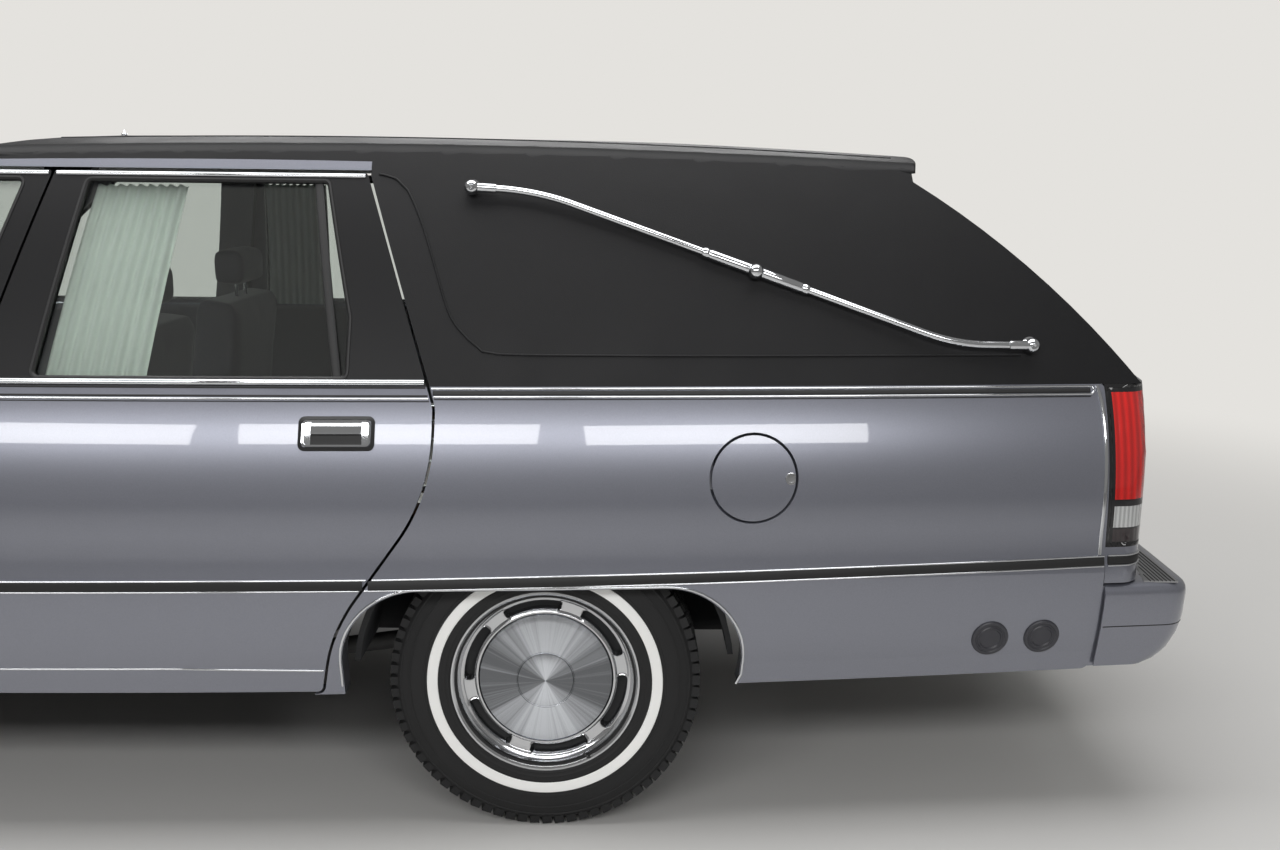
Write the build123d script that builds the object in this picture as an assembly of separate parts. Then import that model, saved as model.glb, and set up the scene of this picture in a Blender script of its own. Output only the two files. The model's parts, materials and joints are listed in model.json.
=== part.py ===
from build123d import *
import math
import os

# A coach-built hearse on a full-size estate car: metal lower body, vinyl-covered roof with a raised
# cap and closed rear sides, four side doors, a side-hinged loading door and a roller deck.
# Frame: +X to the rear, +Y to the right-hand side, +Z up, origin on the ground under the middle.
# All lengths are millimetres.

# Overall sizes
LENGTH = 5519.0
BODY_HALF = 1008.0
WHEELBASE = 2944.0
REAR_OVERHANG = 1475.0
CAP_TOP = 1537.0
ROOF_TOP = 1482.0
BELT_Z = 992.0
SILL_Z = 325.0
RIDGE_Z = 585.0
DOOR_TOP = 1434.0
RAIL_TOP = 1459.0
PLAN_RADIUS = 22000.0

REAR_X = LENGTH / 2
FRONT_X = -LENGTH / 2
REAR_AXLE_X = REAR_X - REAR_OVERHANG
FRONT_AXLE_X = REAR_AXLE_X - WHEELBASE
PLAN_Y = PLAN_RADIUS - BODY_HALF

HUB_Z = 342.0
HOUSE_OUT = 418.0
HOUSE_SKIN = 12.0

# Walls and clearances
GAP = 6.0
SEAT_GAP = 0.3
DOOR_THICK = 95.0
FRAME_THICK = 36.0
QUARTER_THICK = 55.0
SHELL_THICK = 42.0
FENDER_THICK = 28.0
HOOD_THICK = 22.0
GLASS_THICK = 5.0
GLASS_DEPTH = 14.0
ROOF_THICK = 26.0
REACH = 1200.0

# Side section from sill to belt and from belt to roof: start, via and end as (half width, height).
# A row with no via is a straight line, the others are arcs.
LOWER_SECTION = [
    ((BODY_HALF - 46, SILL_Z), None, (BODY_HALF - 30, 390.0)),
    ((BODY_HALF - 30, 390.0), (BODY_HALF - 7, 490.0), (BODY_HALF, RIDGE_Z)),
    ((BODY_HALF, RIDGE_Z), (BODY_HALF - 9, 640.0), (BODY_HALF - 11, 690.0)),
    ((BODY_HALF - 11, 690.0), (BODY_HALF - 24, 822.0), (BODY_HALF - 93, BELT_Z)),
]
UPPER_SECTION = [
    ((BODY_HALF - 93, BELT_Z), (BODY_HALF - 198, 1222.0), (BODY_HALF - 368, 1520.0)),
]


def circle_through(p, q, r):
    """Centre and radius of the circle through three points in a plane."""
    (ax, ay), (bx, by), (cx, cy) = p, q, r
    d = 2 * (ax * (by - cy) + bx * (cy - ay) + cx * (ay - by))
    a2, b2, c2 = ax * ax + ay * ay, bx * bx + by * by, cx * cx + cy * cy
    ux = (a2 * (by - cy) + b2 * (cy - ay) + c2 * (ay - by)) / d
    uy = (a2 * (cx - bx) + b2 * (ax - cx) + c2 * (bx - ax)) / d
    return ux, uy, math.hypot(ax - ux, ay - uy)


def half_width(z):
    """Half width of the body side at a height, at the middle of the car."""
    for start, via, end in LOWER_SECTION + UPPER_SECTION:
        if z <= end[1]:
            if via is None:
                share = (z - start[1]) / (end[1] - start[1])
                return start[0] + share * (end[0] - start[0])
            cw, cz, radius = circle_through(start, via, end)
            reach = math.sqrt(radius ** 2 - (z - cz) ** 2)
            return cw + math.copysign(reach, via[0] - cw)
    return UPPER_SECTION[-1][2][0]


def plan_inset(x):
    """How far the body side has come in at a distance from the middle, from the plan curve."""
    return PLAN_RADIUS - math.sqrt(PLAN_RADIUS ** 2 - x ** 2)


def side_y(x, z):
    """Where the left-hand body side is, a negative Y."""
    return plan_inset(x) - half_width(z)


def section_edges(section, inset):
    edges = []
    for start, via, end in section:
        a = Vector(0, inset - start[0], start[1])
        b = Vector(0, inset - end[0], end[1])
        if via is None:
            edges.append(Edge.make_line(a, b))
        else:
            edges.append(Edge.make_three_point_arc(a, Vector(0, inset - via[0], via[1]), b))
    return edges


def side_wall(section, outer, inner):
    """Left-hand wall between two insets from the body side, turned about the plan curve's axis."""
    outside = section_edges(section, outer)
    inside = section_edges(section, inner)
    first, last = section[0][0], section[-1][2]
    foot = Edge.make_line(Vector(0, outer - first[0], first[1]), Vector(0, inner - first[0], first[1]))
    head = Edge.make_line(Vector(0, outer - last[0], last[1]), Vector(0, inner - last[0], last[1]))
    face = Face(Wire(outside + [head] + inside + [foot]))
    axis = Axis((0, PLAN_Y, 0), (0, 0, 1))
    half = math.degrees(math.asin(REAR_X / PLAN_RADIUS)) + 0.4
    return revolve(face.rotate(axis, -half), axis=axis, revolution_arc=2 * half)


def flat_face(corners, plane="XZ", at=0.0):
    """A face from rows of (first, second, fillet radius) in a plane of the frame."""
    lift = {
        "XZ": lambda u, v: Vector(u, at, v),
        "YZ": lambda u, v: Vector(at, u, v),
        "XY": lambda u, v: Vector(u, v, at),
    }[plane]
    points = [lift(u, v) for u, v, _ in corners]
    outline = Wire.make_polygon(points, close=True)
    for point, (_, _, radius) in zip(points, corners):
        if radius > 0:
            vertex = min(outline.vertices(), key=lambda v: (Vector(v.X, v.Y, v.Z) - point).length)
            outline = outline.fillet_2d(radius, [vertex])
    return Face(outline)


def side_prism(corners, y_low=-REACH, y_high=-300.0):
    """Prism across the car from an outline seen from the side, rows of (x, z, fillet radius)."""
    return Solid.extrude(flat_face(corners, "XZ", y_low), Vector(0, y_high - y_low, 0))


def slanted_prism(corners, slant):
    """Prism whose outline is right on the body side and moves forward with depth, for a swinging edge."""
    rows = []
    for x, z, radius in corners:
        depth = BODY_HALF - half_width(z) + plan_inset(x)
        rows.append((x + slant * depth, z, radius))
    face = flat_face(rows, "XZ", -BODY_HALF)
    run = 800.0
    return Solid.extrude(face, Vector(-slant * run, run, 0))


def box(x, y, z):
    """Box from (low, high) pairs."""
    solid = Solid.make_box(x[1] - x[0], y[1] - y[0], z[1] - z[0])
    return solid.moved(Location((x[0], y[0], z[0])))


def rod(start, end, radius):
    """Round bar between two points."""
    a, b = Vector(*start), Vector(*end)
    plane = Plane(origin=a, z_dir=b - a)
    return Solid.make_cylinder(radius, (b - a).length, plane)


def other_side(shape):
    return shape.mirror(Plane.XZ)


def tidy(shape):
    """The solids of a boolean's result, largest first."""
    solids = list(shape.solids()) if hasattr(shape, "solids") else list(shape)
    return sorted(solids, key=lambda s: -s.volume)


def fuse(shapes):
    first, rest = shapes[0], shapes[1:]
    return first.fuse(*rest) if rest else first


NODES = {}


def keep(name, *shapes):
    """Put the solids of some shapes into one node."""
    solids = []
    for shape in shapes:
        solids += tidy(shape)
    NODES[name] = Compound(children=solids) if len(solids) > 1 else solids[0]


# Doors, seen from the side: where the panels part, on the body side
DOOR_FLOOR = 333.0
FRONT_EDGE_X = -1010.0
SPLIT_X = 92.0
SPLIT_TOP_X = 206.0
DOOR_TOP_REAR_X = 882.0
REAR_EDGE_X = 1050.0
WAIST_Z = 950.0
HAUNCH_Z = 779.0
DOGLEG = (836.0, 482.0)
DOOR_TOE_X = 806.0
PILLAR_FOOT_X = -840.0
PILLAR_HEAD_X = -262.0

# Rear edge of the rear door from the roof to the sill, rows of (x, z, fillet radius)
REAR_EDGE = [
    (DOOR_TOP_REAR_X, DOOR_TOP, 12.0),
    (REAR_EDGE_X, WAIST_Z, 60.0),
    (REAR_EDGE_X, HAUNCH_Z, 380.0),
    (DOGLEG[0], DOGLEG[1], 420.0),
    (DOOR_TOE_X, DOOR_FLOOR, 14.0),
]

REAR_DOOR_OUTLINE = [(SPLIT_X, DOOR_FLOOR, 12.0), (SPLIT_X, BELT_Z - 10, 30.0),
                     (SPLIT_TOP_X, DOOR_TOP, 10.0)] + REAR_EDGE
FRONT_DOOR_OUTLINE = [
    (FRONT_EDGE_X, DOOR_FLOOR, 12.0),
    (FRONT_EDGE_X, BELT_Z, 6.0),
    (PILLAR_FOOT_X, BELT_Z, 20.0),
    (PILLAR_HEAD_X, DOOR_TOP, 30.0),
    (SPLIT_TOP_X - GAP, DOOR_TOP, 10.0),
    (SPLIT_X - GAP, BELT_Z - 10, 30.0),
    (SPLIT_X - GAP, DOOR_FLOOR, 12.0),
]

# Window openings in the door frames
WINDOW_SILL = 1006.0
WINDOW_HEAD = 1417.0
REAR_WINDOW = [
    (213.0, WINDOW_SILL, 8.0),
    (277.0, WINDOW_HEAD, 14.0),
    (800.0, WINDOW_HEAD, 14.0),
    (868.0, 1130.0, 20.0),
    (868.0, WINDOW_SILL, 8.0),
]
FRONT_WINDOW = [
    (-735.0, WINDOW_SILL, 10.0),
    (-205.0, WINDOW_HEAD, 24.0),
    (145.0, WINDOW_HEAD, 14.0),
    (40.0, WINDOW_SILL, 8.0),
]
GLASS_LAP = 9.0


def window_glass(corners):
    """Side glass that sits in a groove of the door frame, with its edges inside the frame."""
    band = side_wall(UPPER_SECTION, GLASS_DEPTH, GLASS_DEPTH + GLASS_THICK)
    face = offset(flat_face(corners, "XZ", -REACH), GLASS_LAP)
    return tidy(band & Solid.extrude(face.faces()[0], Vector(0, 900, 0)))[0]


def glass_groove(corners):
    band = side_wall(UPPER_SECTION, GLASS_DEPTH - SEAT_GAP, GLASS_DEPTH + GLASS_THICK + SEAT_GAP)
    face = offset(flat_face(corners, "XZ", -REACH), GLASS_LAP + SEAT_GAP)
    return band & Solid.extrude(face.faces()[0], Vector(0, 900, 0))


def side_door(outline, rear_rows, window, slants):
    """Door with its window frame: lower slants its rear edge less than the frame, which leans in."""
    clear = -400.0 + FRONT_EDGE_X
    limit = [(clear, 200.0, 0.0), (clear, 1600.0, 0.0)] + rear_rows
    panel = side_wall(LOWER_SECTION, 0, DOOR_THICK) & side_prism(outline)
    panel = panel & slanted_prism(limit, slants[0])
    frame = side_wall(UPPER_SECTION, 0, FRAME_THICK) & side_prism(outline)
    frame = frame & slanted_prism(limit, slants[1])
    frame = frame - side_prism(window) - glass_groove(window)
    return tidy(tidy(panel)[0].fuse(tidy(frame)[0]))[0]


def build_side_doors():
    rear_limit = [(DOOR_TOP_REAR_X - 60, 1600.0, 0.0)] + REAR_EDGE + [(DOOR_TOE_X, 200.0, 0.0)]
    front_limit = [
        (SPLIT_TOP_X - GAP + 40, 1600.0, 0.0),
        (SPLIT_TOP_X - GAP, DOOR_TOP, 0.0),
        (SPLIT_X - GAP, BELT_Z - 10, 30.0),
        (SPLIT_X - GAP, 200.0, 0.0),
    ]
    rear = side_door(REAR_DOOR_OUTLINE, rear_limit, REAR_WINDOW, (0.25, 0.55))
    front = side_door(FRONT_DOOR_OUTLINE, front_limit, FRONT_WINDOW, (0.18, 0.4))
    return front, rear


front_door, rear_door = build_side_doors()
keep("front_door_left", front_door)
keep("front_door_right", other_side(front_door))
keep("rear_door_left", rear_door)
keep("rear_door_right", other_side(rear_door))
front_glass = window_glass(FRONT_WINDOW)
rear_glass = window_glass(REAR_WINDOW)
keep("front_glass_left", front_glass)
keep("front_glass_right", other_side(front_glass))
keep("rear_glass_left", rear_glass)
keep("rear_glass_right", other_side(rear_glass))


# Crowned surfaces: three points along the car's middle and the crown's radius across it
MAIN_ROOF = ([(-430.0, 1464.0), (300.0, ROOF_TOP), (1060.0, 1478.0)], 10000.0)
CAP_ROOF = ([(60.0, CAP_TOP - 11), (785.0, CAP_TOP), (2240.0, CAP_TOP - 44)], 5200.0)
HOOD_TOP = ([(-1010.0, 1040.0), (-1850.0, 962.0), (-2640.0, 800.0)], 9000.0)

# Rear end: plan curve's axis and the middle section, rows of (x, z)
TAIL_AXIS_X = -534.5
TAIL_HEAD = (2168.0, 1462.0)
TAIL_BROW = (2176.0, 1428.0)
TAIL_MID = (2427.5, 1253.0)
TAIL_WAIST = (2698.0, BELT_Z)
TAIL_LOWER = [(2706.0, BELT_Z), (2716.0, 840.0), (2708.0, SILL_Z)]
LIP_X = 2180.0
LIP_Z = 1448.0

# Nose: plan curve's axis and the middle section
NOSE_AXIS_X = 110.0
NOSE_FACE = [(-2652.0, 1000.0), (-2696.0, 700.0), (-2690.0, SILL_Z)]
SCREEN_AXIS_X = 1340.0
SCREEN_FOOT = (-1060.0, BELT_Z)
SCREEN_HEAD = (-430.0, 1462.0)


def crowned(rule, inset):
    """Everything below a surface that is an arc along the car and a flatter arc across it."""
    points, crown = rule
    cx, cz, radius = circle_through(*points)
    top = cz + radius - inset
    drop = crown - math.sqrt(crown ** 2 - REACH ** 2)
    floor = 250.0
    arc = Edge.make_three_point_arc(
        Vector(cx, -REACH, top - drop), Vector(cx, 0, top), Vector(cx, REACH, top - drop)
    )
    rest = Wire.make_polygon([
        Vector(cx, REACH, top - drop),
        Vector(cx, REACH, floor),
        Vector(cx, -REACH, floor),
        Vector(cx, -REACH, top - drop),
    ], close=False)
    face = Face(Wire([arc] + rest.edges()))
    axis = Axis((cx, 0, cz), (0, 1, 0))
    ends = [p[0] - cx for p in points]
    low = math.degrees(math.asin(min(ends) / radius)) - 1.5
    high = math.degrees(math.asin(max(ends) / radius)) + 1.5
    return revolve(face.rotate(axis, low), axis=axis, revolution_arc=high - low)


def plan_turned(axis_x, rows, inset, floor=SILL_Z):
    """Everything inside a middle section turned about an upright axis; rows run upwards or down."""
    away = 1 if rows[0][0] > axis_x else -1
    points = [Vector(x - away * inset, 0, z) for x, z in rows]
    ends = [Vector(axis_x, 0, rows[-1][1]), Vector(axis_x, 0, rows[0][1])]
    face = Face(Wire.make_polygon(points + ends, close=True))
    axis = Axis((axis_x, 0, 0), (0, 0, 1))
    return revolve(face.rotate(axis, -90), axis=axis, revolution_arc=180)


def tail_slope(inset):
    """Everything in front of the sloping tail above the belt."""
    slide = 1.25 * inset
    head = Vector(TAIL_HEAD[0] - inset, 0, TAIL_HEAD[1])
    brow = Vector(TAIL_BROW[0] - slide, 0, TAIL_BROW[1])
    mid = Vector(TAIL_MID[0] - slide, 0, TAIL_MID[1])
    waist = Vector(TAIL_WAIST[0] - slide, 0, TAIL_WAIST[1])
    arc = Edge.make_three_point_arc(brow, mid, waist)
    rest = Wire.make_polygon([
        waist, Vector(TAIL_AXIS_X, 0, BELT_Z), Vector(TAIL_AXIS_X, 0, TAIL_HEAD[1]), head, brow
    ], close=False)
    face = Face(Wire([arc] + rest.edges()))
    axis = Axis((TAIL_AXIS_X, 0, 0), (0, 0, 1))
    return revolve(face.rotate(axis, -90), axis=axis, revolution_arc=180)


def side_fill(section, inset):
    """Everything between the two body sides over a section's height."""
    outside = section_edges(section, inset)
    first, last = section[0][0], section[-1][2]
    rest = Wire.make_polygon([
        Vector(0, inset - last[0], last[1]),
        Vector(0, REACH, last[1]),
        Vector(0, REACH, first[1]),
        Vector(0, inset - first[0], first[1]),
    ], close=False)
    axis = Axis((0, PLAN_Y, 0), (0, 0, 1))
    half = math.degrees(math.asin(REAR_X / PLAN_RADIUS)) + 0.4
    face = Face(Wire(outside + rest.edges()))
    left = revolve(face.rotate(axis, -half), axis=axis, revolution_arc=2 * half)
    return left & other_side(left)


# Vinyl shell: the raised cap and the closed rear sides
CAP_FRONT_X = 45.0
SHELL_FRONT_X = 1062.0
SHELL_SIDE_X = DOOR_TOP_REAR_X + 8
SHOULDER_R = 55.0
SEAM_Z = BELT_Z + SEAT_GAP


def shell_outside(inset):
    body = side_fill(UPPER_SECTION, inset) & crowned(CAP_ROOF, inset * 0.9)
    lip_rows = [(LIP_X, 1600.0), (LIP_X, LIP_Z)]
    tail = tail_slope(inset)
    if inset == 0:
        tail = tail.fuse(plan_turned(TAIL_AXIS_X, lip_rows, 0))
    return body & tail


def cap_front_prism():
    """Side outline of the cap: a low step at its front edge, then a gentle rise."""
    step = ROOF_TOP - 30
    points = [
        Vector(CAP_FRONT_X, -REACH, step),
        Vector(CAP_FRONT_X, -REACH, ROOF_TOP + 6),
        Vector(CAP_FRONT_X + 22, -REACH, ROOF_TOP + 20),
        Vector(CAP_FRONT_X + 60, -REACH, ROOF_TOP + 29),
        Vector(CAP_FRONT_X + 250, -REACH, CAP_TOP - 10),
        Vector(CAP_FRONT_X + 500, -REACH, CAP_TOP + 10),
        Vector(REAR_X, -REACH, CAP_TOP + 60),
        Vector(REAR_X, -REACH, BELT_Z - 60),
        Vector(DOOR_TOP_REAR_X - 60, -REACH, BELT_Z - 60),
        Vector(DOOR_TOP_REAR_X - 60, -REACH, step),
    ]
    return Solid.extrude(Face(Wire.make_polygon(points, close=True)), Vector(0, 2 * REACH, 0))


# Rear door, seen from behind: rows of (y, z, fillet radius)
TAIL_SILL_Z = 612.0
TAIL_DOOR_HALF = 700.0
TAIL_NECK_HALF = 640.0
TAIL_HEAD_HALF = 470.0
TAIL_HEAD_Z = 1412.0
TAIL_OUTLINE = [
    (-TAIL_DOOR_HALF, TAIL_SILL_Z, 18.0),
    (-TAIL_DOOR_HALF, BELT_Z - 20, 20.0),
    (-TAIL_NECK_HALF, BELT_Z + 12, 20.0),
    (-TAIL_HEAD_HALF, TAIL_HEAD_Z, 40.0),
    (TAIL_HEAD_HALF, TAIL_HEAD_Z, 40.0),
    (TAIL_NECK_HALF, BELT_Z + 12, 20.0),
    (TAIL_DOOR_HALF, BELT_Z - 20, 20.0),
    (TAIL_DOOR_HALF, TAIL_SILL_Z, 18.0),
]
TAIL_WINDOW = [
    (-400.0, 1090.0, 25.0),
    (-330.0, 1335.0, 25.0),
    (330.0, 1335.0, 25.0),
    (400.0, 1090.0, 25.0),
]
TAIL_THICK = 78.0


def rear_prism(corners, grow=0.0, x_low=1500.0):
    face = flat_face(corners, "YZ", x_low)
    if grow:
        face = offset(face, grow).faces()[0]
    return Solid.extrude(face, Vector(REAR_X + 60 - x_low, 0, 0))


def build_vinyl_shell():
    outer = shell_outside(0)
    top_edges = [e for e in outer.edges() if e.length > 1500 and e.center().Z > 1440]
    outer = outer.fillet(SHOULDER_R, top_edges)
    room = shell_outside(SHELL_THICK) & box((SHELL_FRONT_X, REAR_X), (-REACH, REACH), (500, 1700))
    under = crowned(MAIN_ROOF, -SEAT_GAP)
    over_doors = under & box((-200, SHELL_SIDE_X), (-REACH, REACH), (500, 1700))
    between = under & side_fill(UPPER_SECTION, SHELL_THICK)
    between = between & box((SHELL_SIDE_X - 1, SHELL_FRONT_X + 1), (-REACH, REACH), (500, 1700))
    shell = (outer & cap_front_prism()) - room - rear_prism(TAIL_OUTLINE)
    doorway = offset(flat_face(REAR_DOOR_OUTLINE, "XZ", -REACH), GAP).faces()[0]
    shell = shell - Solid.extrude(doorway, Vector(0, 2 * REACH, 0))
    front_box = box((-200, SHELL_SIDE_X), (-REACH, REACH), (500, RAIL_TOP - 12))
    shell = shell - front_box - over_doors - between
    return tidy(shell & box((0, REAR_X), (-REACH, REACH), (SEAM_Z, 1700)))


shell = build_vinyl_shell()
keep("vinyl_shell", shell[0])


# Roof, pillars and windscreen
RAIL_DEEP = 60.0
POST_OUT = 44.0
POST_IN = 82.0
LOWER_POST_OUT = DOOR_THICK + GAP
LOWER_POST_IN = 150.0
SILL_IN = 172.0
FLOOR_Z = 333.0
FLOOR_THICK = 18.0
HINGE_LEAF = (44.0, 90.0)
HINGE_LEAF_Z = (430.0, 770.0)


def screen_space(inset):
    """Everything behind the windscreen's surface, which is a cone about an upright axis."""
    grow = 0.2
    run_x = SCREEN_HEAD[0] - SCREEN_FOOT[0]
    run_z = SCREEN_HEAD[1] - SCREEN_FOOT[1]
    slide = inset * math.hypot(run_x, run_z) / run_z
    low = Vector(SCREEN_FOOT[0] - grow * run_x + slide, 0, SCREEN_FOOT[1] - grow * run_z)
    high = Vector(SCREEN_HEAD[0] + grow * run_x + slide, 0, SCREEN_HEAD[1] + grow * run_z)
    back = [Vector(SCREEN_AXIS_X, 0, high.Z), Vector(SCREEN_AXIS_X, 0, low.Z)]
    face = Face(Wire.make_polygon([low, high] + back, close=True))
    axis = Axis((SCREEN_AXIS_X, 0, 0), (0, 0, 1))
    return revolve(face.rotate(axis, -90), axis=axis, revolution_arc=180)


def door_space(outline, grow):
    """Room for a side door on the left, seen from the side."""
    face = offset(flat_face(outline, "XZ", -REACH), grow).faces()[0]
    return Solid.extrude(face, Vector(0, REACH - 150, 0))


def build_roof():
    sides = side_fill(UPPER_SECTION, 0)
    skin = (crowned(MAIN_ROOF, 0) - crowned(MAIN_ROOF, ROOF_THICK)) & sides
    band = box((-700, SHELL_FRONT_X), (-REACH, REACH), (DOOR_TOP + GAP, 1700))
    rails = side_wall(UPPER_SECTION, 0, RAIL_DEEP) & band
    rails = tidy(rails & crowned(MAIN_ROOF, 0))[0]
    roof = tidy(skin & band)[0].fuse(rails, other_side(rails))
    roof = roof & screen_space(0) & box((-700, SHELL_FRONT_X - SEAT_GAP), (-REACH, REACH), (1300, 1700))
    inner = side_fill(UPPER_SECTION, SHELL_THICK + SEAT_GAP)
    rear = box((SHELL_SIDE_X - SEAT_GAP, REAR_X), (-REACH, REACH), (1200, 1700)) - inner
    return tidy(roof - rear)[0]


def build_side_frame():
    """Sill, front post, front pillar and centre pillar of the left side, in one piece."""
    ledge = (BELT_Z + GAP, BELT_Z + GAP + 14)
    front = side_wall(UPPER_SECTION, 0, POST_OUT) & screen_space(0)
    front = front & side_prism([(-1200, ledge[0], 0), (-1200, DOOR_TOP + GAP, 0),
                                (0, DOOR_TOP + GAP, 0), (0, ledge[0], 0)])
    front = tidy(front - door_space(FRONT_DOOR_OUTLINE, GAP))[0]
    post_x = (FRONT_EDGE_X + GAP, PILLAR_FOOT_X - 4)
    shelf = side_wall(UPPER_SECTION, 4, LOWER_POST_IN) & box((-930, post_x[1]), (-REACH, 0), ledge)
    screen_bed = screen_space(2 - SEAT_GAP) - screen_space(8 + SEAT_GAP)
    pieces = [front]
    pieces.append(side_wall(LOWER_SECTION, LOWER_POST_OUT, LOWER_POST_IN)
                  & box(post_x, (-REACH, 0), (FLOOR_Z, BELT_Z)))
    pieces.append(side_wall(UPPER_SECTION, LOWER_POST_OUT, LOWER_POST_IN)
                  & box(post_x, (-REACH, 0), (BELT_Z, ledge[1])))
    pieces.append(shelf & screen_space(0))
    pieces.append(side_wall(LOWER_SECTION, LOWER_POST_OUT, SILL_IN)
                  & box((FRONT_EDGE_X + GAP, DOOR_TOE_X - 20), (-REACH, 0), (FLOOR_Z, FLOOR_Z + 95)))
    centre = (SPLIT_X - 45, SPLIT_X + 60)
    pieces.append(side_wall(LOWER_SECTION, LOWER_POST_OUT, LOWER_POST_IN)
                  & box(centre, (-REACH, 0), (FLOOR_Z, BELT_Z)))
    pieces.append(side_wall(UPPER_SECTION, LOWER_POST_OUT, LOWER_POST_IN)
                  & box(centre, (-REACH, 0), (BELT_Z, ledge[1])))
    pieces.append(side_wall(UPPER_SECTION, POST_OUT, LOWER_POST_IN)
                  & box(centre, (-REACH, 0), ledge))
    for hinge_x in (FRONT_EDGE_X + GAP, SPLIT_X + GAP):
        for low in HINGE_LEAF_Z:
            pieces.append(side_wall(LOWER_SECTION, DOOR_THICK + SEAT_GAP, LOWER_POST_OUT + 4)
                          & box((hinge_x, hinge_x + HINGE_LEAF[0]), (-REACH, 0), (low, low + HINGE_LEAF[1])))
    lean = SPLIT_TOP_X - SPLIT_X
    pieces.append(side_wall(UPPER_SECTION, POST_OUT, POST_IN) & side_prism([
        (centre[0], ledge[0], 0), (centre[0] + lean, DOOR_TOP + GAP, 0),
        (centre[1] + lean, DOOR_TOP + GAP, 0), (centre[1], ledge[0], 0)]))
    whole = fuse([tidy(p)[0] for p in pieces])
    return tidy(whole - (screen_bed & side_fill(UPPER_SECTION, POST_OUT)))


keep("roof_panel", build_roof())
side_frame = build_side_frame()
keep("side_frames", side_frame[0], other_side(side_frame[0]))

screen = (screen_space(2) - screen_space(8)) & side_fill(UPPER_SECTION, POST_OUT + SEAT_GAP)
screen = screen & box((-1200, 600), (-REACH, REACH), (BELT_Z + 8, DOOR_TOP + GAP - SEAT_GAP))
keep("windscreen", tidy(screen)[0])

# Lower body at the rear
QUARTER_REAR_X = 2518.0
ARCH_TOP = 571.0
FUEL_X = REAR_AXLE_X + 445
FUEL_Z = 804.0
FUEL_R = 90.0
FUEL_SKIN = 4.0
TAIL_CORNER_R = 60.0
BUMPER_CORNER_R = 66.0
REAR_BUMPER_AXIS_X = -9000.0
BUMPER_THICK = 40.0
BUMPER_PROUD = 8.0
LAMP_LOW = 650.0
LAMP_HIGH = 984.0
LAMP_THICK = 30.0
BUMPER_TOP = 556.0
TYRE_ROOM_Y = 936.0
TAIL_FRAME_THICK = 46.0
TAIL_LEAF_Z = (622.0, 900.0)
TAIL_LEAF_HIGH = 60.0


def build_quarter():
    outline = [
        (DOOR_TOE_X - 60, SILL_Z, 0.0),
        (DOOR_TOE_X - 60, BELT_Z, 0.0),
        (QUARTER_REAR_X, BELT_Z, 8.0),
        (QUARTER_REAR_X, RIDGE_Z + 36, 0.0),
        (QUARTER_REAR_X - 4, SILL_Z + 20, 20.0),
    ]
    arch = [
        (REAR_AXLE_X - 430, 200.0, 0.0),
        (REAR_AXLE_X - 430, ARCH_TOP, 168.0),
        (REAR_AXLE_X + 440, ARCH_TOP, 168.0),
        (REAR_AXLE_X + 426, 360.0, 30.0),
        (REAR_AXLE_X + 400, 200.0, 0.0),
    ]
    panel = side_wall(LOWER_SECTION, 0, QUARTER_THICK) & side_prism(outline)
    panel = panel - side_prism(arch) - door_space(REAR_DOOR_OUTLINE, GAP)
    panel = panel & box((REAR_EDGE_X - 260, REAR_X), (-REACH, 0), (0, 1700))
    pocket_end = side_y(FUEL_X, FUEL_Z) + QUARTER_THICK - 14
    pocket = rod((FUEL_X, -REACH, FUEL_Z), (FUEL_X, pocket_end, FUEL_Z), FUEL_R + GAP)
    tyre_room = rod((REAR_AXLE_X, -TYRE_ROOM_Y, HUB_Z), (REAR_AXLE_X, 0, HUB_Z), HOUSE_OUT - HOUSE_SKIN)
    plain = tidy(panel - tyre_room)[0]
    leaf = side_wall(LOWER_SECTION, FUEL_SKIN + SEAT_GAP, QUARTER_THICK - 10) & box(
        (FUEL_X - FUEL_R - GAP - 4, FUEL_X - FUEL_R + 26), (-REACH, 0), (FUEL_Z - 26, FUEL_Z + 26))
    leaf = leaf - box((FUEL_X - FUEL_R - GAP - 10, FUEL_X - FUEL_R + 4), (-REACH, side_y(FUEL_X, FUEL_Z) + 14),
                      (0, 1000))
    return plain, tidy((plain - pocket).fuse(tidy(leaf)[0]))[0]


def tail_block(inset, rows, corner):
    """Rear end of the lower body or its bumper, with its upright corners rounded."""
    block = side_fill(LOWER_SECTION, inset) & plan_turned(TAIL_AXIS_X, rows, inset)
    block = tidy(block & box((2300, REAR_X + 50), (-REACH, REACH), (0, 1700)))[0]
    if corner > 0:
        edges = [e for e in block.edges()
                 if e.center().X > 2560 and abs(e.center().Y) > 700 and abs(e.bounding_box().size.Z) > 60]
        block = block.fillet(corner, edges)
    return block


plain_quarter, quarter = build_quarter()
disc = side_wall(LOWER_SECTION, 0, FUEL_SKIN) & rod(
    (FUEL_X, -REACH, FUEL_Z), (FUEL_X, -500, FUEL_Z), FUEL_R)
keep("quarter_panels", quarter, other_side(plain_quarter))
keep("fuel_door", tidy(disc)[0])

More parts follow.
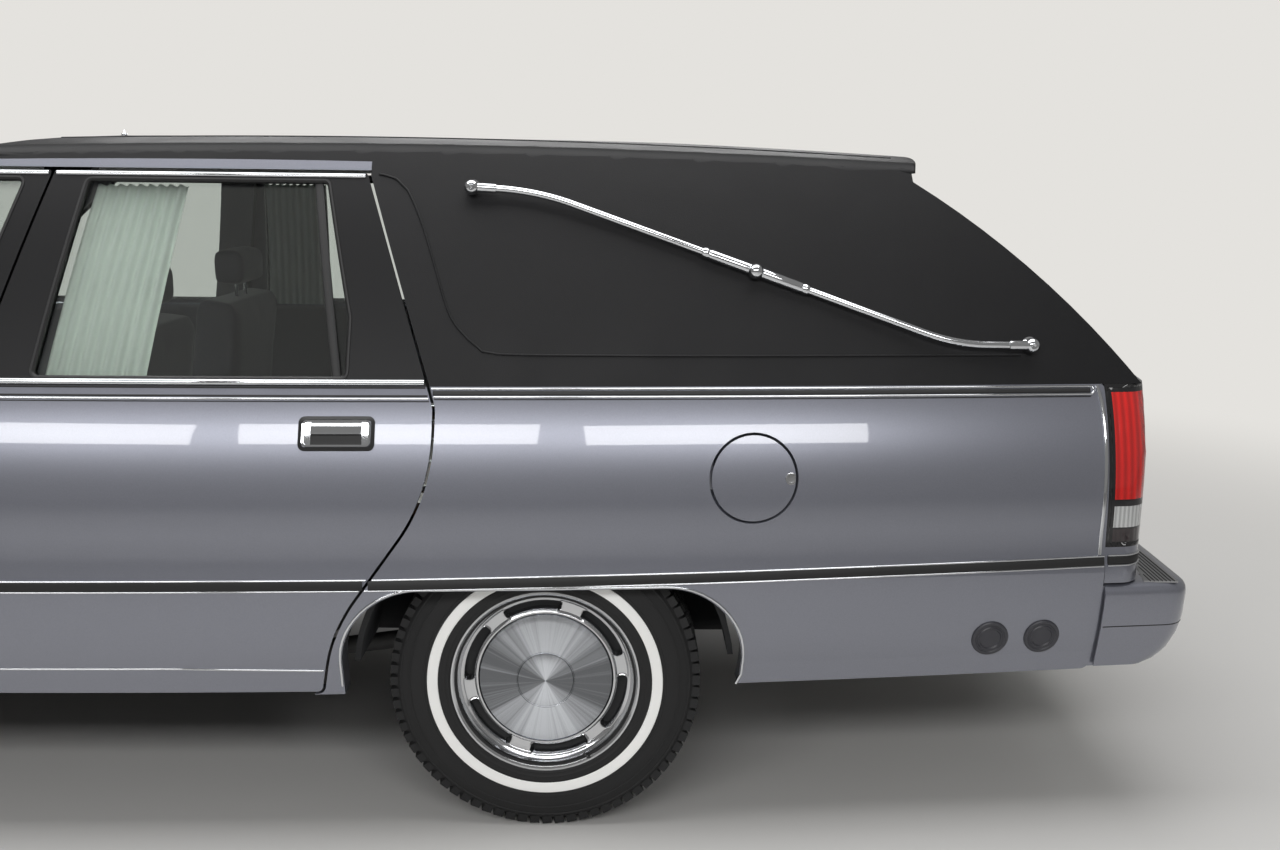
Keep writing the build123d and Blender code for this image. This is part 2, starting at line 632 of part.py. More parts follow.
tail_outer = tail_block(0, TAIL_LOWER, TAIL_CORNER_R)
tail_lamp_back = tail_block(LAMP_THICK, TAIL_LOWER, TAIL_CORNER_R - LAMP_THICK)
tail_inner = tail_block(TAIL_FRAME_THICK, TAIL_LOWER, 0)
lamp_zone = box((QUARTER_REAR_X + 8, REAR_X), (-REACH, -TAIL_DOOR_HALF - 8), (LAMP_LOW, LAMP_HIGH))
lamp = tidy((tail_outer - tail_lamp_back) & lamp_zone)[0]
lamp_room = box((QUARTER_REAR_X + 8 - SEAT_GAP, REAR_X), (-REACH, -TAIL_DOOR_HALF - 8 + SEAT_GAP),
                (LAMP_LOW - SEAT_GAP, LAMP_HIGH + SEAT_GAP))
lamp_room = lamp_room - tail_block(LAMP_THICK + SEAT_GAP, TAIL_LOWER, TAIL_CORNER_R - LAMP_THICK)
tail_frame = (tail_outer - tail_inner) & box((QUARTER_REAR_X + SEAT_GAP, REAR_X), (-REACH, REACH),
                                            (BUMPER_TOP + 4, BELT_Z))
tail_frame = tail_frame - rear_prism(TAIL_OUTLINE) - lamp_room - other_side(lamp_room)
arm_depth = TAIL_THICK + 8
leaf_room = tail_block(TAIL_FRAME_THICK - 1, TAIL_LOWER, 0) - tail_block(arm_depth + 10, TAIL_LOWER, 0)
pad_room = tail_block(TAIL_THICK + SEAT_GAP, TAIL_LOWER, 0)
arm_room = tail_block(arm_depth, TAIL_LOWER, 0)
leaf_y = -TAIL_DOOR_HALF - 1
pad_y = (leaf_y + 37, leaf_y + 65)
leaves = []
for low in TAIL_LEAF_Z:
    level = (low, low + TAIL_LEAF_HIGH)
    foot = leaf_room & box((2300, REAR_X), (leaf_y - 29, leaf_y), level)
    arm = leaf_room & arm_room & box((2300, REAR_X), (leaf_y - 29, pad_y[1]), level)
    pad = leaf_room & pad_room & box((2300, REAR_X), pad_y, level)
    leaves += [tidy(foot)[0], tidy(arm)[0], tidy(pad)[0]]
tail_frame = tidy(fuse([tidy(tail_frame)[0]] + leaves))
keep("tail_frame", tail_frame[0])
keep("tail_lamps", lamp, other_side(lamp))


def slanted_rear_prism(slant):
    """Outline of the loading door whose right-hand edge moves inwards with depth."""
    ref = REAR_X
    rows = []
    right = [(TAIL_DOOR_HALF - GAP, 300.0, 0.0), (TAIL_DOOR_HALF - GAP, BELT_Z - 20, 20.0),
             (TAIL_NECK_HALF - GAP, BELT_Z + 12, 20.0), (TAIL_HEAD_HALF - GAP, TAIL_HEAD_Z, 0.0),
             (TAIL_HEAD_HALF - 30, 1700.0, 0.0)]
    for y, z, radius in right:
        depth = ref - tail_x(y, z)
        rows.append((y + slant * depth, z, radius))
    far = [(-REACH - 400, 1700.0, 0.0), (-REACH - 400, 300.0, 0.0)]
    face = flat_face(rows + far, "YZ", ref)
    run = 900.0
    return Solid.extrude(face, Vector(-run, -slant * run, 0))


def tail_x(y, z):
    """Where the tail's outer surface is at a place seen from behind."""
    if z <= BELT_Z:
        middle = TAIL_LOWER[0][0]
    else:
        cx, cz, radius = circle_through(TAIL_BROW, TAIL_MID, TAIL_WAIST)
        middle = cx + math.sqrt(max(radius ** 2 - (z - cz) ** 2, 0))
        middle = max(middle, TAIL_BROW[0])
    return TAIL_AXIS_X + math.sqrt((middle - TAIL_AXIS_X) ** 2 - y ** 2)


def build_loading_door():
    door_rows = [(y, z, r) for y, z, r in TAIL_OUTLINE]
    face = offset(flat_face(door_rows, "YZ", 1500.0), -GAP).faces()[0]
    straight = Solid.extrude(face, Vector(REAR_X + 60 - 1500, 0, 0))
    low = tail_block(0, TAIL_LOWER, 0) - tail_block(TAIL_THICK, TAIL_LOWER, 0)
    low = low & box((2400, REAR_X), (-REACH, REACH), (0, BELT_Z)) & straight & slanted_rear_prism(0.12)
    high = (tail_slope(0) - tail_slope(SHELL_THICK * 0.8)) & straight & slanted_rear_prism(0.46)
    glass_face = flat_face(TAIL_WINDOW, "YZ", 1500.0)
    hole = Solid.extrude(glass_face, Vector(1400, 0, 0))
    grown = offset(glass_face, GLASS_LAP).faces()[0]
    glass = tidy((tail_slope(10) - tail_slope(15)) & Solid.extrude(grown, Vector(1400, 0, 0)))[0]
    grown = offset(glass_face, GLASS_LAP + SEAT_GAP).faces()[0]
    groove = (tail_slope(10 - SEAT_GAP) - tail_slope(15 + SEAT_GAP)) & Solid.extrude(grown, Vector(1400, 0, 0))
    high = high - hole - groove
    door = tidy(low)[0].fuse(tidy(high)[0])
    return tidy(door), glass


loading_door, tail_glass = build_loading_door()
keep("loading_door", loading_door[0])
keep("tail_glass", tail_glass)

# Front: fenders, hood and nose share one crowned, tapered shell
HOOD_HALF = 742.0
HOOD_REAR_X = -1078.0
HOOD_FRONT_X = -2606.0
FENDER_FRONT_X = -2566.0
FENDER_REAR_X = FRONT_EDGE_X - GAP
NOSE_CORNER_R = 60.0
FRONT_ARCH_R = 405.0
NOSE_FLOOR = 560.0


def nose_space(inset, corner):
    body = side_fill(LOWER_SECTION, inset) & plan_turned(NOSE_AXIS_X, NOSE_FACE, inset)
    body = tidy(body & box((FRONT_X - 50, -900), (-REACH, REACH), (0, 1200)))[0]
    if corner > 0:
        edges = [e for e in body.edges()
                 if e.center().X < -2450 and abs(e.center().Y) > 700 and abs(e.bounding_box().size.Z) > 50]
        body = body.fillet(corner, edges)
    return body & crowned(HOOD_TOP, inset)


front_skin = nose_space(0, NOSE_CORNER_R) - nose_space(FENDER_THICK, NOSE_CORNER_R - FENDER_THICK)
front_skin = front_skin & box((FRONT_X, FENDER_REAR_X), (-REACH, REACH), (SILL_Z + 8, 1200))
bumper_zone = box((FRONT_X - 50, -2440), (-REACH, REACH), (0, NOSE_FLOOR))
front_skin = front_skin - bumper_zone
arch_front = rod((FRONT_AXLE_X, -REACH, HUB_Z), (FRONT_AXLE_X, REACH, HUB_Z), FRONT_ARCH_R)
fender = front_skin & box((FENDER_FRONT_X, FENDER_REAR_X), (-REACH, -HOOD_HALF - GAP), (0, 1200))
fender = tidy(fender - arch_front)
keep("front_fenders", fender[0], other_side(fender[0]))
hood = (crowned(HOOD_TOP, 0) - crowned(HOOD_TOP, HOOD_THICK)) & box(
    (HOOD_FRONT_X, HOOD_REAR_X), (-HOOD_HALF, HOOD_HALF), (0, 1300))
keep("hood", tidy(hood)[0])

# Nose panel with its lamps and grille, seen from the front: rows of (y, z, fillet radius)
HEADLAMP = [(-790.0, 618.0, 12.0), (-790.0, 728.0, 12.0), (-395.0, 738.0, 12.0), (-395.0, 618.0, 12.0)]
GRILLE = [(-345.0, 612.0, 14.0), (-345.0, 742.0, 14.0), (345.0, 742.0, 14.0), (345.0, 612.0, 14.0)]


def nose_prism(rows, grow=0.0):
    face = flat_face(rows, "YZ", FRONT_X - 40)
    if grow:
        face = offset(face, grow).faces()[0]
    return Solid.extrude(face, Vector(500, 0, 0))


nose = front_skin & box((FRONT_X, FENDER_FRONT_X - GAP), (-REACH, REACH), (0, 1200))
nose = nose - box((HOOD_FRONT_X - GAP, 0), (-HOOD_HALF - GAP, HOOD_HALF + GAP), (0, 1200))
lamp_hole = nose_prism(HEADLAMP)
nose = tidy(nose - lamp_hole - other_side(lamp_hole) - nose_prism(GRILLE))
keep("nose_panel", nose[0])
lens = (nose_space(3, 0) - nose_space(24, 0)) & nose_prism(HEADLAMP, -SEAT_GAP)
lens = tidy(lens & box((FRONT_X, FENDER_FRONT_X - SEAT_GAP), (-REACH, REACH), (0, 1200)))[0]
keep("headlamps", lens, other_side(lens))


def build_grille():
    """Egg-crate grille: a frame with upright and level bars."""
    band = nose_space(4, 0) - nose_space(26, 0)
    frame = nose_prism(GRILLE, -SEAT_GAP) - nose_prism(GRILLE, -12.0)
    bars = [tidy(band & frame)[0]]
    for index in range(1, 12):
        y = GRILLE[0][0] + index * (2 * GRILLE[2][0]) / 12
        bars.append(tidy(band & box((FRONT_X, 0), (y - 3, y + 3), (GRILLE[0][1] + 6, GRILLE[1][1] - 6)))[0])
    for index in range(1, 4):
        z = GRILLE[0][1] + index * (GRILLE[1][1] - GRILLE[0][1]) / 4
        bars.append(tidy(band & box((FRONT_X, 0), (GRILLE[0][0] + 6, GRILLE[2][0] - 6), (z - 3, z + 3)))[0])
    return tidy(fuse(bars))


grille = build_grille()
keep("grille", grille[0])

# Bumpers
FRONT_BUMPER_FACE = [(-2700.0, NOSE_FLOOR - GAP), (-2746.0, 540.0), (FRONT_X, 505.0), (FRONT_X, 430.0),
                     (-2735.0, 365.0), (-2690.0, SILL_Z + 10)]
REAR_BUMPER_FACE = [(2715.0, BUMPER_TOP), (2746.0, BUMPER_TOP - 6), (REAR_X, BUMPER_TOP - 26),
                    (REAR_X, 470.0), (2738.0, 392.0), (2690.0, 354.0)]


def bumper_block(axis_x, rows, start, inset, corner):
    """Solid bumper: the body's plan with rounded corners, trimmed to the bumper's middle section."""
    end = rows[2][0]
    plan = plan_turned(axis_x, [(end, rows[0][1]), (end, rows[-1][1])], inset)
    low, high = (start, REAR_X + 50) if axis_x < 0 else (FRONT_X - 50, start)
    block = side_fill(LOWER_SECTION, inset - BUMPER_PROUD) & plan
    block = tidy(block & box((low, high), (-REACH, REACH), (rows[-1][1], rows[0][1])))[0]
    far = [e for e in block.edges() if abs(e.center().X) > abs(start) + 60
           and abs(e.center().Y) > 700 and abs(e.bounding_box().size.Z) > 12]
    return block.fillet(corner, far) & plan_turned(axis_x, rows, inset)


def bumper_shell(axis_x, rows, start):
    outer = bumper_block(axis_x, rows, start, 0, BUMPER_CORNER_R)
    inner = bumper_block(axis_x, rows, start, BUMPER_THICK, BUMPER_CORNER_R - BUMPER_THICK)
    return tidy(outer - inner)


front_bumper = bumper_shell(NOSE_AXIS_X, FRONT_BUMPER_FACE, -2440 - GAP)
rear_bumper = bumper_shell(REAR_BUMPER_AXIS_X, REAR_BUMPER_FACE, QUARTER_REAR_X + 4)
keep("front_bumper", front_bumper[0])
keep("rear_bumper", rear_bumper[0])

# Underbody
RAIL_WIDE = 76.0
RAIL_LOW = 236.0
RAIL_HIGH = FLOOR_Z - SEAT_GAP
REAR_FLOOR_Z = 562.0
KICK_X = 830.0
TUNNEL_HALF = 140.0
TUNNEL_TOP = 478.0
TUNNEL_SKIN = 14.0
HOUSE_IN_Y = 688.0
REAR_HALF_TRACK = 814.0
FRONT_HALF_TRACK = 788.5
LOAD_FLOOR_REAR = 2500.0

RISE_X = (600.0, 980.0)
ENGINE = ((-2110.0, -1410.0), (-265.0, 265.0), (330.0, 850.0))
TOWER_OUT = 436.0
TOWER_TOP = 470.0
SPRING_Y = 500.0
SPRING_R = 36.0

# Frame rail seen from above, rows of (x, centre distance from the middle)
RAIL_PLAN = [(-2420.0, 400.0), (-1320.0, 400.0), (-960.0, 640.0), (560.0, 640.0), (900.0, 480.0),
             (2480.0, 480.0)]
# Frame rail seen from the side, rows of (x, underside)
RAIL_SIDE = [(-2420.0, 330.0), (-1500.0, 330.0), (-1100.0, RAIL_LOW), (RISE_X[0], RAIL_LOW),
             (RISE_X[1], 480.0), (2480.0, 480.0)]


def rail_top(underside):
    return underside + (RAIL_HIGH - RAIL_LOW if underside < 400 else REAR_FLOOR_Z - SEAT_GAP - 480.0)


def bumper_room(axis_x, rows, start):
    """Room inside a bumper, up to its inner face."""
    return bumper_block(axis_x, rows, start, BUMPER_THICK + SEAT_GAP, BUMPER_CORNER_R - BUMPER_THICK)


def build_frame():
    """Perimeter frame: two bent rails, joined by cross members."""
    half = RAIL_WIDE / 2
    plan = [(x, -y - half, 0.0) for x, y in RAIL_PLAN] + [(x, -y + half, 0.0) for x, y in RAIL_PLAN[::-1]]
    side = [(x, z, 0.0) for x, z in RAIL_SIDE]
    side += [(x, rail_top(z), 0.0) for x, z in RAIL_SIDE[::-1]]
    left = Solid.extrude(flat_face(plan, "XY", 0), Vector(0, 0, 900))
    left = tidy(left & Solid.extrude(flat_face(side, "XZ", -REACH), Vector(0, 2 * REACH, 0)))[0]
    cross = [
        box((FRONT_AXLE_X - 70, FRONT_AXLE_X + 70), (-400, 400), (250, ENGINE[2][0] - SEAT_GAP)),
        box((-2400, -2340), (-400, 400), (340, 400)),
        box((-850, -770), (-640, 640), (RAIL_LOW, RAIL_LOW + 12)),
        box((960, 1020), (-480, 480), (490, 540)),
        box((2420, 2480), (-480, 480), (490, 550)),
    ]
    tower = box((FRONT_AXLE_X - 70, FRONT_AXLE_X + 70), (-TOWER_OUT, -364), (250, TOWER_TOP))
    cap = box((FRONT_AXLE_X - 46, FRONT_AXLE_X + 46), (-SPRING_Y - 44, -364), (TOWER_TOP, TOWER_TOP + 10))
    iron = box((-2740, -2400), (-430, -372), (370, 424))
    iron = iron & (bumper_room(NOSE_AXIS_X, FRONT_BUMPER_FACE, -2440 - GAP)
                   + box((-2447, -2400), (-500, 0), (300, 500)))
    rear_iron = box((2460, REAR_X), (-510, -452), (486, 546))
    rear_iron = rear_iron & (bumper_room(REAR_BUMPER_AXIS_X, REAR_BUMPER_FACE, QUARTER_REAR_X + 4)
                             + box((2450, QUARTER_REAR_X + 5), (-600, 0), (400, 600)))
    stay = box((-2400, -2370), (-390, -352), (380, 590))
    arm = box((-2720, -2370), (-390, -352), (568, 590)) & nose_space(FENDER_THICK + SEAT_GAP, 0)
    sides = [tower, cap, tidy(iron)[0], tidy(rear_iron)[0], stay, tidy(arm)[0]]
    return tidy(fuse([left, other_side(left)] + cross + sides + [other_side(s) for s in sides]))


def build_floor():
    """Floor pan with its tunnel, the rise to the load floor and the rear wheel houses."""
    start_x = FRONT_EDGE_X + GAP
    line = [(start_x, FLOOR_Z), (RISE_X[0], FLOOR_Z), (RISE_X[1], REAR_FLOOR_Z), (LOAD_FLOOR_REAR, REAR_FLOOR_Z)]
    rows = [(x, z, 0.0) for x, z in line] + [(x, z + FLOOR_THICK, 0.0) for x, z in line[::-1]]
    sheet = Solid.extrude(flat_face(rows, "XZ", -REACH), Vector(0, 2 * REACH, 0))
    low = side_fill(LOWER_SECTION, SILL_IN) & sheet & box((start_x, KICK_X), (-REACH, REACH), (0, 900))
    inner = side_fill(LOWER_SECTION, QUARTER_THICK + SEAT_GAP)
    high = inner & sheet & box((KICK_X, LOAD_FLOOR_REAR), (-REACH, REACH), (0, 900))
    step = box((KICK_X - 1, REAR_EDGE_X + 20), (-REACH, -700), (0, 800))
    high = high - step - other_side(step)
    tunnel = box((start_x, KICK_X), (-TUNNEL_HALF, TUNNEL_HALF), (FLOOR_Z, TUNNEL_TOP))
    bore = box((start_x - 1, KICK_X + 20), (-TUNNEL_HALF + TUNNEL_SKIN, TUNNEL_HALF - TUNNEL_SKIN),
               (FLOOR_Z - 5, TUNNEL_TOP - TUNNEL_SKIN))
    floor = fuse([tidy(low)[0], tidy(high)[0], tunnel]) - bore
    hub = (REAR_AXLE_X, HUB_Z)
    drum = rod((hub[0], -REACH, hub[1]), (hub[0], -HOUSE_IN_Y, hub[1]), HOUSE_OUT)
    hollow = rod((hub[0], -REACH, hub[1]), (hub[0], -HOUSE_IN_Y - HOUSE_SKIN, hub[1]), HOUSE_OUT - HOUSE_SKIN)
    above = box((hub[0] - 500, hub[0] + 500), (-REACH, 0), (hub[1] + 45, 900))
    house = tidy((drum - hollow) & above & inner)[0]
    wells = drum & above
    floor = floor - wells - other_side(wells)
    return tidy(fuse([tidy(floor)[0], house, other_side(house)]))


frame = build_frame()
keep("chassis_frame", frame[0])
floor = build_floor()
keep("floor_pan", floor[0])

# Cowl and dash
COWL_HALF = HOOD_HALF + GAP - SEAT_GAP
COWL_FRONT_X = HOOD_REAR_X + GAP + 6
FIREWALL_X = (FRONT_EDGE_X - 22, FRONT_EDGE_X - 2)


def build_cowl():
    """Cowl box under the screen's foot, the firewall below it and a rest for the hood's rear edge."""
    top = box((COWL_FRONT_X, FIREWALL_X[1]), (-COWL_HALF, COWL_HALF), (860, 1100)) & crowned(HOOD_TOP, 24)
    top = top - (screen_space(-3) & box((-1200, 0), (-REACH, REACH), (BELT_Z + 2, 1200)))
    rest = box((COWL_FRONT_X - 60, COWL_FRONT_X + 4), (-COWL_HALF + 40, COWL_HALF - 40), (860, 1100))
    rest = rest & crowned(HOOD_TOP, HOOD_THICK + SEAT_GAP) - crowned(HOOD_TOP, HOOD_THICK + 14)
    inside = side_fill(LOWER_SECTION, LOWER_POST_OUT)
    wall = inside & box(FIREWALL_X, (-REACH, REACH), (FLOOR_Z + FLOOR_THICK, 900))
    wall = wall - box((-1100, -900), (-TUNNEL_HALF, TUNNEL_HALF), (0, TUNNEL_TOP))
    edge = inside & box((FIREWALL_X[0], FRONT_EDGE_X + GAP - SEAT_GAP), (-REACH, -780), (FLOOR_Z + 20, 900))
    edge = tidy(edge)[0]
    return tidy(fuse([tidy(top)[0], tidy(rest)[0], tidy(wall)[0], edge, other_side(edge)]))


cowl = build_cowl()
keep("cowl", cowl[0])

DASH_REAR_X = -690.0
dash = box((FIREWALL_X[1] + SEAT_GAP, DASH_REAR_X), (-728, 728), (640, 930))
dash = dash.fillet(45, [e for e in dash.edges() if abs(e.center().X - DASH_REAR_X) < 1 and e.length > 900])
WHEEL_TILT = math.radians(24)
WHEEL_CENTRE = Vector(-470.0, -370.0, 905.0)
COLUMN = Vector(math.cos(WHEEL_TILT), 0, math.sin(WHEEL_TILT))
column_foot = WHEEL_CENTRE - COLUMN * 330
column_end = WHEEL_CENTRE - COLUMN * 92
column = rod(tuple(column_foot), tuple(column_end), 30)
keep("dash", tidy(dash.fuse(column))[0])


def build_steering_wheel():
    plane = Plane(origin=WHEEL_CENTRE, z_dir=COLUMN, x_dir=(0, 1, 0))
    rim = Solid.make_torus(188, 13, plane)
    hub = rod(tuple(column_end + COLUMN * SEAT_GAP), tuple(WHEEL_CENTRE + COLUMN * 6), 34)
    spoke = Solid.make_box(376, 34, 12).moved(Location((-188, -17, -14)))
    spoke = spoke.moved(plane.location)
    return tidy(fuse([hub, rim, spoke]))


steering = build_steering_wheel()
keep("steering_wheel", steering[0])

# Engine and driveline
engine = box(*ENGINE)
bell = box((ENGINE[0][1], -1060), (-165, 165), (252, 520))
gearbox = box((-1060, -640), (-100, 100), (RAIL_LOW + 12 + SEAT_GAP, 440))
keep("engine_block", tidy(fuse([engine, bell, gearbox]))[0])
shaft_start = (-640 + SEAT_GAP, 0, 345.0)
shaft_end = (REAR_AXLE_X - 150, 0, HUB_Z)
shaft = fuse([
    rod(shaft_start, shaft_end, 34),
    rod(shaft_start, (-570, 0, 345.0), 46),
    rod((REAR_AXLE_X - 215, 0, HUB_Z), (REAR_AXLE_X - 150, 0, HUB_Z), 46),
])
keep("driveshaft", tidy(shaft)[0])

DRUM_R = 140.0
MOUNT_INSET = 20.0


def coil(x, y, low, high, radius, turns):
    """Coil spring as a ribbed column."""
    pitch = (high - low) / turns
    core = radius - 12
    pieces = [rod((x, y, low), (x, y, high), core)]
    for index in range(turns):
        z = low + (index + 0.5) * pitch
        pieces.append(rod((x, y, z - 6), (x, y, z + 6), radius))
    return fuse(pieces)


def build_rear_axle():
    drum_face = REAR_HALF_TRACK - MOUNT_INSET - SEAT_GAP
    tube = rod((REAR_AXLE_X, -drum_face, HUB_Z), (REAR_AXLE_X, drum_face, HUB_Z), 38)
    case = rod((REAR_AXLE_X - 150 + SEAT_GAP, 0, HUB_Z), (REAR_AXLE_X + 110, 0, HUB_Z), 70)
    belly = rod((REAR_AXLE_X, -80, HUB_Z), (REAR_AXLE_X, 80, HUB_Z), 118)
    pieces = [tube, case, belly]
    for side in (-1, 1):
        pieces.append(rod((REAR_AXLE_X, side * (drum_face - 55), HUB_Z), (REAR_AXLE_X, side * drum_face, HUB_Z),
                          DRUM_R))
        seat = box((REAR_AXLE_X - 60, REAR_AXLE_X + 60), (side * 480 - 50, side * 480 + 50), (HUB_Z, HUB_Z + 48))
        pieces.append(seat)
        pieces.append(coil(REAR_AXLE_X, side * 480, HUB_Z + 48, 480 - SEAT_GAP, 46, 3))
        pieces.append(rod((REAR_AXLE_X, side * 430, HUB_Z - 30), (REAR_AXLE_X - 560, side * 560, 284), 22))
    return tidy(fuse(pieces))


rear_axle = build_rear_axle()
keep("rear_axle", rear_axle[0])

# Front suspension and steering knuckles
KINGPIN_Y = 690.0
ARM_LOW = (248.0, 284.0)
ARM_HIGH = (428.0, 462.0)


def build_front_arms():
    """Lower arm with its spring, and the upper arm, each ending in a ball joint boss."""
    pieces = []
    inner = TOWER_OUT + SEAT_GAP
    mouth = [(FRONT_AXLE_X + 70, -inner, 0.0), (FRONT_AXLE_X, -KINGPIN_Y + 60, 0.0),
             (FRONT_AXLE_X - 70, -inner, 0.0)]
    outline = [(FRONT_AXLE_X - 130, -inner, 0.0), (FRONT_AXLE_X - 26, -KINGPIN_Y, 0.0),
               (FRONT_AXLE_X + 26, -KINGPIN_Y, 0.0), (FRONT_AXLE_X + 130, -inner, 0.0)]
    for (z0, z1), rows in ((ARM_LOW, outline), (ARM_HIGH, outline + mouth)):
        mid = (z0 + z1) / 2
        plate = Solid.extrude(flat_face(rows, "XY", mid - 12), Vector(0, 0, 24))
        boss = rod((FRONT_AXLE_X, -KINGPIN_Y, z0), (FRONT_AXLE_X, -KINGPIN_Y, z1), 27)
        arm = plate.fuse(boss)
        if z0 == ARM_LOW[0]:
            arm = arm.fuse(coil(FRONT_AXLE_X, -SPRING_Y, mid + 11, TOWER_TOP - SEAT_GAP, SPRING_R, 5))
        pieces.append(tidy(arm)[0])
    return pieces


arms = build_front_arms()
keep("front_arms", *(arms + [other_side(a) for a in arms]))


def build_knuckle():
    post = rod((FRONT_AXLE_X, -KINGPIN_Y, ARM_LOW[1] + SEAT_GAP), (FRONT_AXLE_X, -KINGPIN_Y, ARM_HIGH[0] - SEAT_GAP),
               25)
    face = FRONT_HALF_TRACK - MOUNT_INSET - SEAT_GAP
    stub = rod((FRONT_AXLE_X, -KINGPIN_Y, HUB_Z), (FRONT_AXLE_X, -face, HUB_Z), 40)
    disc_brake = rod((FRONT_AXLE_X, -face + 34, HUB_Z), (FRONT_AXLE_X, -face, HUB_Z), DRUM_R)
    return tidy(fuse([post, stub, disc_brake]))[0]


knuckle = build_knuckle()
keep("knuckle_left", knuckle)
keep("knuckle_right", other_side(knuckle))

# Wheels and tyres, turned about the axle line; rows of (radius, distance outwards)
TYRE_R = HUB_Z
BEAD_R = 193.0
FLANGE_R = 208.0
TYRE_HALF = 107.0
SLOTS = 6
SLOT_RADII = (158.0, 180.0)
SLOT_ARC = 44.0
SLOT_START = 40.0
SLOT_DEEP = 40.0


def spun(rows, side, x, centre_y):
    """Turn a closed outline of lines about the axle; rows are (radius, outwards)."""
    points = [Vector(x + r, side * (centre_y + u), HUB_Z) for r, u in rows]
    face = Face(Wire.make_polygon(points, close=True))
    return revolve(face, axis=Axis((x, 0, HUB_Z), (0, 1, 0)), revolution_arc=360)


def build_tyre(side, x, centre_y):
    tread = TYRE_R
    rows = [
        (BEAD_R + SEAT_GAP, -96.0), (FLANGE_R + 4, -100.0), (235.0, -TYRE_HALF + 1), (268.0, -TYRE_HALF),
        (302.0, -101.0), (325.0, -90.0), (tread - 3, -74.0), (tread, -50.0),
        (tread, -27.0), (tread - 7, -26.0), (tread - 7, -20.0), (tread, -19.0),
        (tread, 19.0), (tread - 7, 20.0), (tread - 7, 26.0), (tread, 27.0),
        (tread, 50.0), (tread - 3, 74.0), (325.0, 90.0), (302.0, 101.0),
        (268.0, TYRE_HALF), (235.0, TYRE_HALF - 1), (FLANGE_R + 4, 100.0), (BEAD_R + SEAT_GAP, 96.0),
        (BEAD_R + SEAT_GAP, 84.0), (262.0, 92.0), (318.0, 72.0), (326.0, 30.0),
        (326.0, -30.0), (318.0, -72.0), (262.0, -92.0), (BEAD_R + SEAT_GAP, -84.0),
    ]
    return spun(rows, side, x, centre_y)


def slot_cutter(side, x, centre_y, index):
    """Prism through one of the cover's slots."""
    middle = math.radians(SLOT_START + index * 360 / SLOTS)
    low, high = (middle + sign * math.radians(SLOT_ARC / 2) for sign in (-1, 1))
    inner, outer = [
        [Vector(x + r * math.cos(t), side * (centre_y + SLOT_DEEP), HUB_Z + r * math.sin(t))
         for t in (low, middle, high)]
        for r in SLOT_RADII]
    edges = [
        Edge.make_three_point_arc(*inner),
        Edge.make_line(inner[2], outer[2]),
        Edge.make_three_point_arc(*outer[::-1]),
        Edge.make_line(outer[0], inner[0]),
    ]
    return Solid.extrude(Face(Wire(edges)), Vector(0, side * 80, 0))


def build_wheel(side, x, centre_y):
    """Pressed steel wheel with its slotted, domed cover."""
    seat = [(BEAD_R, 96.5), (FLANGE_R - 2, 99.5), (FLANGE_R + 1, 103.0), (FLANGE_R - 7, 104.5),
            (BEAD_R - 5, 99.0), (BEAD_R - 9, 70.0)]
    barrel = [(r, -u) for r, u in seat] + seat[::-1]
    cover = [
        (0.0, 92.0), (40.0, 90.0), (60.0, 84.0), (64.0, 70.0), (110.0, 76.0), (147.0, 74.0),
        (156.0, 66.0), (BEAD_R - 8, 70.0), (BEAD_R - 8, 61.0), (156.0, 57.0), (70.0, 60.0),
        (70.0, -MOUNT_INSET), (0.0, -MOUNT_INSET),
    ]
    wheel = tidy(fuse([spun(barrel, side, x, centre_y), spun(cover, side, x, centre_y)]))[0]
    for index in range(SLOTS):
        wheel = wheel - slot_cutter(side, x, centre_y, index)
    return tidy(wheel)[0]


for end, x, centre_y in (("front", FRONT_AXLE_X, FRONT_HALF_TRACK), ("rear", REAR_AXLE_X, REAR_HALF_TRACK)):
    for word, side in (("left", -1), ("right", 1)):
        keep(f"tyre_{end}_{word}", build_tyre(side, x, centre_y))
        keep(f"wheel_{end}_{word}", build_wheel(side, x, centre_y))

# Seats
SEAT_HALF_Y = (TUNNEL_HALF + 8, 660.0)


def build_seat(side):
    y = tuple(sorted((side * SEAT_HALF_Y[0], side * SEAT_HALF_Y[1])))
    base_z = FLOOR_Z + FLOOR_THICK + SEAT_GAP
    cushion = box((-380, 120), y, (base_z, 620))
    cushion = cushion.fillet(50, [e for e in cushion.edges() if e.center().Z > 619])
    front_x = 120 + SEAT_GAP
    back_rows = [(front_x, 400.0, 0.0), (front_x, 620.0, 240.0), (200.0, 1090.0, 50.0), (330.0, 1070.0, 50.0),
                 (262.0, 500.0, 60.0), (230.0, 400.0, 20.0)]
    back = Solid.extrude(flat_face(back_rows, "XZ", y[0]), Vector(0, y[1] - y[0], 0))
    rest_y = (sum(y) / 2 - 130, sum(y) / 2 + 130)
    rest = box((215, 315), rest_y, (1096, 1215))
    rest = rest.fillet(28, rest.edges())
    post = rod((266, sum(y) / 2, 1060), (266, sum(y) / 2, 1120), 9)
    return cushion, tidy(fuse([back, rest, post]))


cushion_left, back_left = build_seat(-1)
keep("seat_cushions", cushion_left, other_side(cushion_left))
keep("seat_backs", back_left[0], other_side(back_left[0]))

# Roller deck
DECK_X = (430.0, 2470.0)
DECK_HALF = 600.0
DECK_Z = (640.0, 664.0)
ROLLER_R = 15.0
ROLLER_LONG = 130.0
ROLLER_ROWS = 8
ROLLER_Y = 235.0


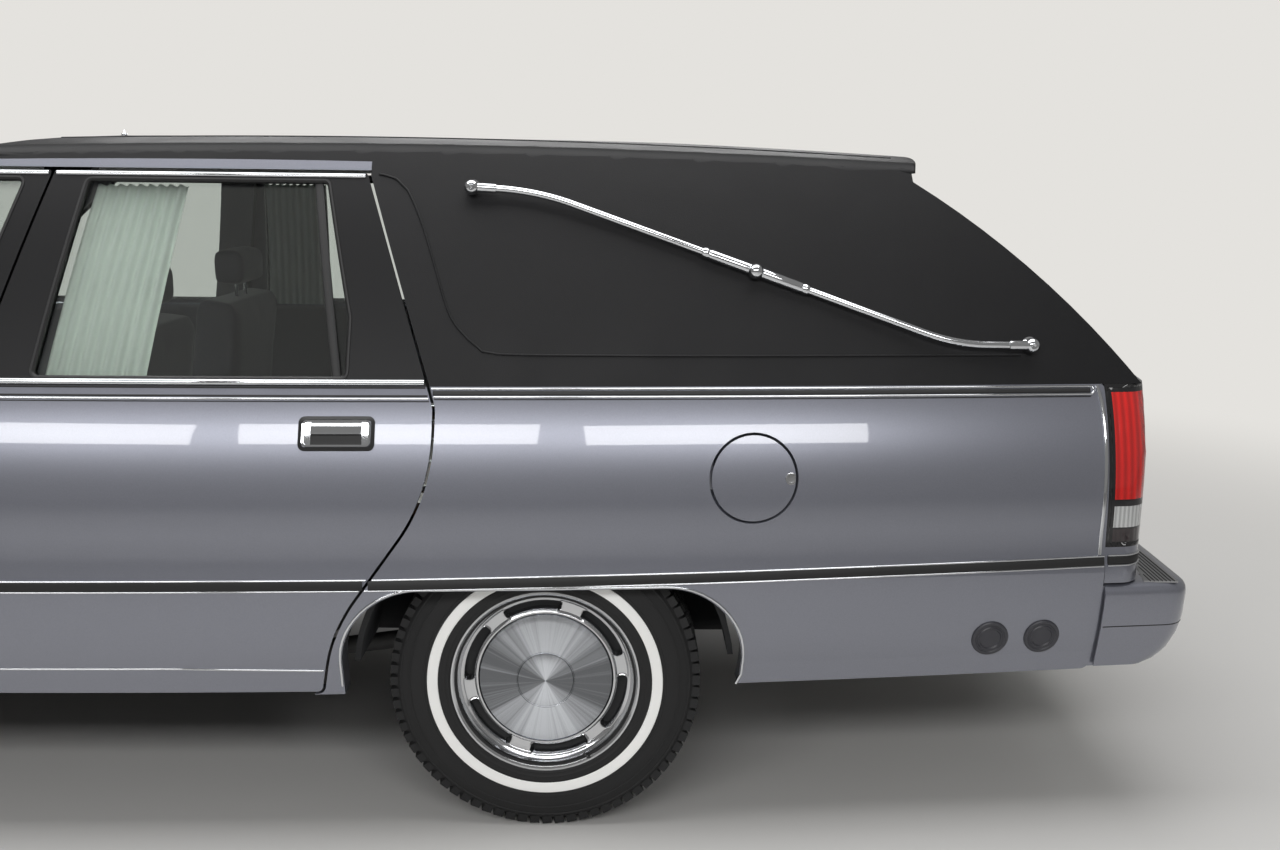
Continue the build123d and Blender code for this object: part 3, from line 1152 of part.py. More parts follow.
def build_deck():
    board = box(DECK_X, (-DECK_HALF, DECK_HALF), DECK_Z)
    bearers = [box((DECK_X[0], DECK_X[0] + 60), (-DECK_HALF, DECK_HALF), (FLOOR_Z + FLOOR_THICK + SEAT_GAP, 640))]
    for x in (950.0, 1650.0, 2350.0):
        bearers.append(box((x, x + 60), (-DECK_HALF, DECK_HALF), (REAR_FLOOR_Z + FLOOR_THICK + SEAT_GAP, 640)))
    way = box((DECK_X[0] - 1, KICK_X), (-TUNNEL_HALF - SEAT_GAP, TUNNEL_HALF + SEAT_GAP), (0, TUNNEL_TOP + SEAT_GAP))
    deck = fuse([board] + bearers) - way
    rollers = []
    pitch = (DECK_X[1] - DECK_X[0] - 240) / (ROLLER_ROWS - 1)
    for index in range(ROLLER_ROWS):
        x = DECK_X[0] + 120 + index * pitch
        for y in (-ROLLER_Y, ROLLER_Y):
            ends = (y - ROLLER_LONG / 2, y + ROLLER_LONG / 2)
            z = DECK_Z[1] - 4
            deck = deck - box((x - ROLLER_R - 3, x + ROLLER_R + 3), (ends[0] - SEAT_GAP, ends[1] + SEAT_GAP),
                              (DECK_Z[0] - 5, DECK_Z[1] + 5))
            rollers.append(rod((x, ends[0], z), (x, ends[1], z), ROLLER_R))
    return tidy(deck), rollers


deck, rollers = build_deck()
keep("roller_deck", deck[0])
keep("deck_rollers", *rollers)

# Curtains inside the rear door windows
CURTAIN = [(222.0, WINDOW_SILL - 8, 0.0), (286.0, WINDOW_HEAD + 8, 0.0), (484.0, WINDOW_HEAD + 8, 0.0),
           (438.0, WINDOW_SILL - 8, 0.0)]
curtain = side_wall(UPPER_SECTION, FRAME_THICK + SEAT_GAP, FRAME_THICK + 13) & side_prism(CURTAIN)
curtain = tidy(curtain)[0]
keep("curtain_left", curtain)
keep("curtain_right", other_side(curtain))

# Landau bars: a bar along each rear side, in an easy S, with balls at its ends and a centre sleeve
BAR_PLAN = [(REAR_AXLE_X - 170, 1406.0), (REAR_AXLE_X - 28, 1399.0), (REAR_AXLE_X + 893, 1080.0),
            (REAR_AXLE_X + 1066, 1077.0)]
BAR_STAND = 22.0
BAR_R = 8.5
BALL_R = 17.0
BAR_BENDS = (560.0, 380.0)
SLEEVE_HALF = 125.0
SLEEVE_R = 12.0
STUD_R = 9.0


def bar_point(x, z):
    return Vector(x, side_y(x, z) - BAR_STAND, z)


def bar_bend(p, q, r, radius):
    """Start, middle and end of the arc that rounds a corner of the bar."""
    u, v = (p - q).normalized(), (r - q).normalized()
    turn = math.pi - math.acos(max(-1, min(1, u.dot(v))))
    reach = radius * math.tan(turn / 2)
    centre = q + (u + v).normalized() * (radius / math.cos(turn / 2))
    return q + u * reach, centre + (q - centre).normalized() * radius, q + v * reach


def build_landau_bar():
    a, b, c, d = [bar_point(x, z) for x, z in BAR_PLAN]
    b0, bm, b1 = bar_bend(a, b, c, BAR_BENDS[0])
    c0, cm, c1 = bar_bend(b, c, d, BAR_BENDS[1])
    path = Wire([Edge.make_line(a, b0), Edge.make_three_point_arc(b0, bm, b1), Edge.make_line(b1, c0),
                 Edge.make_three_point_arc(c0, cm, c1), Edge.make_line(c1, d)])
    start = Plane(origin=a, z_dir=(b0 - a))
    middle = (b1 + c0) * 0.5
    along = (c0 - b1).normalized()
    pieces = [Solid.sweep(Wire.make_circle(BAR_R, start), path=path)]
    for spot, way in ((a, b0 - a), (d, d - c1), (middle, along)):
        pieces.append(Solid.make_sphere(BALL_R, Plane(origin=spot, z_dir=way), -90, 90, 360))
    pieces.append(rod(tuple(middle - along * SLEEVE_HALF), tuple(middle + along * SLEEVE_HALF), SLEEVE_R))
    for spot in (a, d):
        pieces.append(rod(tuple(spot), (spot.X, spot.Y + 60, spot.Z), STUD_R))
    return tidy(fuse(pieces) - side_fill(UPPER_SECTION, -SEAT_GAP))


bars = build_landau_bar()
keep("landau_bars", bars[0], other_side(bars[0]))

# Door mirrors
MIRROR_X = (-868.0, -776.0)


def build_mirror():
    y_skin = side_y(-820, 1010)
    head = box(MIRROR_X, (-1118, -948), (1016, 1136))
    head = head.fillet(24, head.edges())
    foot_rows = [(MIRROR_X[0] + 14, 1000.0, 0.0), (MIRROR_X[0] + 22, 1046.0, 0.0), (MIRROR_X[1] - 10, 1046.0, 0.0),
                 (MIRROR_X[1] + 6, 1000.0, 0.0)]
    foot = Solid.extrude(flat_face(foot_rows, "XZ", -960), Vector(0, 300, 0))
    foot = foot - side_fill(UPPER_SECTION, -SEAT_GAP)
    return tidy(fuse([head, tidy(foot)[0]]))


mirror_parts = build_mirror()
keep("mirror_left", mirror_parts[0])
keep("mirror_right", other_side(mirror_parts[0]))

# Fuel tank, exhaust and antenna
tank = box((1790, 2390), (-430, 250), (330, REAR_FLOOR_Z - SEAT_GAP))
keep("fuel_tank", tank.fillet(34, tank.edges()))


def pipe(points, radius, bend):
    """Round pipe of straight runs joined by tangent arcs."""
    path = FilletPolyline(*points, radius=bend)
    start = Plane(origin=points[0], z_dir=Vector(*points[1]) - Vector(*points[0]))
    return Solid.sweep(Wire.make_circle(radius, start), path=path.wire())


PIPE_R = 26.0
PIPE_Y = ENGINE[1][1] + PIPE_R + SEAT_GAP
EXHAUST = [(-1500.0, PIPE_Y, 380.0), (-1420.0, PIPE_Y, 300.0), (-1180.0, PIPE_Y, 286.0), (-980.0, 210.0, 280.0),
           (200.0, 270.0, 258.0), (760.0, 320.0, 258.0), (1000.0, 340.0, 440.0), (1480.0, 340.0, 440.0),
           (1760.0, 360.0, 276.0), (2350.0, 560.0, 290.0), (2660.0, 620.0, 300.0)]
exhaust = pipe(EXHAUST, PIPE_R, 60.0)
muffler = rod((230, 270, 258), (700, 314, 258), 70)
exhaust = tidy(fuse([exhaust, muffler]))
keep("exhaust", exhaust[0])
mast = fuse([rod((209, -300, 1500), (209, -300, 1534), 2.5), rod((209, -300, 1500), (209, -300, 1526), 7)])
keep("antenna", tidy(mast - box((100, 300), (-400, -200), (1400, 1520.1)))[0])

os.makedirs("parts", exist_ok=True)
for name, shape in NODES.items():
    export_step(shape, os.path.join("parts", name + ".step"))
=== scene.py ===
"""A coach-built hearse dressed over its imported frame: paint, vinyl, bright trim, tyres, lamps and cabin.

Sizes are in millimetres in the model's frame, +X to the rear, +Y to the right, +Z up, and are turned into
metres where a mesh is made.
"""
from __future__ import annotations

import json
import logging
import math
from contextlib import contextmanager
from dataclasses import dataclass, field
from enum import Enum
from typing import Callable, Iterable, Iterator, Sequence

import bmesh
import bpy
from mathutils import Matrix, Vector

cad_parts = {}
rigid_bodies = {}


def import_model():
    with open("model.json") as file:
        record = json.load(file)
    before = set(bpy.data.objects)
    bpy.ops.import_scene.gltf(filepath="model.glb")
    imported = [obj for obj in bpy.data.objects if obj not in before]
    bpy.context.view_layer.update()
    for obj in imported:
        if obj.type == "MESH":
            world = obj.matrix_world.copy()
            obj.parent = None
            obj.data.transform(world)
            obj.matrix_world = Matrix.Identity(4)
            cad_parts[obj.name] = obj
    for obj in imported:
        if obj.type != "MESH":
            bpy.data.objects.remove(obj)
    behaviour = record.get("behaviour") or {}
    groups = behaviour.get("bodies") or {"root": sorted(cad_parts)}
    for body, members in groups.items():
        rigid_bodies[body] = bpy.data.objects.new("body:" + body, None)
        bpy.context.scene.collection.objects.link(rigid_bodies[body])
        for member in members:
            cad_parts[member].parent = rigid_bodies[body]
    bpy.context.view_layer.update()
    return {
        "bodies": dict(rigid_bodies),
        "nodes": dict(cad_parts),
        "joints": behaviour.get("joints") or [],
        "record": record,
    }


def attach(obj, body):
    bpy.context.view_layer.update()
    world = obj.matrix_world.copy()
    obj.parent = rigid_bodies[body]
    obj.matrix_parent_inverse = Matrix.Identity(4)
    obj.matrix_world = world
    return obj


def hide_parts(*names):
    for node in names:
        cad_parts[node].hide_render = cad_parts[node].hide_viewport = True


LOG = logging.getLogger("hearse")
MM = 0.001

# Driving sizes of the car, as its solids have them
LENGTH = 5519.0
BODY_HALF = 1008.0
PLAN_RADIUS = 22000.0
REAR_X = LENGTH / 2
REAR_AXLE_X = REAR_X - 1475.0
FRONT_AXLE_X = REAR_AXLE_X - 2944.0
HUB_Z = 342.0
BELT_Z = 992.0
SILL_Z = 325.0
RIDGE_Z = 585.0
DOOR_TOP = 1434.0
FRONT_HALF_TRACK = 788.5
REAR_HALF_TRACK = 814.0

Point = tuple[float, float, float]
Row = tuple[float, float]
Mesh = tuple[list, list]
Out = tuple[bpy.types.Node, int | str]


def srgb(code: str) -> tuple[float, float, float, float]:
    """Turn a sRGB hex value, six digits with a leading mark, into a linear colour with an alpha of 1.

    Args:
        code: the hex value.

    Returns:
        Red, green, blue and alpha.
    """
    parts = [int(code[i:i + 2], 16) / 255 for i in (1, 3, 5)]
    linear = [p / 12.92 if p <= 0.04045 else ((p + 0.055) / 1.055) ** 2.4 for p in parts]
    return linear[0], linear[1], linear[2], 1.0


def add_node(tree: bpy.types.NodeTree, kind: str, values: dict | None = None,
             links: dict | None = None, **settings: object) -> bpy.types.Node:
    """Add a node with its settings, socket values and incoming links.

    Args:
        tree: the node tree that gets the node.
        kind: the node's type name.
        values: value of each input socket, by name or number.
        links: (node, output) that feeds each input socket, by name or number.
        settings: properties of the node itself.

    Returns:
        The new node.
    """
    node = tree.nodes.new(kind)
    for key, value in settings.items():
        setattr(node, key, value)
    for key, value in (values or {}).items():
        node.inputs[key].default_value = value
    for key, (source, output) in (links or {}).items():
        tree.links.new(source.outputs[output], node.inputs[key])
    return node


def sorted_terms(terms: Sequence[Out | float]) -> tuple[dict, dict]:
    """Part a node's terms into plain values and links, each by its socket's number."""
    values = {index: term for index, term in enumerate(terms) if not isinstance(term, tuple)}
    return values, {index: term for index, term in enumerate(terms) if isinstance(term, tuple)}


def maths(tree: bpy.types.NodeTree, operation: str, *terms: Out | float) -> Out:
    """Add a maths node whose terms are numbers or outputs of other nodes."""
    return add_node(tree, "ShaderNodeMath", *sorted_terms(terms), operation=operation), 0


def read_off(rows: Sequence[Row], place: float) -> float:
    """Read a value off rising rows of (place, value), with straight lines between them.

    Args:
        rows: the rows.
        place: where to read, held between the first and the last row.

    Returns:
        The value.
    """
    place = min(max(place, rows[0][0]), rows[-1][0])
    for (pa, va), (pb, vb) in zip(rows, rows[1:]):
        if place <= pb:
            return va + (place - pa) / (pb - pa) * (vb - va)
    return rows[-1][1]


def circle_through(p: Row, q: Row, r: Row) -> tuple[float, float, float]:
    """Find the circle through three points in a plane: both centre coordinates and the radius.

    Args:
        p: first point.
        q: second point.
        r: third point.

    Returns:
        Centre, as two numbers, and radius.
    """
    (ax, ay), (bx, by), (cx, cy) = p, q, r
    d = 2 * (ax * (by - cy) + bx * (cy - ay) + cx * (ay - by))
    a2, b2, c2 = ax * ax + ay * ay, bx * bx + by * by, cx * cx + cy * cy
    ux = (a2 * (by - cy) + b2 * (cy - ay) + c2 * (ay - by)) / d
    uy = (a2 * (cx - bx) + b2 * (ax - cx) + c2 * (bx - ax)) / d
    return ux, uy, math.hypot(ax - ux, ay - uy)


class Side(Enum):
    """The two sides of the car."""

    LEFT = -1
    RIGHT = 1

    @property
    def word(self) -> str:
        """The side's name in node names."""
        return self.name.lower()


class Skin:
    """An outer surface of the body as a distance rule, from which its shading normals follow."""

    def gap(self, x: float, y: float, z: float) -> float:
        """Distance of a point outside the surface, roughly, in millimetres."""
        raise NotImplementedError

    def normal(self, x: float, y: float, z: float) -> Vector:
        """Give the outward unit normal at a point.

        Args:
            x: place along the car.
            y: place across the car.
            z: height.

        Returns:
            A unit vector.
        """
        h = 0.5
        return Vector((
            self.gap(x + h, y, z) - self.gap(x - h, y, z),
            self.gap(x, y + h, z) - self.gap(x, y - h, z),
            self.gap(x, y, z + h) - self.gap(x, y, z - h),
        )).normalized()


@dataclass
class SideSkin(Skin):
    """The body's flanks: a section of arcs that follows a gently curved plan."""

    section: list = field(default_factory=lambda: [
        ((BODY_HALF - 46, SILL_Z), None, (BODY_HALF - 30, 390.0)),
        ((BODY_HALF - 30, 390.0), (BODY_HALF - 7, 490.0), (BODY_HALF, RIDGE_Z)),
        ((BODY_HALF, RIDGE_Z), (BODY_HALF - 9, 640.0), (BODY_HALF - 11, 690.0)),
        ((BODY_HALF - 11, 690.0), (BODY_HALF - 24, 822.0), (BODY_HALF - 93, BELT_Z)),
        ((BODY_HALF - 93, BELT_Z), (BODY_HALF - 198, 1222.0), (BODY_HALF - 368, 1520.0)),
    ])

    def half_width(self, z: float) -> float:
        """Give half the body's width at a height, at the middle of the car.

        Args:
            z: height above the ground.

        Returns:
            The half width.
        """
        for start, via, end in self.section:
            if z <= end[1]:
                if via is None:
                    share = (z - start[1]) / (end[1] - start[1])
                    return start[0] + share * (end[0] - start[0])
                cw, cz, radius = circle_through(start, via, end)
                reach = math.sqrt(max(radius ** 2 - (z - cz) ** 2, 0.0))
                return cw + math.copysign(reach, via[0] - cw)
        return self.section[-1][2][0]

    def plan_inset(self, x: float) -> float:
        """How far the flank has come in at a distance from the middle of the car."""
        return PLAN_RADIUS - math.sqrt(PLAN_RADIUS ** 2 - x ** 2)

    def gap(self, x: float, y: float, z: float) -> float:
        """Distance of a point outside the flank."""
        return abs(y) - (self.half_width(z) - self.plan_inset(x))

    def at(self, x: float, z: float, proud: float = 0.0, side: Side = Side.LEFT) -> Vector:
        """Give a point on the flank, or a distance outside it."""
        y = side.value * (self.half_width(z) - self.plan_inset(x))
        return Vector((x, y, z)) + self.normal(x, y, z) * proud


@dataclass
class CrownedSkin(Skin):
    """A roof or hood: an arc along the car with a flatter arc across it."""

    along: tuple[Row, Row, Row]
    crown: float

    def circle(self, y: float) -> tuple[float, float, float]:
        """Centre and radius of the arc along the car, at a place across it."""
        cx, cz, radius = circle_through(*self.along)
        return cx, cz, radius - (self.crown - math.sqrt(self.crown ** 2 - y ** 2))

    def gap(self, x: float, y: float, z: float) -> float:
        """Distance of a point above the surface."""
        cx, cz, radius = self.circle(y)
        return math.hypot(x - cx, z - cz) - radius

    def top(self, x: float, y: float) -> float:
        """Height of the surface at a place."""
        cx, cz, radius = self.circle(y)
        return cz + math.sqrt(radius ** 2 - (x - cx) ** 2)


@dataclass
class TurnedSkin(Skin):
    """A nose, tail or bumper face: a middle section of straight rows turned about an upright axis."""

    axis_x: float
    rows: Sequence[Row]

    def middle(self, z: float) -> float:
        """Where the face is at a height, at the middle of the car."""
        return read_off(sorted((z, x) for x, z in self.rows), z)

    def gap(self, x: float, y: float, z: float) -> float:
        """Distance of a point outside the face."""
        return math.hypot(x - self.axis_x, y) - abs(self.middle(z) - self.axis_x)

    def at(self, y: float, z: float, proud: float = 0.0) -> Vector:
        """Give a point on or off the face at a place across the car and a height.

        Args:
            y: place across the car.
            z: height.
            proud: distance outside the face.

        Returns:
            The point.
        """
        away = math.copysign(1.0, self.middle(z) - self.axis_x)
        reach = abs(self.middle(z) - self.axis_x) + proud
        return Vector((self.axis_x + away * math.sqrt(reach ** 2 - y ** 2), y, z))

    def outline(self, z: float, start_x: float, corner: float, proud: float = 0.0,
                inset: float = 0.0) -> list[Vector]:
        """Follow the body level round this end: left flank, corner, face, corner, right flank.

        Args:
            z: height of the line.
            start_x: where it starts on the flanks.
            corner: radius of the rounded corners.
            proud: how far the flanks stand outside the body's own.
            inset: how far the whole line is pulled inwards.

        Returns:
            Points from left to right, always the same number.
        """
        edge = 980.0
        while edge > -FLANK.at(self.at(edge, z, -inset).x, z).y + proud - inset:
            edge -= 0.5
        y0 = -FLANK.at(start_x, z).y + proud - inset
        inside = edge - 3 * corner
        face = [(self.at(inside * (1 - k / 12), z, -inset).x, inside * (1 - k / 12)) for k in range(13)]
        rows = bent_rows([(start_x, y0, 0.0), (self.at(edge, z, -inset).x, edge, corner), (*face[0], 0.0)],
                         10, closed=False)[1:-1]
        flank = [(start_x + (rows[0][0] - start_x) * k / 4, y0 + (rows[0][1] - y0) * k / 4) for k in range(4)]
        left = [Vector((x, -y, z)) for x, y in flank + rows + face]
        return left + [Vector((p.x, -p.y, p.z)) for p in left[-2::-1]]


@dataclass
class SlopeSkin(Skin):
    """The sloping tail above the belt: an arc turned about an upright axis."""

    axis_x: float = -534.5
    arc: tuple[Row, Row, Row] = ((2176.0, 1428.0), (2427.5, 1253.0), (2698.0, BELT_Z))

    def gap(self, x: float, y: float, z: float) -> float:
        """Distance of a point behind the slope.

        Args:
            x: place along the car.
            y: place across the car.
            z: height.

        Returns:
            The distance.
        """
        cx, cz, radius = circle_through(*self.arc)
        reach = math.hypot(x - self.axis_x, y) + self.axis_x
        return math.hypot(reach - cx, z - cz) - radius

    def x_at(self, y: float, z: float) -> float:
        """Where the slope is at a place seen from behind.

        Args:
            y: place across the car.
            z: height.

        Returns:
            Its place along the car.
        """
        cx, cz, radius = circle_through(*self.arc)
        middle = cx + math.sqrt(max(radius ** 2 - (z - cz) ** 2, 0.0))
        return self.axis_x + math.sqrt((middle - self.axis_x) ** 2 - y ** 2)


FLANK = SideSkin()
MAIN_ROOF = CrownedSkin(((-430.0, 1464.0), (300.0, 1482.0), (1060.0, 1478.0)), 10000.0)
CAP_ROOF = CrownedSkin(((60.0, 1526.0), (785.0, 1537.0), (2240.0, 1493.0)), 5200.0)
HOOD_TOP = CrownedSkin(((-1010.0, 1040.0), (-1850.0, 962.0), (-2640.0, 800.0)), 9000.0)
TAIL_LOWER = TurnedSkin(-534.5, [(2706.0, BELT_Z), (2716.0, 840.0), (2708.0, SILL_Z)])
TAIL_SLOPE = SlopeSkin()
NOSE_FACE = TurnedSkin(110.0, [(-2652.0, 1000.0), (-2696.0, 700.0), (-2690.0, SILL_Z)])
REAR_BUMPER = TurnedSkin(-9000.0, [(REAR_X, 556.0), (REAR_X, 470.0), (2753.0, 430.0), (2738.0, 392.0),
                                   (2718.0, 368.0), (2690.0, 354.0)])
FRONT_BUMPER = TurnedSkin(110.0, [(-REAR_X, 554.0), (-REAR_X, 430.0), (-2750.0, 392.0), (-2735.0, 365.0),
                                  (-2712.0, 346.0), (-2690.0, 335.0)])
SKINS = (FLANK, MAIN_ROOF, CAP_ROOF, HOOD_TOP, TAIL_LOWER, TAIL_SLOPE, NOSE_FACE)


def linked(name: str, data: bpy.types.ID) -> bpy.types.Object:
    """Make an object of some data and put it in the scene.

    Args:
        name: the object's name.
        data: its mesh, lamp or camera.

    Returns:
        The object.
    """
    made = bpy.data.objects.new(name, data)
    bpy.context.scene.collection.objects.link(made)
    return made


@contextmanager
def edited(mesh: bpy.types.Mesh) -> Iterator[bmesh.types.BMesh]:
    """Open a mesh for editing, and write it back afterwards.

    Args:
        mesh: the mesh.

    Returns:
        The mesh in its editable form, while the block runs.
    """
    build = bmesh.new()
    build.from_mesh(mesh)
    yield build
    build.to_mesh(mesh)
    build.free()


def finish_mesh(mesh: bpy.types.Mesh, crease: float) -> None:
    """Shade a mesh smooth, with its edges sharp from an angle in degrees."""
    mesh.shade_smooth()
    mesh.set_sharp_from_angle(angle=math.radians(crease))


def mesh_object(name: str, verts: Iterable[Sequence[float]], faces: Iterable[Sequence[int]],
                finishes: Sequence[Finish] = (), crease: float = 35.0) -> bpy.types.Object:
    """Make an object of a mesh given in millimetres, with its faces turned outwards.

    Args:
        name: the piece's name.
        verts: points in millimetres.
        faces: point numbers of each face.
        finishes: finishes in slot order.
        crease: angle in degrees from which an edge stays sharp.

    Returns:
        The object, linked into the scene.
    """
    mesh = bpy.data.meshes.new(name)
    mesh.from_pydata([Vector(v) * MM for v in verts], [], [list(f) for f in faces])
    with edited(mesh) as build:
        bmesh.ops.remove_doubles(build, verts=build.verts, dist=0.00002)
        bmesh.ops.recalc_face_normals(build, faces=build.faces)
    finish_mesh(mesh, crease)
    for finish in finishes:
        mesh.materials.append(finish.make())
    return linked(name, mesh)


def mirrored(points: Iterable[Sequence[float]], side: Side) -> list[Vector]:
    """Take points of the left-hand side to a side of the car."""
    return [Vector((p[0], -side.value * p[1], p[2])) for p in points]


def net_faces(rows: int, columns: int, round_rows: bool = False, round_columns: bool = False,
              first: int = 0) -> list[list[int]]:
    """Faces between the points of a net that is given row by row.

    Args:
        rows: rows of points.
        columns: points in each row.
        round_rows: True where the last row joins the first.
        round_columns: True where each row closes on itself.
        first: number of the net's first point.

    Returns:
        Four point numbers for each face.
    """
    faces = []
    for r in range(rows if round_rows else rows - 1):
        here, below = first + r * columns, first + (r + 1) % rows * columns
        for c in range(columns if round_columns else columns - 1):
            j = (c + 1) % columns
            faces.append([here + c, here + j, below + j, below + c])
    return faces


def loft(rings: Sequence[Sequence[Sequence[float]]], looped: bool = False) -> Mesh:
    """Points and faces of a skin over closed rings, with its ends closed unless it loops.

    Args:
        rings: rings of points, all with the same number.
        looped: True where the last ring joins the first.

    Returns:
        Points and faces.
    """
    count, last = len(rings[0]), (len(rings) - 1) * len(rings[0])
    faces = net_faces(len(rings), count, looped, True)
    if not looped:
        faces += [list(range(count)), [last + k for k in range(count)][::-1]]
    return [p for ring in rings for p in ring], faces


def turned(rows: Sequence[Row], steps: int, place: Callable[[float, float, float], Sequence[float]]) -> Mesh:
    """Turn an outline of (radius, outwards) about an axis.

    Args:
        rows: the outline, from the axis or closed where it starts off it.
        steps: points round the axis.
        place: gives a point for both shares of a radius square to the axis and a distance along it.

    Returns:
        Points and faces.
    """
    verts = []
    for k in range(steps):
        angle = 2 * math.pi * k / steps
        verts += [place(r * math.cos(angle), r * math.sin(angle), u) for r, u in rows]
    return verts, net_faces(steps, len(rows), True, min(rows[0][0], rows[-1][0]) > 0.01)


def join_parts(parts: Iterable[Mesh]) -> Mesh:
    """Put several meshes' points and faces into one.

    Args:
        parts: the meshes.

    Returns:
        Points and faces.
    """
    verts: list = []
    faces: list = []
    for more, new in parts:
        base = len(verts)
        verts += more
        faces += [[base + i for i in face] for face in new]
    return verts, faces


def swept(path: Sequence[Vector], outs: Sequence[Vector], profile: Sequence[Row],
          looped: bool = False) -> Mesh:
    """Sweep a closed profile along a path that lies on a surface.

    Args:
        path: points of the path.
        outs: outward direction at each point.
        profile: rows of (across the path, outwards), a closed outline.
        looped: True where the path closes on itself.

    Returns:
        Points and faces of the swept solid.
    """
    rings = []
    for index, (point, out) in enumerate(zip(path, outs)):
        before = path[index - 1] if index or looped else path[0]
        after = path[(index + 1) % len(path)] if index + 1 < len(path) or looped else path[-1]
        along = (after - before).normalized()
        across = out.cross(along).normalized()
        lift = along.cross(across)
        rings.append([point + across * a + lift * b for a, b in profile])
    return loft(rings, looped)


def tube(path: Sequence[Vector], radius: float, sides: int = 10) -> Mesh:
    """Points and faces of a round bar along a path.

    Args:
        path: points of its middle line.
        radius: its radius.
        sides: points round it.

    Returns:
        Points and faces.
    """
    up = Vector((0.0, 0.0, 1.0))
    outs = []
    for i in range(len(path)):
        along = (path[min(i + 1, len(path) - 1)] - path[max(i - 1, 0)]).normalized()
        side = up if abs(along.z) < 0.9 else Vector((1.0, 0.0, 0.0))
        outs.append((side - along * side.dot(along)).normalized())
    ring = [(radius * math.cos(2 * math.pi * k / sides), radius * math.sin(2 * math.pi * k / sides))
            for k in range(sides)]
    return swept(path, outs, ring)


def rounded_bar(width: float, height: float, steps: int = 5) -> list[Row]:
    """Outline of a trim strip as (across, outwards): its foot 1 mm below the surface, domed above.

    Args:
        width: its width.
        height: its height above the surface.
        steps: faces over the dome.

    Returns:
        The closed outline.
    """
    dome = []
    for k in range(steps + 1):
        angle = math.pi * k / steps
        dome.append((-width / 2 * math.cos(angle), height * math.sin(angle) ** 0.7))
    return [(width / 2, -1.0), (-width / 2, -1.0)] + dome


def smooth_line(rows: Sequence[Row], step: float = 25.0) -> list[Row]:
    """Points along a curve through rows, close enough together for a surface that bends.

    Args:
        rows: points that the curve passes through.
        step: greatest distance between the points given.

    Returns:
        The denser rows.
    """
    out: list[Row] = []
    last = len(rows) - 1
    for i in range(last):
        p0, p1, p2, p3 = rows[max(i - 1, 0)], rows[i], rows[i + 1], rows[min(i + 2, last)]
        count = max(1, int(math.dist(p1, p2) / step))
        for k in range(count):
            t = k / count
            out.append(tuple(
                0.5 * (2 * b + (c - a) * t + (2 * a - 5 * b + 4 * c - d) * t * t
                       + (3 * b - a - 3 * c + d) * t ** 3)
                for a, b, c, d in zip(p0, p1, p2, p3)))
    return out + [tuple(rows[last])]


def straight_line(rows: Sequence[Row], step: float = 60.0) -> list[Row]:
    """Points along straight runs between rows.

    Args:
        rows: ends of the runs.
        step: greatest distance between the points given.

    Returns:
        The denser rows.
    """
    out: list[Row] = []
    for a, b in zip(rows, rows[1:]):
        count = max(1, int(math.dist(a, b) / step))
        out += [(a[0] + (b[0] - a[0]) * k / count, a[1] + (b[1] - a[1]) * k / count) for k in range(count)]
    return out + [tuple(rows[-1])]


def level_path(rule: Callable[[float], float], low: float, high: float, step: float = 40.0) -> list[Row]:
    """Points of a nearly level line whose height follows a rule."""
    count = max(2, int((high - low) / step))
    return [(low + (high - low) * k / count, rule(low + (high - low) * k / count)) for k in range(count + 1)]


def bend(before: Vector, here: Vector, after: Vector, radius: float, steps: int) -> list[Vector]:
    """Points of the arc that rounds the corner at the second of three points, or none on a straight run.

    Args:
        before: the point before the corner.
        here: the corner.
        after: the point after it.
        radius: the arc's radius.
        steps: parts that the arc is divided into.

    Returns:
        The arc's points.
    """
    u, v = (before - here).normalized(), (after - here).normalized()
    turn = math.pi - u.angle(v)
    if turn < 0.01:
        return []
    reach = radius * math.tan(turn / 2)
    centre = here + (u + v).normalized() * (radius / math.cos(turn / 2))
    first, last = here + u * reach - centre, here + v * reach - centre
    return [centre + first.slerp(last, k / steps).normalized() * first.length for k in range(steps + 1)]


def bent_rows(corners: Sequence[Point], steps: int = 8, closed: bool = True) -> list[Row]:
    """Round the corners of an outline.

    Args:
        corners: rows of (first, second, radius).
        steps: points round each corner.
        closed: True where the outline closes on itself.

    Returns:
        Rows of the rounded outline.
    """
    out: list[Row] = []
    count = len(corners)
    for i, (x, y, radius) in enumerate(corners):
        arc = []
        if radius > 0 and (closed or 0 < i < count - 1):
            arc = bend(Vector(corners[i - 1][:2]), Vector((x, y)), Vector(corners[(i + 1) % count][:2]),
                       radius, steps)
        out += [tuple(p) for p in arc] or [(x, y)]
    return out


def closed_rows(corners: Sequence[Point], step: float) -> list[Row]:
    """Round the corners of a closed outline and divide its straight runs."""
    rows = bent_rows(corners)
    return straight_line(rows + [rows[0]], step)[:-1]


def on_flank(rows: Sequence[Row], side: Side, proud: float = 0.0) -> tuple[list[Vector], list[Vector]]:
    """Lay a line of (x, z), seen from the side, on the flank or outside it: points and outward directions."""
    path = [FLANK.at(x, z, proud, side) for x, z in rows]
    return path, [FLANK.normal(*p) for p in path]


def outward_in_plan(path: Sequence[Vector]) -> list[Vector]:
    """Level directions square to a path that runs round an end of the car.

    Args:
        path: points of the path.

    Returns:
        An outward direction for each point.
    """
    outs = []
    for i in range(len(path)):
        along = path[min(i + 1, len(path) - 1)] - path[max(i - 1, 0)]
        square = Vector((along.y, -along.x, 0.0)).normalized()
        outward = Vector((path[i].x, path[i].y * 0.4, 0.0))
        outs.append(square if square.dot(outward) > 0 else -square)
    return outs


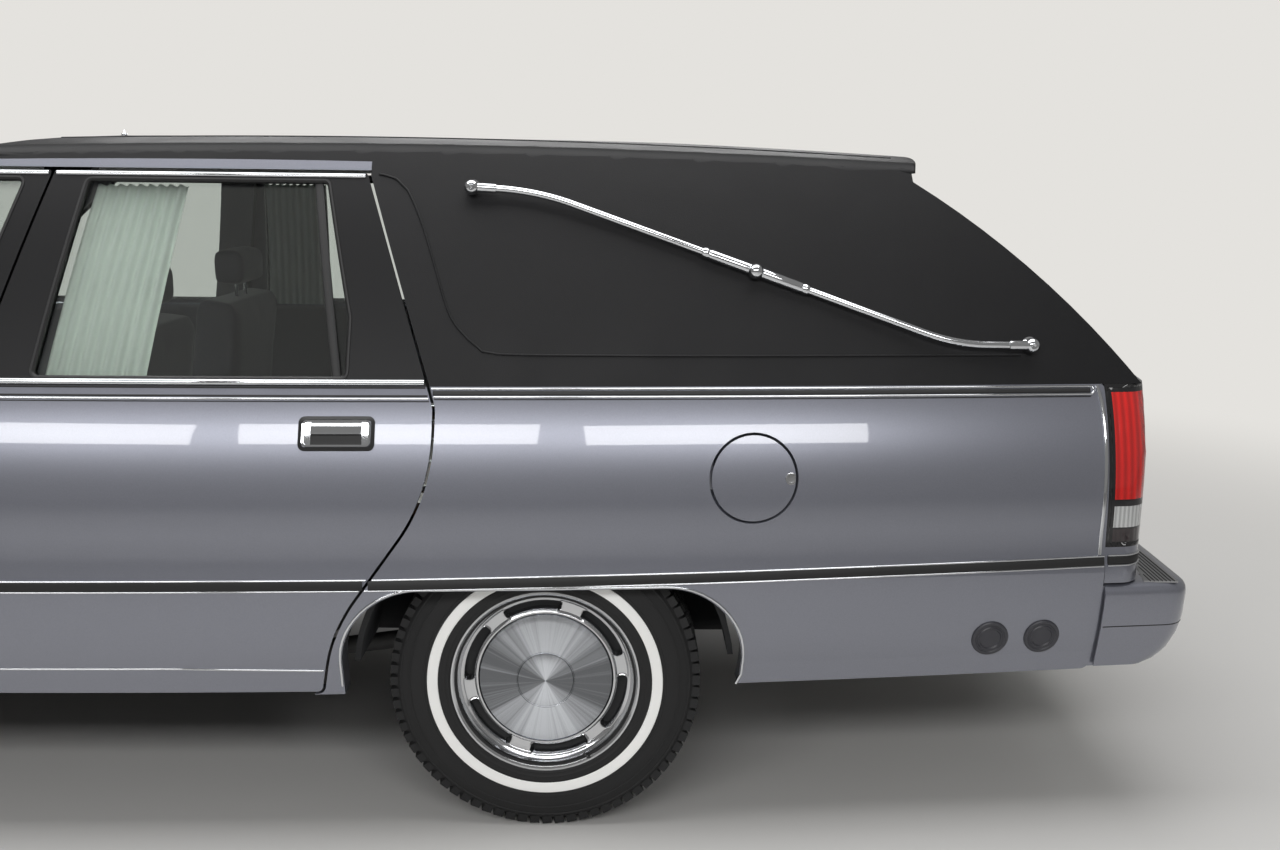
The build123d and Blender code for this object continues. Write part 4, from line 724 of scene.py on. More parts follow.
class Pattern:
    """The nodes of one finish, all on Object coordinates, with short calls for what most finishes need."""

    def __init__(self, tree: bpy.types.NodeTree, shader: bpy.types.Node, colour: str) -> None:
        """Start a pattern that feeds a shader, from the finish's colour.

        Args:
            tree: the material's node tree.
            shader: the shader that it feeds.
            colour: a hex value.
        """
        self.tree, self.shader, self.colour = tree, shader, srgb(colour)
        self.coordinates = add_node(tree, "ShaderNodeTexCoord")
        self.place: Out = (self.coordinates, "Object")

    def add(self, kind: str, values: dict | None = None, links: dict | None = None,
            **settings: object) -> Out:
        """Add a shading node and give its first output."""
        return add_node(self.tree, f"ShaderNode{kind}", values, links, **settings), 0

    def maths(self, operation: str, *terms: Out | float) -> Out:
        """Add a maths node and give its result."""
        return maths(self.tree, operation, *terms)

    def noise(self, scale: float, detail: float, place: Out | None = None, **values: float) -> Out:
        """Add a noise at a place, which is the piece's own coordinates unless one is given."""
        return self.add("TexNoise", {"Scale": scale, "Detail": detail, **values},
                        {"Vector": place or self.place})

    def level(self, value: Out, **limits: float) -> Out:
        """Map a value to other limits, named with underscores for spaces."""
        return self.add("MapRange", {key.replace("_", " "): limit for key, limit in limits.items()},
                        {"Value": value})

    def relief(self, height: Out, strength: float, depth_mm: float, below: Out | None = None) -> Out:
        """Turn a height into a relief of some depth, over another relief where one is given."""
        return self.add("Bump", {"Strength": strength, "Distance": depth_mm * MM},
                        {"Height": height, **({"Normal": below} if below else {})})

    def feed(self, socket: str, source: Out) -> None:
        """Feed one of the shader's sockets."""
        self.tree.links.new(source[0].outputs[source[1]], self.shader.inputs[socket])

    def tint(self, share: Out, dark: float, light: float = 1.0) -> None:
        """Let the colour go from a darker to a lighter one of itself, as a share says.

        Args:
            share: output that picks between both.
            dark: scale of the darker one.
            light: scale of the lighter one.
        """
        low, high = (tuple(min(1.0, c * scale) for c in self.colour[:3]) + (1.0,) for scale in (dark, light))
        mix, _ = self.add("Mix", {6: low, 7: high}, {0: share}, data_type="RGBA")
        self.feed("Base Color", (mix, 2))


@dataclass(frozen=True)
class Finish:
    """A plain finish: a colour with gloss, and a grain whose size is a real one."""

    name: str
    colour: str
    metallic: float = 0.0
    roughness: float = 0.5
    grain_mm: float = 0.0
    grain_depth: float = 0.0
    coat: float = 0.0
    coat_roughness: float = 0.03
    mottling: float = 0.0
    specular: float = 0.5

    def values(self) -> dict[str, object]:
        """Give the shader's fixed values."""
        return {"Base Color": srgb(self.colour), "Metallic": self.metallic, "Roughness": self.roughness,
                "Coat Weight": self.coat, "Coat Roughness": self.coat_roughness,
                "Specular IOR Level": self.specular}

    def dress(self, pattern: Pattern) -> None:
        """Add the grain and the slow change of colour.

        Args:
            pattern: the finish's nodes.
        """
        if self.grain_mm > 0:
            grain = pattern.noise(1000 / self.grain_mm, 3.0, Roughness=0.6)
            pattern.feed("Normal", pattern.relief(grain, 1.0, self.grain_depth))
        if self.mottling > 0:
            pattern.tint(pattern.noise(2.2, 4.0), 1 - self.mottling, 1 + self.mottling)

    def make(self) -> bpy.types.Material:
        """Make the material, or give it again if it was made before.

        Returns:
            The material.
        """
        made = bpy.data.materials.get(self.name)
        if made:
            return made
        material = bpy.data.materials.new(self.name)
        material.use_nodes = True
        tree = material.node_tree
        tree.nodes.clear()
        shader = add_node(tree, "ShaderNodeBsdfPrincipled", self.values())
        self.dress(Pattern(tree, shader, self.colour))
        add_node(tree, "ShaderNodeOutputMaterial", links={"Surface": (shader, 0)})
        return material


@dataclass(frozen=True)
class FlakePaint(Finish):
    """Metallic car enamel: fine aluminium flakes glitter under a clear, wet-looking lacquer."""

    flake_mm: float = 1.1

    def dress(self, pattern: Pattern) -> None:
        """Add flakes that tilt a little, drawn coarser than real ones so that they show.

        Args:
            pattern: the finish's nodes.
        """
        flakes, _ = pattern.add("TexVoronoi", {"Scale": 1000 / self.flake_mm}, {"Vector": pattern.place})
        pattern.tint((flakes, "Color"), 0.93, 1.07)
        pattern.feed("Normal", pattern.relief((flakes, "Distance"), 0.12, 0.02))


@dataclass(frozen=True)
class GrainedVinyl(Finish):
    """Embossed vinyl roof cloth: small irregular pebbles between fine valleys, with a soft shine."""

    pebble_mm: float = 3.0

    def dress(self, pattern: Pattern) -> None:
        """Add pebbles drawn twice as coarse as real ones, and slow undulations of the padding below.

        Args:
            pattern: the finish's nodes.
        """
        wander, _ = pattern.noise(400 / self.pebble_mm, 2.0)
        shift, _ = pattern.add("Mix", {0: 0.004}, {4: pattern.place, 5: (wander, "Color")},
                               data_type="VECTOR")
        pebbles = pattern.add("TexVoronoi", {"Scale": 1000 / self.pebble_mm}, {"Vector": (shift, 1)},
                              feature="DISTANCE_TO_EDGE")
        padding = pattern.noise(7.0, 1.0)
        slow = pattern.relief(padding, 1.0, 1.6)
        pattern.feed("Normal", pattern.relief(pebbles, 0.5, 0.5, slow))
        pattern.feed("Roughness", pattern.level(padding, To_Min=self.roughness - 0.06,
                                                To_Max=self.roughness + 0.1))


@dataclass(frozen=True)
class SpunSteel(Finish):
    """Sheet steel turned on a lathe: rings of fine scratches, with painted highlight spokes in its colour."""

    centre: Point = (0.0, 0.0, 0.0)
    ring_mm: float = 1.6

    def dress(self, pattern: Pattern) -> None:
        """Add scratches round the axle, coarser than real ones so that they show, and painted highlight
        spokes.

        Args:
            pattern: the finish's nodes.
        """
        middle = tuple(-c * MM for c in self.centre)
        about = pattern.add("Mapping", {"Location": middle}, {"Vector": pattern.place})
        parts, _ = pattern.add("SeparateXYZ", links={0: about})
        flat = pattern.add("CombineXYZ", links={"X": (parts, "X"), "Y": (parts, "Z")})
        radius, _ = pattern.add("VectorMath", links={0: flat}, operation="LENGTH")
        line = pattern.add("CombineXYZ", links={"X": (radius, "Value")})
        pattern.feed("Normal", pattern.relief(pattern.noise(1000 / self.ring_mm, 2.0, line), 0.4, 0.04))
        around = pattern.add("VectorMath", {1: (0.0, 1.0, 0.0)}, {0: about}, operation="CROSS_PRODUCT")
        pattern.feed("Tangent", around)
        pattern.shader.inputs["Anisotropic"].default_value = 0.8
        # Painted highlight: the colour goes from a third to one and a half of itself round the axle, in broad
        # spokes and fine streaks, standing in for reflected lamps.
        angle = pattern.maths("ARCTAN2", (parts, "Z"), (parts, "X"))
        broad_painted_spokes = pattern.maths("COSINE", pattern.maths("MULTIPLY_ADD", angle, 2.0, -3.0))
        ray = pattern.add("CombineXYZ", links={"X": pattern.maths("COSINE", angle),
                                               "Y": pattern.maths("SINE", angle)})
        painted_spoke_streaks = pattern.noise(7.0, 5.0, ray, Roughness=0.7)
        both = pattern.maths("MULTIPLY_ADD", broad_painted_spokes, 0.3, painted_spoke_streaks)
        pattern.tint(pattern.level(both, From_Min=0.25, From_Max=0.8), 0.34, 1.5)


@dataclass(frozen=True)
class CarGlass(Finish):
    """Toughened window glass with a faint grey-green tint."""

    def values(self) -> dict[str, object]:
        """Give the values of clear, refracting glass."""
        return {"Base Color": srgb(self.colour), "Roughness": self.roughness, "IOR": 1.45,
                "Transmission Weight": 1.0}


@dataclass(frozen=True)
class WovenCloth(Finish):
    """Woven cloth: crossing threads whose spacing is a real one, with a faint nap."""

    thread_mm: float = 1.5
    sheen: float = 0.3

    def values(self) -> dict[str, object]:
        """Give the values of dull cloth with its nap."""
        return {"Base Color": srgb(self.colour), "Roughness": self.roughness, "Sheen Weight": self.sheen,
                "Sheen Roughness": 0.4}

    def dress(self, pattern: Pattern) -> None:
        """Add crossing threads and a slow change of colour.

        Args:
            pattern: the finish's nodes.
        """
        threads = []
        for direction in ("X", "Z"):
            thread, _ = pattern.add("TexWave", {"Scale": 500 / self.thread_mm / 3.2, "Distortion": 0.6},
                                    {"Vector": pattern.place}, bands_direction=direction)
            threads.append((thread, 1))
        pattern.feed("Normal", pattern.relief(pattern.maths("MAXIMUM", *threads), 0.4, 0.2))
        pattern.tint(pattern.noise(9.0, 3.0), 0.86)


@dataclass(frozen=True)
class FlutedLens(Finish):
    """Moulded acrylic lamp lens: upright flutes behind a smooth, glossy face."""

    flute_mm: float = 9.0

    def dress(self, pattern: Pattern) -> None:
        """Add flutes that step along the car on its flank and across it on its ends, with painted highlights
        on their cores and painted shade between them.

        Args:
            pattern: the finish's nodes.
        """
        place, _ = pattern.add("SeparateXYZ", links={0: pattern.place})
        facing, _ = pattern.add("SeparateXYZ", links={0: (pattern.coordinates, "Normal")})
        endwise = pattern.maths("GREATER_THAN", *(pattern.maths("ABSOLUTE", (facing, axis)) for axis in "XY"))
        both = pattern.add("Mix", links={0: endwise, 2: (place, "X"), 3: (place, "Y")}, data_type="FLOAT")
        wave = pattern.maths("SINE", pattern.maths("MULTIPLY", both, 2 * math.pi / (self.flute_mm * MM)))
        pattern.feed("Normal", pattern.relief(wave, 0.35, 1.0))
        # Painted highlight and shade: each flute's colour is lightest on its core and falls to about three
        # fifths between flutes.
        pattern.tint(pattern.level(wave, From_Min=-1.0, From_Max=1.0), 0.62)


@dataclass(frozen=True)
class DeckVeneer(Finish):
    """Lacquered walnut veneer: long grain lines along the car under a satin lacquer."""

    grain_width_mm: float = 7.0

    def dress(self, pattern: Pattern) -> None:
        """Add the grain, stretched along the car.

        Args:
            pattern: the finish's nodes.
        """
        long = pattern.add("Mapping", {"Scale": (0.08, 1.0, 1.0)}, {"Vector": pattern.place})
        grain = pattern.noise(1000 / self.grain_width_mm, 6.0, long, Distortion=0.6)
        pattern.tint(grain, 0.45)
        pattern.feed("Normal", pattern.relief(grain, 0.3, 0.1))


# Car enamel under lacquer: deep reflections over a soft metallic sheen
PAINT = FlakePaint("grey_metallic_enamel", "#82848E", 0.72, 0.34, coat=1.0, coat_roughness=0.02)
# Vinyl roof cloth, almost black
VINYL = GrainedVinyl("black_roof_vinyl", "#0F0F11", 0.0, 0.5, specular=0.26)
# Chromed steel or zinc: a clean mirror with a faint blue cast
CHROME = Finish("bright_chrome_plate", "#D6D8DB", 1.0, 0.07, 9.0, 0.004)
# Polished steel of the wheel covers, a little softer than chrome
POLISHED = Finish("polished_cover_steel", "#C9CACC", 1.0, 0.16, 2.0, 0.006)
# Mouldings and seals of black rubber and plastic
SEAL = Finish("black_seal_rubber", "#141415", 0.0, 0.55, 1.2, 0.03)
# Moulded plugs in the quarters, dark grey with a soft shine
PLUG_RUBBER = Finish("dark_grey_moulded_rubber", "#34343A", 0.0, 0.38, 1.4, 0.03)
# Satin black paint and film on the door frames
FRAME_BLACK = Finish("satin_black_frame", "#0E0E10", 0.0, 0.45, 2.2, 0.04, mottling=0.08, specular=0.25)
# Tread and sidewall rubber, dull and slightly dusty
TYRE = Finish("tyre_rubber", "#161617", 0.0, 0.72, 2.6, 0.12, mottling=0.18)
# The tyre's white band, ground smooth
WHITEWALL = Finish("whitewall_rubber", "#F7F7F5", 0.0, 0.5, 3.0, 0.03, mottling=0.02)
# Black chassis paint, sprayed over rolled steel
CHASSIS = Finish("black_chassis_paint", "#1C1D1F", 0.1, 0.6, 3.0, 0.12, mottling=0.3)
# Rough castings of engine, axle and hubs
CASTING = Finish("grey_iron_casting", "#4A4A4A", 0.7, 0.62, 1.8, 0.25, mottling=0.25)
# Bare and aluminised steel of tank and pipes
BARE_STEEL = Finish("aluminised_steel", "#8D8C88", 0.9, 0.42, 4.0, 0.06, mottling=0.2)
# Moulded cabin plastic with a fine leather-like grain
PLASTIC = Finish("moulded_cabin_plastic", "#2C2D30", 0.0, 0.55, 1.4, 0.1)
# Toughened glass of the windows, and clear acrylic of the headlamps
GLASS = CarGlass("tinted_window_glass", "#DEE3E0", roughness=0.0)
LAMP_CLEAR = CarGlass("clear_lamp_lens", "#F2F4F4", roughness=0.02)
# Red acrylic of the tail lamps
LAMP_RED = FlutedLens("red_lamp_acrylic", "#D01A16", 0.0, 0.16, coat=1.0, flute_mm=16.0)
# Clear ribbed acrylic of the reversing lamps over a bright bowl
LAMP_WHITE = FlutedLens("clear_ribbed_acrylic", "#C9CBCB", 0.25, 0.14, coat=1.0, flute_mm=10.0)
# Smoked acrylic below it
LAMP_DARK = FlutedLens("smoked_lamp_acrylic", "#2B2023", 0.1, 0.14, coat=1.0, flute_mm=12.0)
# Amber acrylic of the front side lamps
LAMP_AMBER = FlutedLens("amber_lamp_acrylic", "#D0701A", 0.0, 0.16, coat=1.0, flute_mm=10.0)
# Glossy black frame of the lamps
LAMP_FRAME = Finish("gloss_black_lamp_frame", "#121214", 0.0, 0.2, 4.0, 0.01, coat=0.6)
# Woven cabin upholstery
SEAT_CLOTH = WovenCloth("grey_seat_cloth", "#6E6C73", 0.0, 0.85, thread_mm=2.4)
# Pleated curtain cloth, pale green-white
CURTAIN = WovenCloth("pale_curtain_cloth", "#E2EAE4", 0.0, 0.8, thread_mm=1.6, sheen=0.2)
# Headliner and trim of the load space
HEADLINER = WovenCloth("grey_headliner_cloth", "#8B8A8E", 0.0, 0.9, thread_mm=2.0)
# Soft vinyl of the door trims
DOOR_TRIM = Finish("grey_door_trim_vinyl", "#77767C", 0.0, 0.6, 2.4, 0.2, mottling=0.08)
# Looped nylon carpet
CARPET = Finish("grey_loop_carpet", "#3B3B40", 0.0, 0.95, 3.5, 1.2, mottling=0.2)
# Satin aluminium of the step pads and deck runners
ALUMINIUM = Finish("satin_extruded_aluminium", "#A9AAAC", 1.0, 0.34, 1.5, 0.02)
# Pale painted aluminium of the number plate blanks
PLATE = Finish("blank_plate_aluminium", "#D8D8D4", 0.2, 0.45, 6.0, 0.02)
# Lacquered walnut on the deck of the load space
VENEER = DeckVeneer("walnut_deck_veneer", "#6B452B", 0.0, 0.4, coat=0.5)

FRAME: dict = {}


def panel_copy(node: str, name: str, finish: Finish, crease: float = 28.0) -> bpy.types.Object:
    """Copy a node's mesh and shade its outer faces by the body's own surfaces.

    Args:
        node: the node to copy, which the copy then stands for.
        name: the new piece's name.
        finish: its first finish.
        crease: angle in degrees from which other edges stay sharp.

    Returns:
        The new object, not yet riding on a body.
    """
    mesh = FRAME["nodes"][node].data.copy()
    mesh.name = name
    mesh.materials.clear()
    with edited(mesh) as build:
        bmesh.ops.remove_doubles(build, verts=build.verts, dist=0.00003)
        bmesh.ops.dissolve_degenerate(build, edges=build.edges, dist=0.00002)
    finish_mesh(mesh, crease)
    normals = [Vector(corner.vector) for corner in mesh.corner_normals]
    points = [Vector(v.co) / MM for v in mesh.vertices]
    gaps = [[skin.gap(*p) for p in points] for skin in SKINS]
    for face in mesh.polygons:
        middle = Vector(face.center) / MM
        for skin, skin_gaps in zip(SKINS, gaps):
            near = [skin_gaps[v] for v in face.vertices]
            if max(near) - min(near) > 0.8 or abs(near[0]) > 62.0:
                continue
            for loop in face.loop_indices:
                spot = points[mesh.loops[loop].vertex_index]
                normal = skin.normal(*(spot + (middle - spot) * 0.04))
                share = normal.dot(face.normal)
                if abs(share) > 0.94:
                    normals[loop] = normal * math.copysign(1.0, share)
    mesh.normals_split_custom_set(normals)
    mesh.materials.append(finish.make())
    return linked(name, mesh)


def settle(piece: bpy.types.Object, body: str, slot: str, *replaced: str) -> None:
    """Put a piece on its body and hide what it stands for.

    Args:
        piece: the finished piece.
        body: the body that carries it.
        slot: the record's material slot; not used.
        replaced: nodes that it stands for.
    """
    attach(piece, body)
    if replaced:
        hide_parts(*replaced)
    LOG.info("%s rides on %s", piece.name, body)


def put(name: str, mesh: Mesh, finish: Finish, body: str, slot: str, *replaced: str,
        crease: float = 35.0) -> None:
    """Make a piece of one finish and settle it.

    Args:
        name: the piece's name.
        mesh: its points and faces.
        finish: its finish.
        body: the body that carries it.
        slot: the record's material slot.
        replaced: nodes that it stands for.
        crease: angle in degrees from which its edges stay sharp.
    """
    settle(mesh_object(name, *mesh, [finish], crease), body, slot, *replaced)


def split_at(piece: bpy.types.Object, planes: Sequence[tuple[str, float]], crease: float) -> None:
    """Cut a piece's faces along level or upright planes, without parting it.

    Args:
        piece: the piece to cut.
        planes: axis name and place in millimetres of each plane.
        crease: angle in degrees from which its edges stay sharp.
    """
    with edited(piece.data) as build:
        for axis, place in planes:
            normal = Vector([1.0 if axis == a else 0.0 for a in "xyz"])
            bmesh.ops.bisect_plane(build, geom=build.verts[:] + build.edges[:] + build.faces[:],
                                   plane_co=normal * place * MM, plane_no=normal)
    finish_mesh(piece.data, crease)


def recolour(piece: bpy.types.Object, finish: Finish,
             chosen: Callable[[float, float, float, Vector], bool]) -> None:
    """Give the faces that a rule picks another finish.

    Args:
        piece: the piece.
        finish: the faces' finish.
        chosen: says yes or no for a face's middle in millimetres and its normal.
    """
    piece.data.materials.append(finish.make())
    index = len(piece.data.materials) - 1
    for face in piece.data.polygons:
        if chosen(*(c / MM for c in face.center), face.normal):
            face.material_index = index


def as_finished(piece: bpy.types.Object) -> bpy.types.Object:
    """Turn an object with live modifiers into a plain mesh object of the same name.

    Args:
        piece: the object whose modifiers are to be applied.

    Returns:
        The plain object, linked into the scene.
    """
    bpy.context.view_layer.update()
    graph = bpy.context.evaluated_depsgraph_get()
    mesh = bpy.data.meshes.new_from_object(piece.evaluated_get(graph), depsgraph=graph)
    name = piece.name
    bpy.data.objects.remove(piece)
    mesh.name = name
    return linked(name, mesh)


def softened(piece: bpy.types.Object, width: float, segments: int = 3) -> bpy.types.Object:
    """Round a piece's hard edges over a width in millimetres, with some faces across it.

    Args:
        piece: the piece.
        width: width of the rounding.
        segments: faces across it.

    Returns:
        The plain, rounded piece.
    """
    bevel = piece.modifiers.new("edges", "BEVEL")
    bevel.width = width * MM
    bevel.segments = segments
    bevel.limit_method = "ANGLE"
    bevel.angle_limit = math.radians(40)
    done = as_finished(piece)
    finish_mesh(done.data, 40.0)
    return done


@dataclass
class Studio:
    """Camera, floor and light."""

    place: Point = (1443.2, -3499.6, 1418.2)
    yaw: float = 0.945
    pitch: float = 10.942
    roll: float = 0.646
    focal_px: float = 1250.0
    frame_px: int = 1280
    backdrop: str = "#E4E2DE"
    air: str = "#B4B3B1"
    floor_half: float = 60000.0

    def camera(self) -> None:
        """Stand the camera where the photographer stood."""
        data = bpy.data.cameras.new("photo_camera")
        data.sensor_width = 36.0
        data.lens = self.focal_px / self.frame_px * data.sensor_width
        data.clip_end = 200.0
        camera = linked("photo_camera", data)
        yaw, pitch, roll = (math.radians(a) for a in (self.yaw, self.pitch, self.roll))
        level = Vector((math.sin(yaw), math.cos(yaw), 0.0))
        right = Vector((level.y, -level.x, 0.0))
        look = level * math.cos(pitch) - Vector((0, 0, 1)) * math.sin(pitch)
        rise = right.cross(look)
        across = right * math.cos(roll) + rise * math.sin(roll)
        upward = rise * math.cos(roll) - right * math.sin(roll)
        turn = Matrix((across, upward, -look)).transposed().to_4x4()
        camera.matrix_world = Matrix.Translation(Vector(self.place) * MM) @ turn
        bpy.context.scene.camera = camera

    def seen(self, tree: bpy.types.NodeTree) -> Out:
        """Say where the camera looks, straight or through glass."""
        path = add_node(tree, "ShaderNodeLightPath")
        return maths(tree, "MAXIMUM", (path, "Is Camera Ray"), (path, "Is Transmission Ray"))

    def floor(self) -> None:
        """Lay a plain pale floor that melts into the backdrop away from the car."""
        finish = Finish("pale_floor", "#C9C8C6", 0.0, 0.7)
        tree = finish.make().node_tree
        out = next(n for n in tree.nodes if n.type == "OUTPUT_MATERIAL")
        shader = next(n for n in tree.nodes if n.type == "BSDF_PRINCIPLED")
        place = add_node(tree, "ShaderNodeTexCoord")
        far = add_node(tree, "ShaderNodeVectorMath", links={0: (place, "Object")}, operation="LENGTH")
        fade = add_node(tree, "ShaderNodeMapRange", {"From Min": 3.0, "From Max": 7.0},
                        {"Value": (far, "Value")},
                        interpolation_type="SMOOTHSTEP")
        share = maths(tree, "MULTIPLY", (fade, 0), self.seen(tree))
        glow = add_node(tree, "ShaderNodeEmission", {"Color": srgb(self.backdrop), "Strength": 1.0})
        mix = add_node(tree, "ShaderNodeMixShader", links={0: share, 1: (shader, 0), 2: (glow, 0)})
        tree.links.new(mix.outputs[0], out.inputs["Surface"])
        half = self.floor_half
        mesh_object("floor", [(-half, -half, 0), (half, -half, 0), (half, half, 0),
                                       (-half, half, 0)],
                             [(0, 1, 2, 3)], [finish])

    def lamp(self, name: str, place: Point, target: Point, size: Row, power: float) -> None:
        """Hang one soft lamp.

        Args:
            name: the lamp's name.
            place: where it hangs, in metres.
            target: what it faces, in metres.
            size: width and height in metres.
            power: power in watts.
        """
        data = bpy.data.lights.new(name, "AREA")
        data.shape = "RECTANGLE"
        data.size, data.size_y = size
        data.energy = power
        lamp = linked(name, data)
        lamp.location = place
        lamp.rotation_euler = (Vector(target) - Vector(place)).to_track_quat("-Z", "Y").to_euler()

    def light(self) -> None:
        """Light the car from above and from a row of soft boxes behind the camera, in pale surroundings."""
        world = bpy.data.worlds.new("studio_air")
        bpy.context.scene.world = world
        world.use_nodes = True
        tree = world.node_tree
        tree.nodes.clear()
        air, wall = (add_node(tree, "ShaderNodeBackground", {"Color": srgb(colour), "Strength": strength})
                     for colour, strength in ((self.air, 0.55), (self.backdrop, 1.0)))
        mix = add_node(tree, "ShaderNodeMixShader", links={0: self.seen(tree), 1: (air, 0), 2: (wall, 0)})
        add_node(tree, "ShaderNodeOutputWorld", links={"Surface": (mix, 0)})
        self.lamp("ceiling", (0.4, -0.5, 5.0), (0.4, 0.0, 0.5), (7.0, 3.0), 260.0)
        for index, x in enumerate((-2.6, 0.3, 3.2)):
            self.lamp(f"soft_box_{index}", (x, -6.6, 4.2), (x * 0.8, -0.9, 0.8), (2.5, 1.15), 80.0)
        self.lamp("far_side", (0.5, 6.0, 3.2), (0.5, 0.0, 0.6), (6.0, 1.6), 120.0)

    def build(self) -> None:
        """Set the whole studio."""
        bpy.context.scene.view_settings.view_transform = "Standard"
        self.camera()
        self.floor()
        self.light()


@dataclass
class PaintedBody:
    """The painted and vinyl-covered panels, shaded by their true surfaces."""

    frame_low: float = BELT_Z + 1.0
    lining_low: float = 400.0
    bezel_low: float = 640.0
    bezel_in: float = 700.0
    # Node, body, finish above the belt, finish of the faces that look into the cabin
    panels: Sequence[tuple[str, str, Finish | None, Finish | None]] = (
        ("roof_panel", "body", None, HEADLINER), ("side_frames", "body", FRAME_BLACK, HEADLINER),
        ("quarter_panels", "body", None, HEADLINER), ("tail_frame", "body", None, None),
        ("front_fenders", "body", None, None), ("nose_panel", "body", None, None),
        ("vinyl_shell", "body", None, HEADLINER),
        *((f"{door}_{side}", f"{door}_{side}", FRAME_BLACK, DOOR_TRIM)
          for side in ("left", "right") for door in ("front_door", "rear_door")),
        ("hood", "hood", None, None), ("fuel_door", "fuel_door", None, None),
        ("loading_door", "loading_door", VINYL, None))

    def looks_in(self, x: float, y: float, z: float, normal: Vector) -> bool:
        """Say whether a face looks into the cabin from the roof or a flank.

        Args:
            x: the face's middle along the car.
            y: its place across the car.
            z: its height.
            normal: its normal.

        Returns:
            True where it does.
        """
        overhead = max(MAIN_ROOF.gap(x, y, z), CAP_ROOF.gap(x, y, z)) < -20 and normal.z < -0.5
        beside = FLANK.gap(x, y, z) < -20 and normal.dot(FLANK.normal(x, y, z)) < -0.5
        return z >= self.lining_low and (overhead or beside)

    def build(self) -> None:
        """Make every panel: painted, with another finish above the belt and inside where it has one."""
        for node, body, upper, lining in self.panels:
            if node == "vinyl_shell":
                piece = panel_copy(node, "vinyl_top", VINYL, 40.0)
            else:
                piece = panel_copy(node, f"{node}_skin", PAINT)
            if upper:
                recolour(piece, upper, lambda x, y, z, normal: z > self.frame_low)
            if node == "tail_frame":
                split_at(piece, [("z", self.bezel_low), ("y", self.bezel_in), ("y", -self.bezel_in)], 28.0)
                recolour(piece, LAMP_FRAME,
                         lambda x, y, z, normal: z > self.bezel_low and abs(y) > self.bezel_in)
            if lining:
                recolour(piece, lining, self.looks_in)
            settle(piece, body, "vinyl" if node == "vinyl_shell" else "body_paint", node)


class RepeatTree:
    """A Geometry Nodes tree with named inputs that sets copies of a small block in place."""

    def __init__(self, name: str, **inputs: str) -> None:
        """Start the tree from the kind of each named input.

        Args:
            name: the tree's name.
            inputs: kind of each input, such as Int or Vector.
        """
        self.tree = bpy.data.node_groups.new(name, "GeometryNodeTree")
        self.sockets = {
            label: self.tree.interface.new_socket(name=label, in_out="INPUT",
                                                  socket_type=f"NodeSocket{kind}").identifier
            for label, kind in {**inputs, "Finish": "Material"}.items()
        }
        self.tree.interface.new_socket(name="Geometry", in_out="OUTPUT", socket_type="NodeSocketGeometry")
        self.start = add_node(self.tree, "NodeGroupInput")

    def close(self, points: bpy.types.Node, block: bpy.types.Node, turn: Out) -> None:
        """Set the block on the points, realize the copies, give them their finish and end the tree.

        Args:
            points: node that gives the places.
            block: node that gives the block.
            turn: output that turns each copy.
        """
        copies = add_node(self.tree, "GeometryNodeInstanceOnPoints",
                          links={"Points": (points, 0), "Instance": (block, 0), "Rotation": turn})
        real = add_node(self.tree, "GeometryNodeRealizeInstances", links={0: (copies, 0)})
        dressed = add_node(self.tree, "GeometryNodeSetMaterial",
                           links={"Geometry": (real, 0), "Material": (self.start, "Finish")})
        add_node(self.tree, "NodeGroupOutput", links={0: (dressed, 0)})

    def run(self, name: str, finish: Finish, **values: object) -> bpy.types.Object:
        """Make a plain piece of one finish with the tree, from its named inputs.

        Args:
            name: the piece's name.
            finish: its finish.
            values: the tree's inputs.

        Returns:
            The piece.
        """
        piece = linked(name, bpy.data.meshes.new(name))
        modifier = piece.modifiers.new("repeat", "NODES")
        modifier.node_group = self.tree
        modifier[self.sockets["Finish"]] = finish.make()
        for label, value in values.items():
            modifier[self.sockets[label]] = value
        return as_finished(piece)


class RingOfBlocks(RepeatTree):
    """Blocks evenly set round an axle line, such as a tyre's tread blocks."""

    def __init__(self) -> None:
        """Build the tree: a circle of points, a block on each, turned to face outwards."""
        super().__init__("ring_of_blocks", Count="Int", Radius="Float", Block="Vector", Skew="Float",
                         Phase="Float",
                         Centre="Vector")
        tree, start = self.tree, self.start
        line = add_node(tree, "GeometryNodeMeshLine", links={"Count": (start, "Count")})
        share = maths(tree, "DIVIDE", (add_node(tree, "GeometryNodeInputIndex"), 0), (start, "Count"))
        angle = maths(tree, "ADD", maths(tree, "MULTIPLY", share, 2 * math.pi), (start, "Phase"))
        way = add_node(tree, "ShaderNodeCombineXYZ",
                       links={"X": maths(tree, "COSINE", angle), "Z": maths(tree, "SINE", angle)})
        out = add_node(tree, "ShaderNodeVectorMath", links={0: (way, 0), "Scale": (start, "Radius")},
                       operation="SCALE")
        spot = add_node(tree, "ShaderNodeVectorMath", links={0: (out, 0), 1: (start, "Centre")},
                        operation="ADD")
        placed = add_node(tree, "GeometryNodeSetPosition", links={"Geometry": (line, 0),
                                                                  "Position": (spot, 0)})
        block = add_node(tree, "GeometryNodeMeshCube", links={"Size": (start, "Block")})
        skewed = add_node(tree, "ShaderNodeCombineXYZ", links={"X": (start, "Skew")})
        slanted = add_node(tree, "GeometryNodeTransform", links={"Geometry": (block, 0),
                                                                 "Rotation": (skewed, 0)})
        facing = add_node(tree, "ShaderNodeCombineXYZ", links={"Y": maths(tree, "MULTIPLY", angle, -1.0)})
        self.close(placed, slanted, (facing, 0))


class RowOfBars(RepeatTree):
    """Bars at even steps along a straight line, such as slats, ribs and runners."""

    def __init__(self) -> None:
        """Build the tree: a line of points with a bar on each."""
        super().__init__("row_of_bars", Count="Int", First="Vector", Step="Vector", Bar="Vector",
                         Turn="Vector")
        line = add_node(self.tree, "GeometryNodeMeshLine", links={
            "Count": (self.start, "Count"), "Start Location": (self.start, "First"),
            "Offset": (self.start, "Step")})
        bar = add_node(self.tree, "GeometryNodeMeshCube", links={"Size": (self.start, "Bar")})
        self.close(line, bar, (self.start, "Turn"))


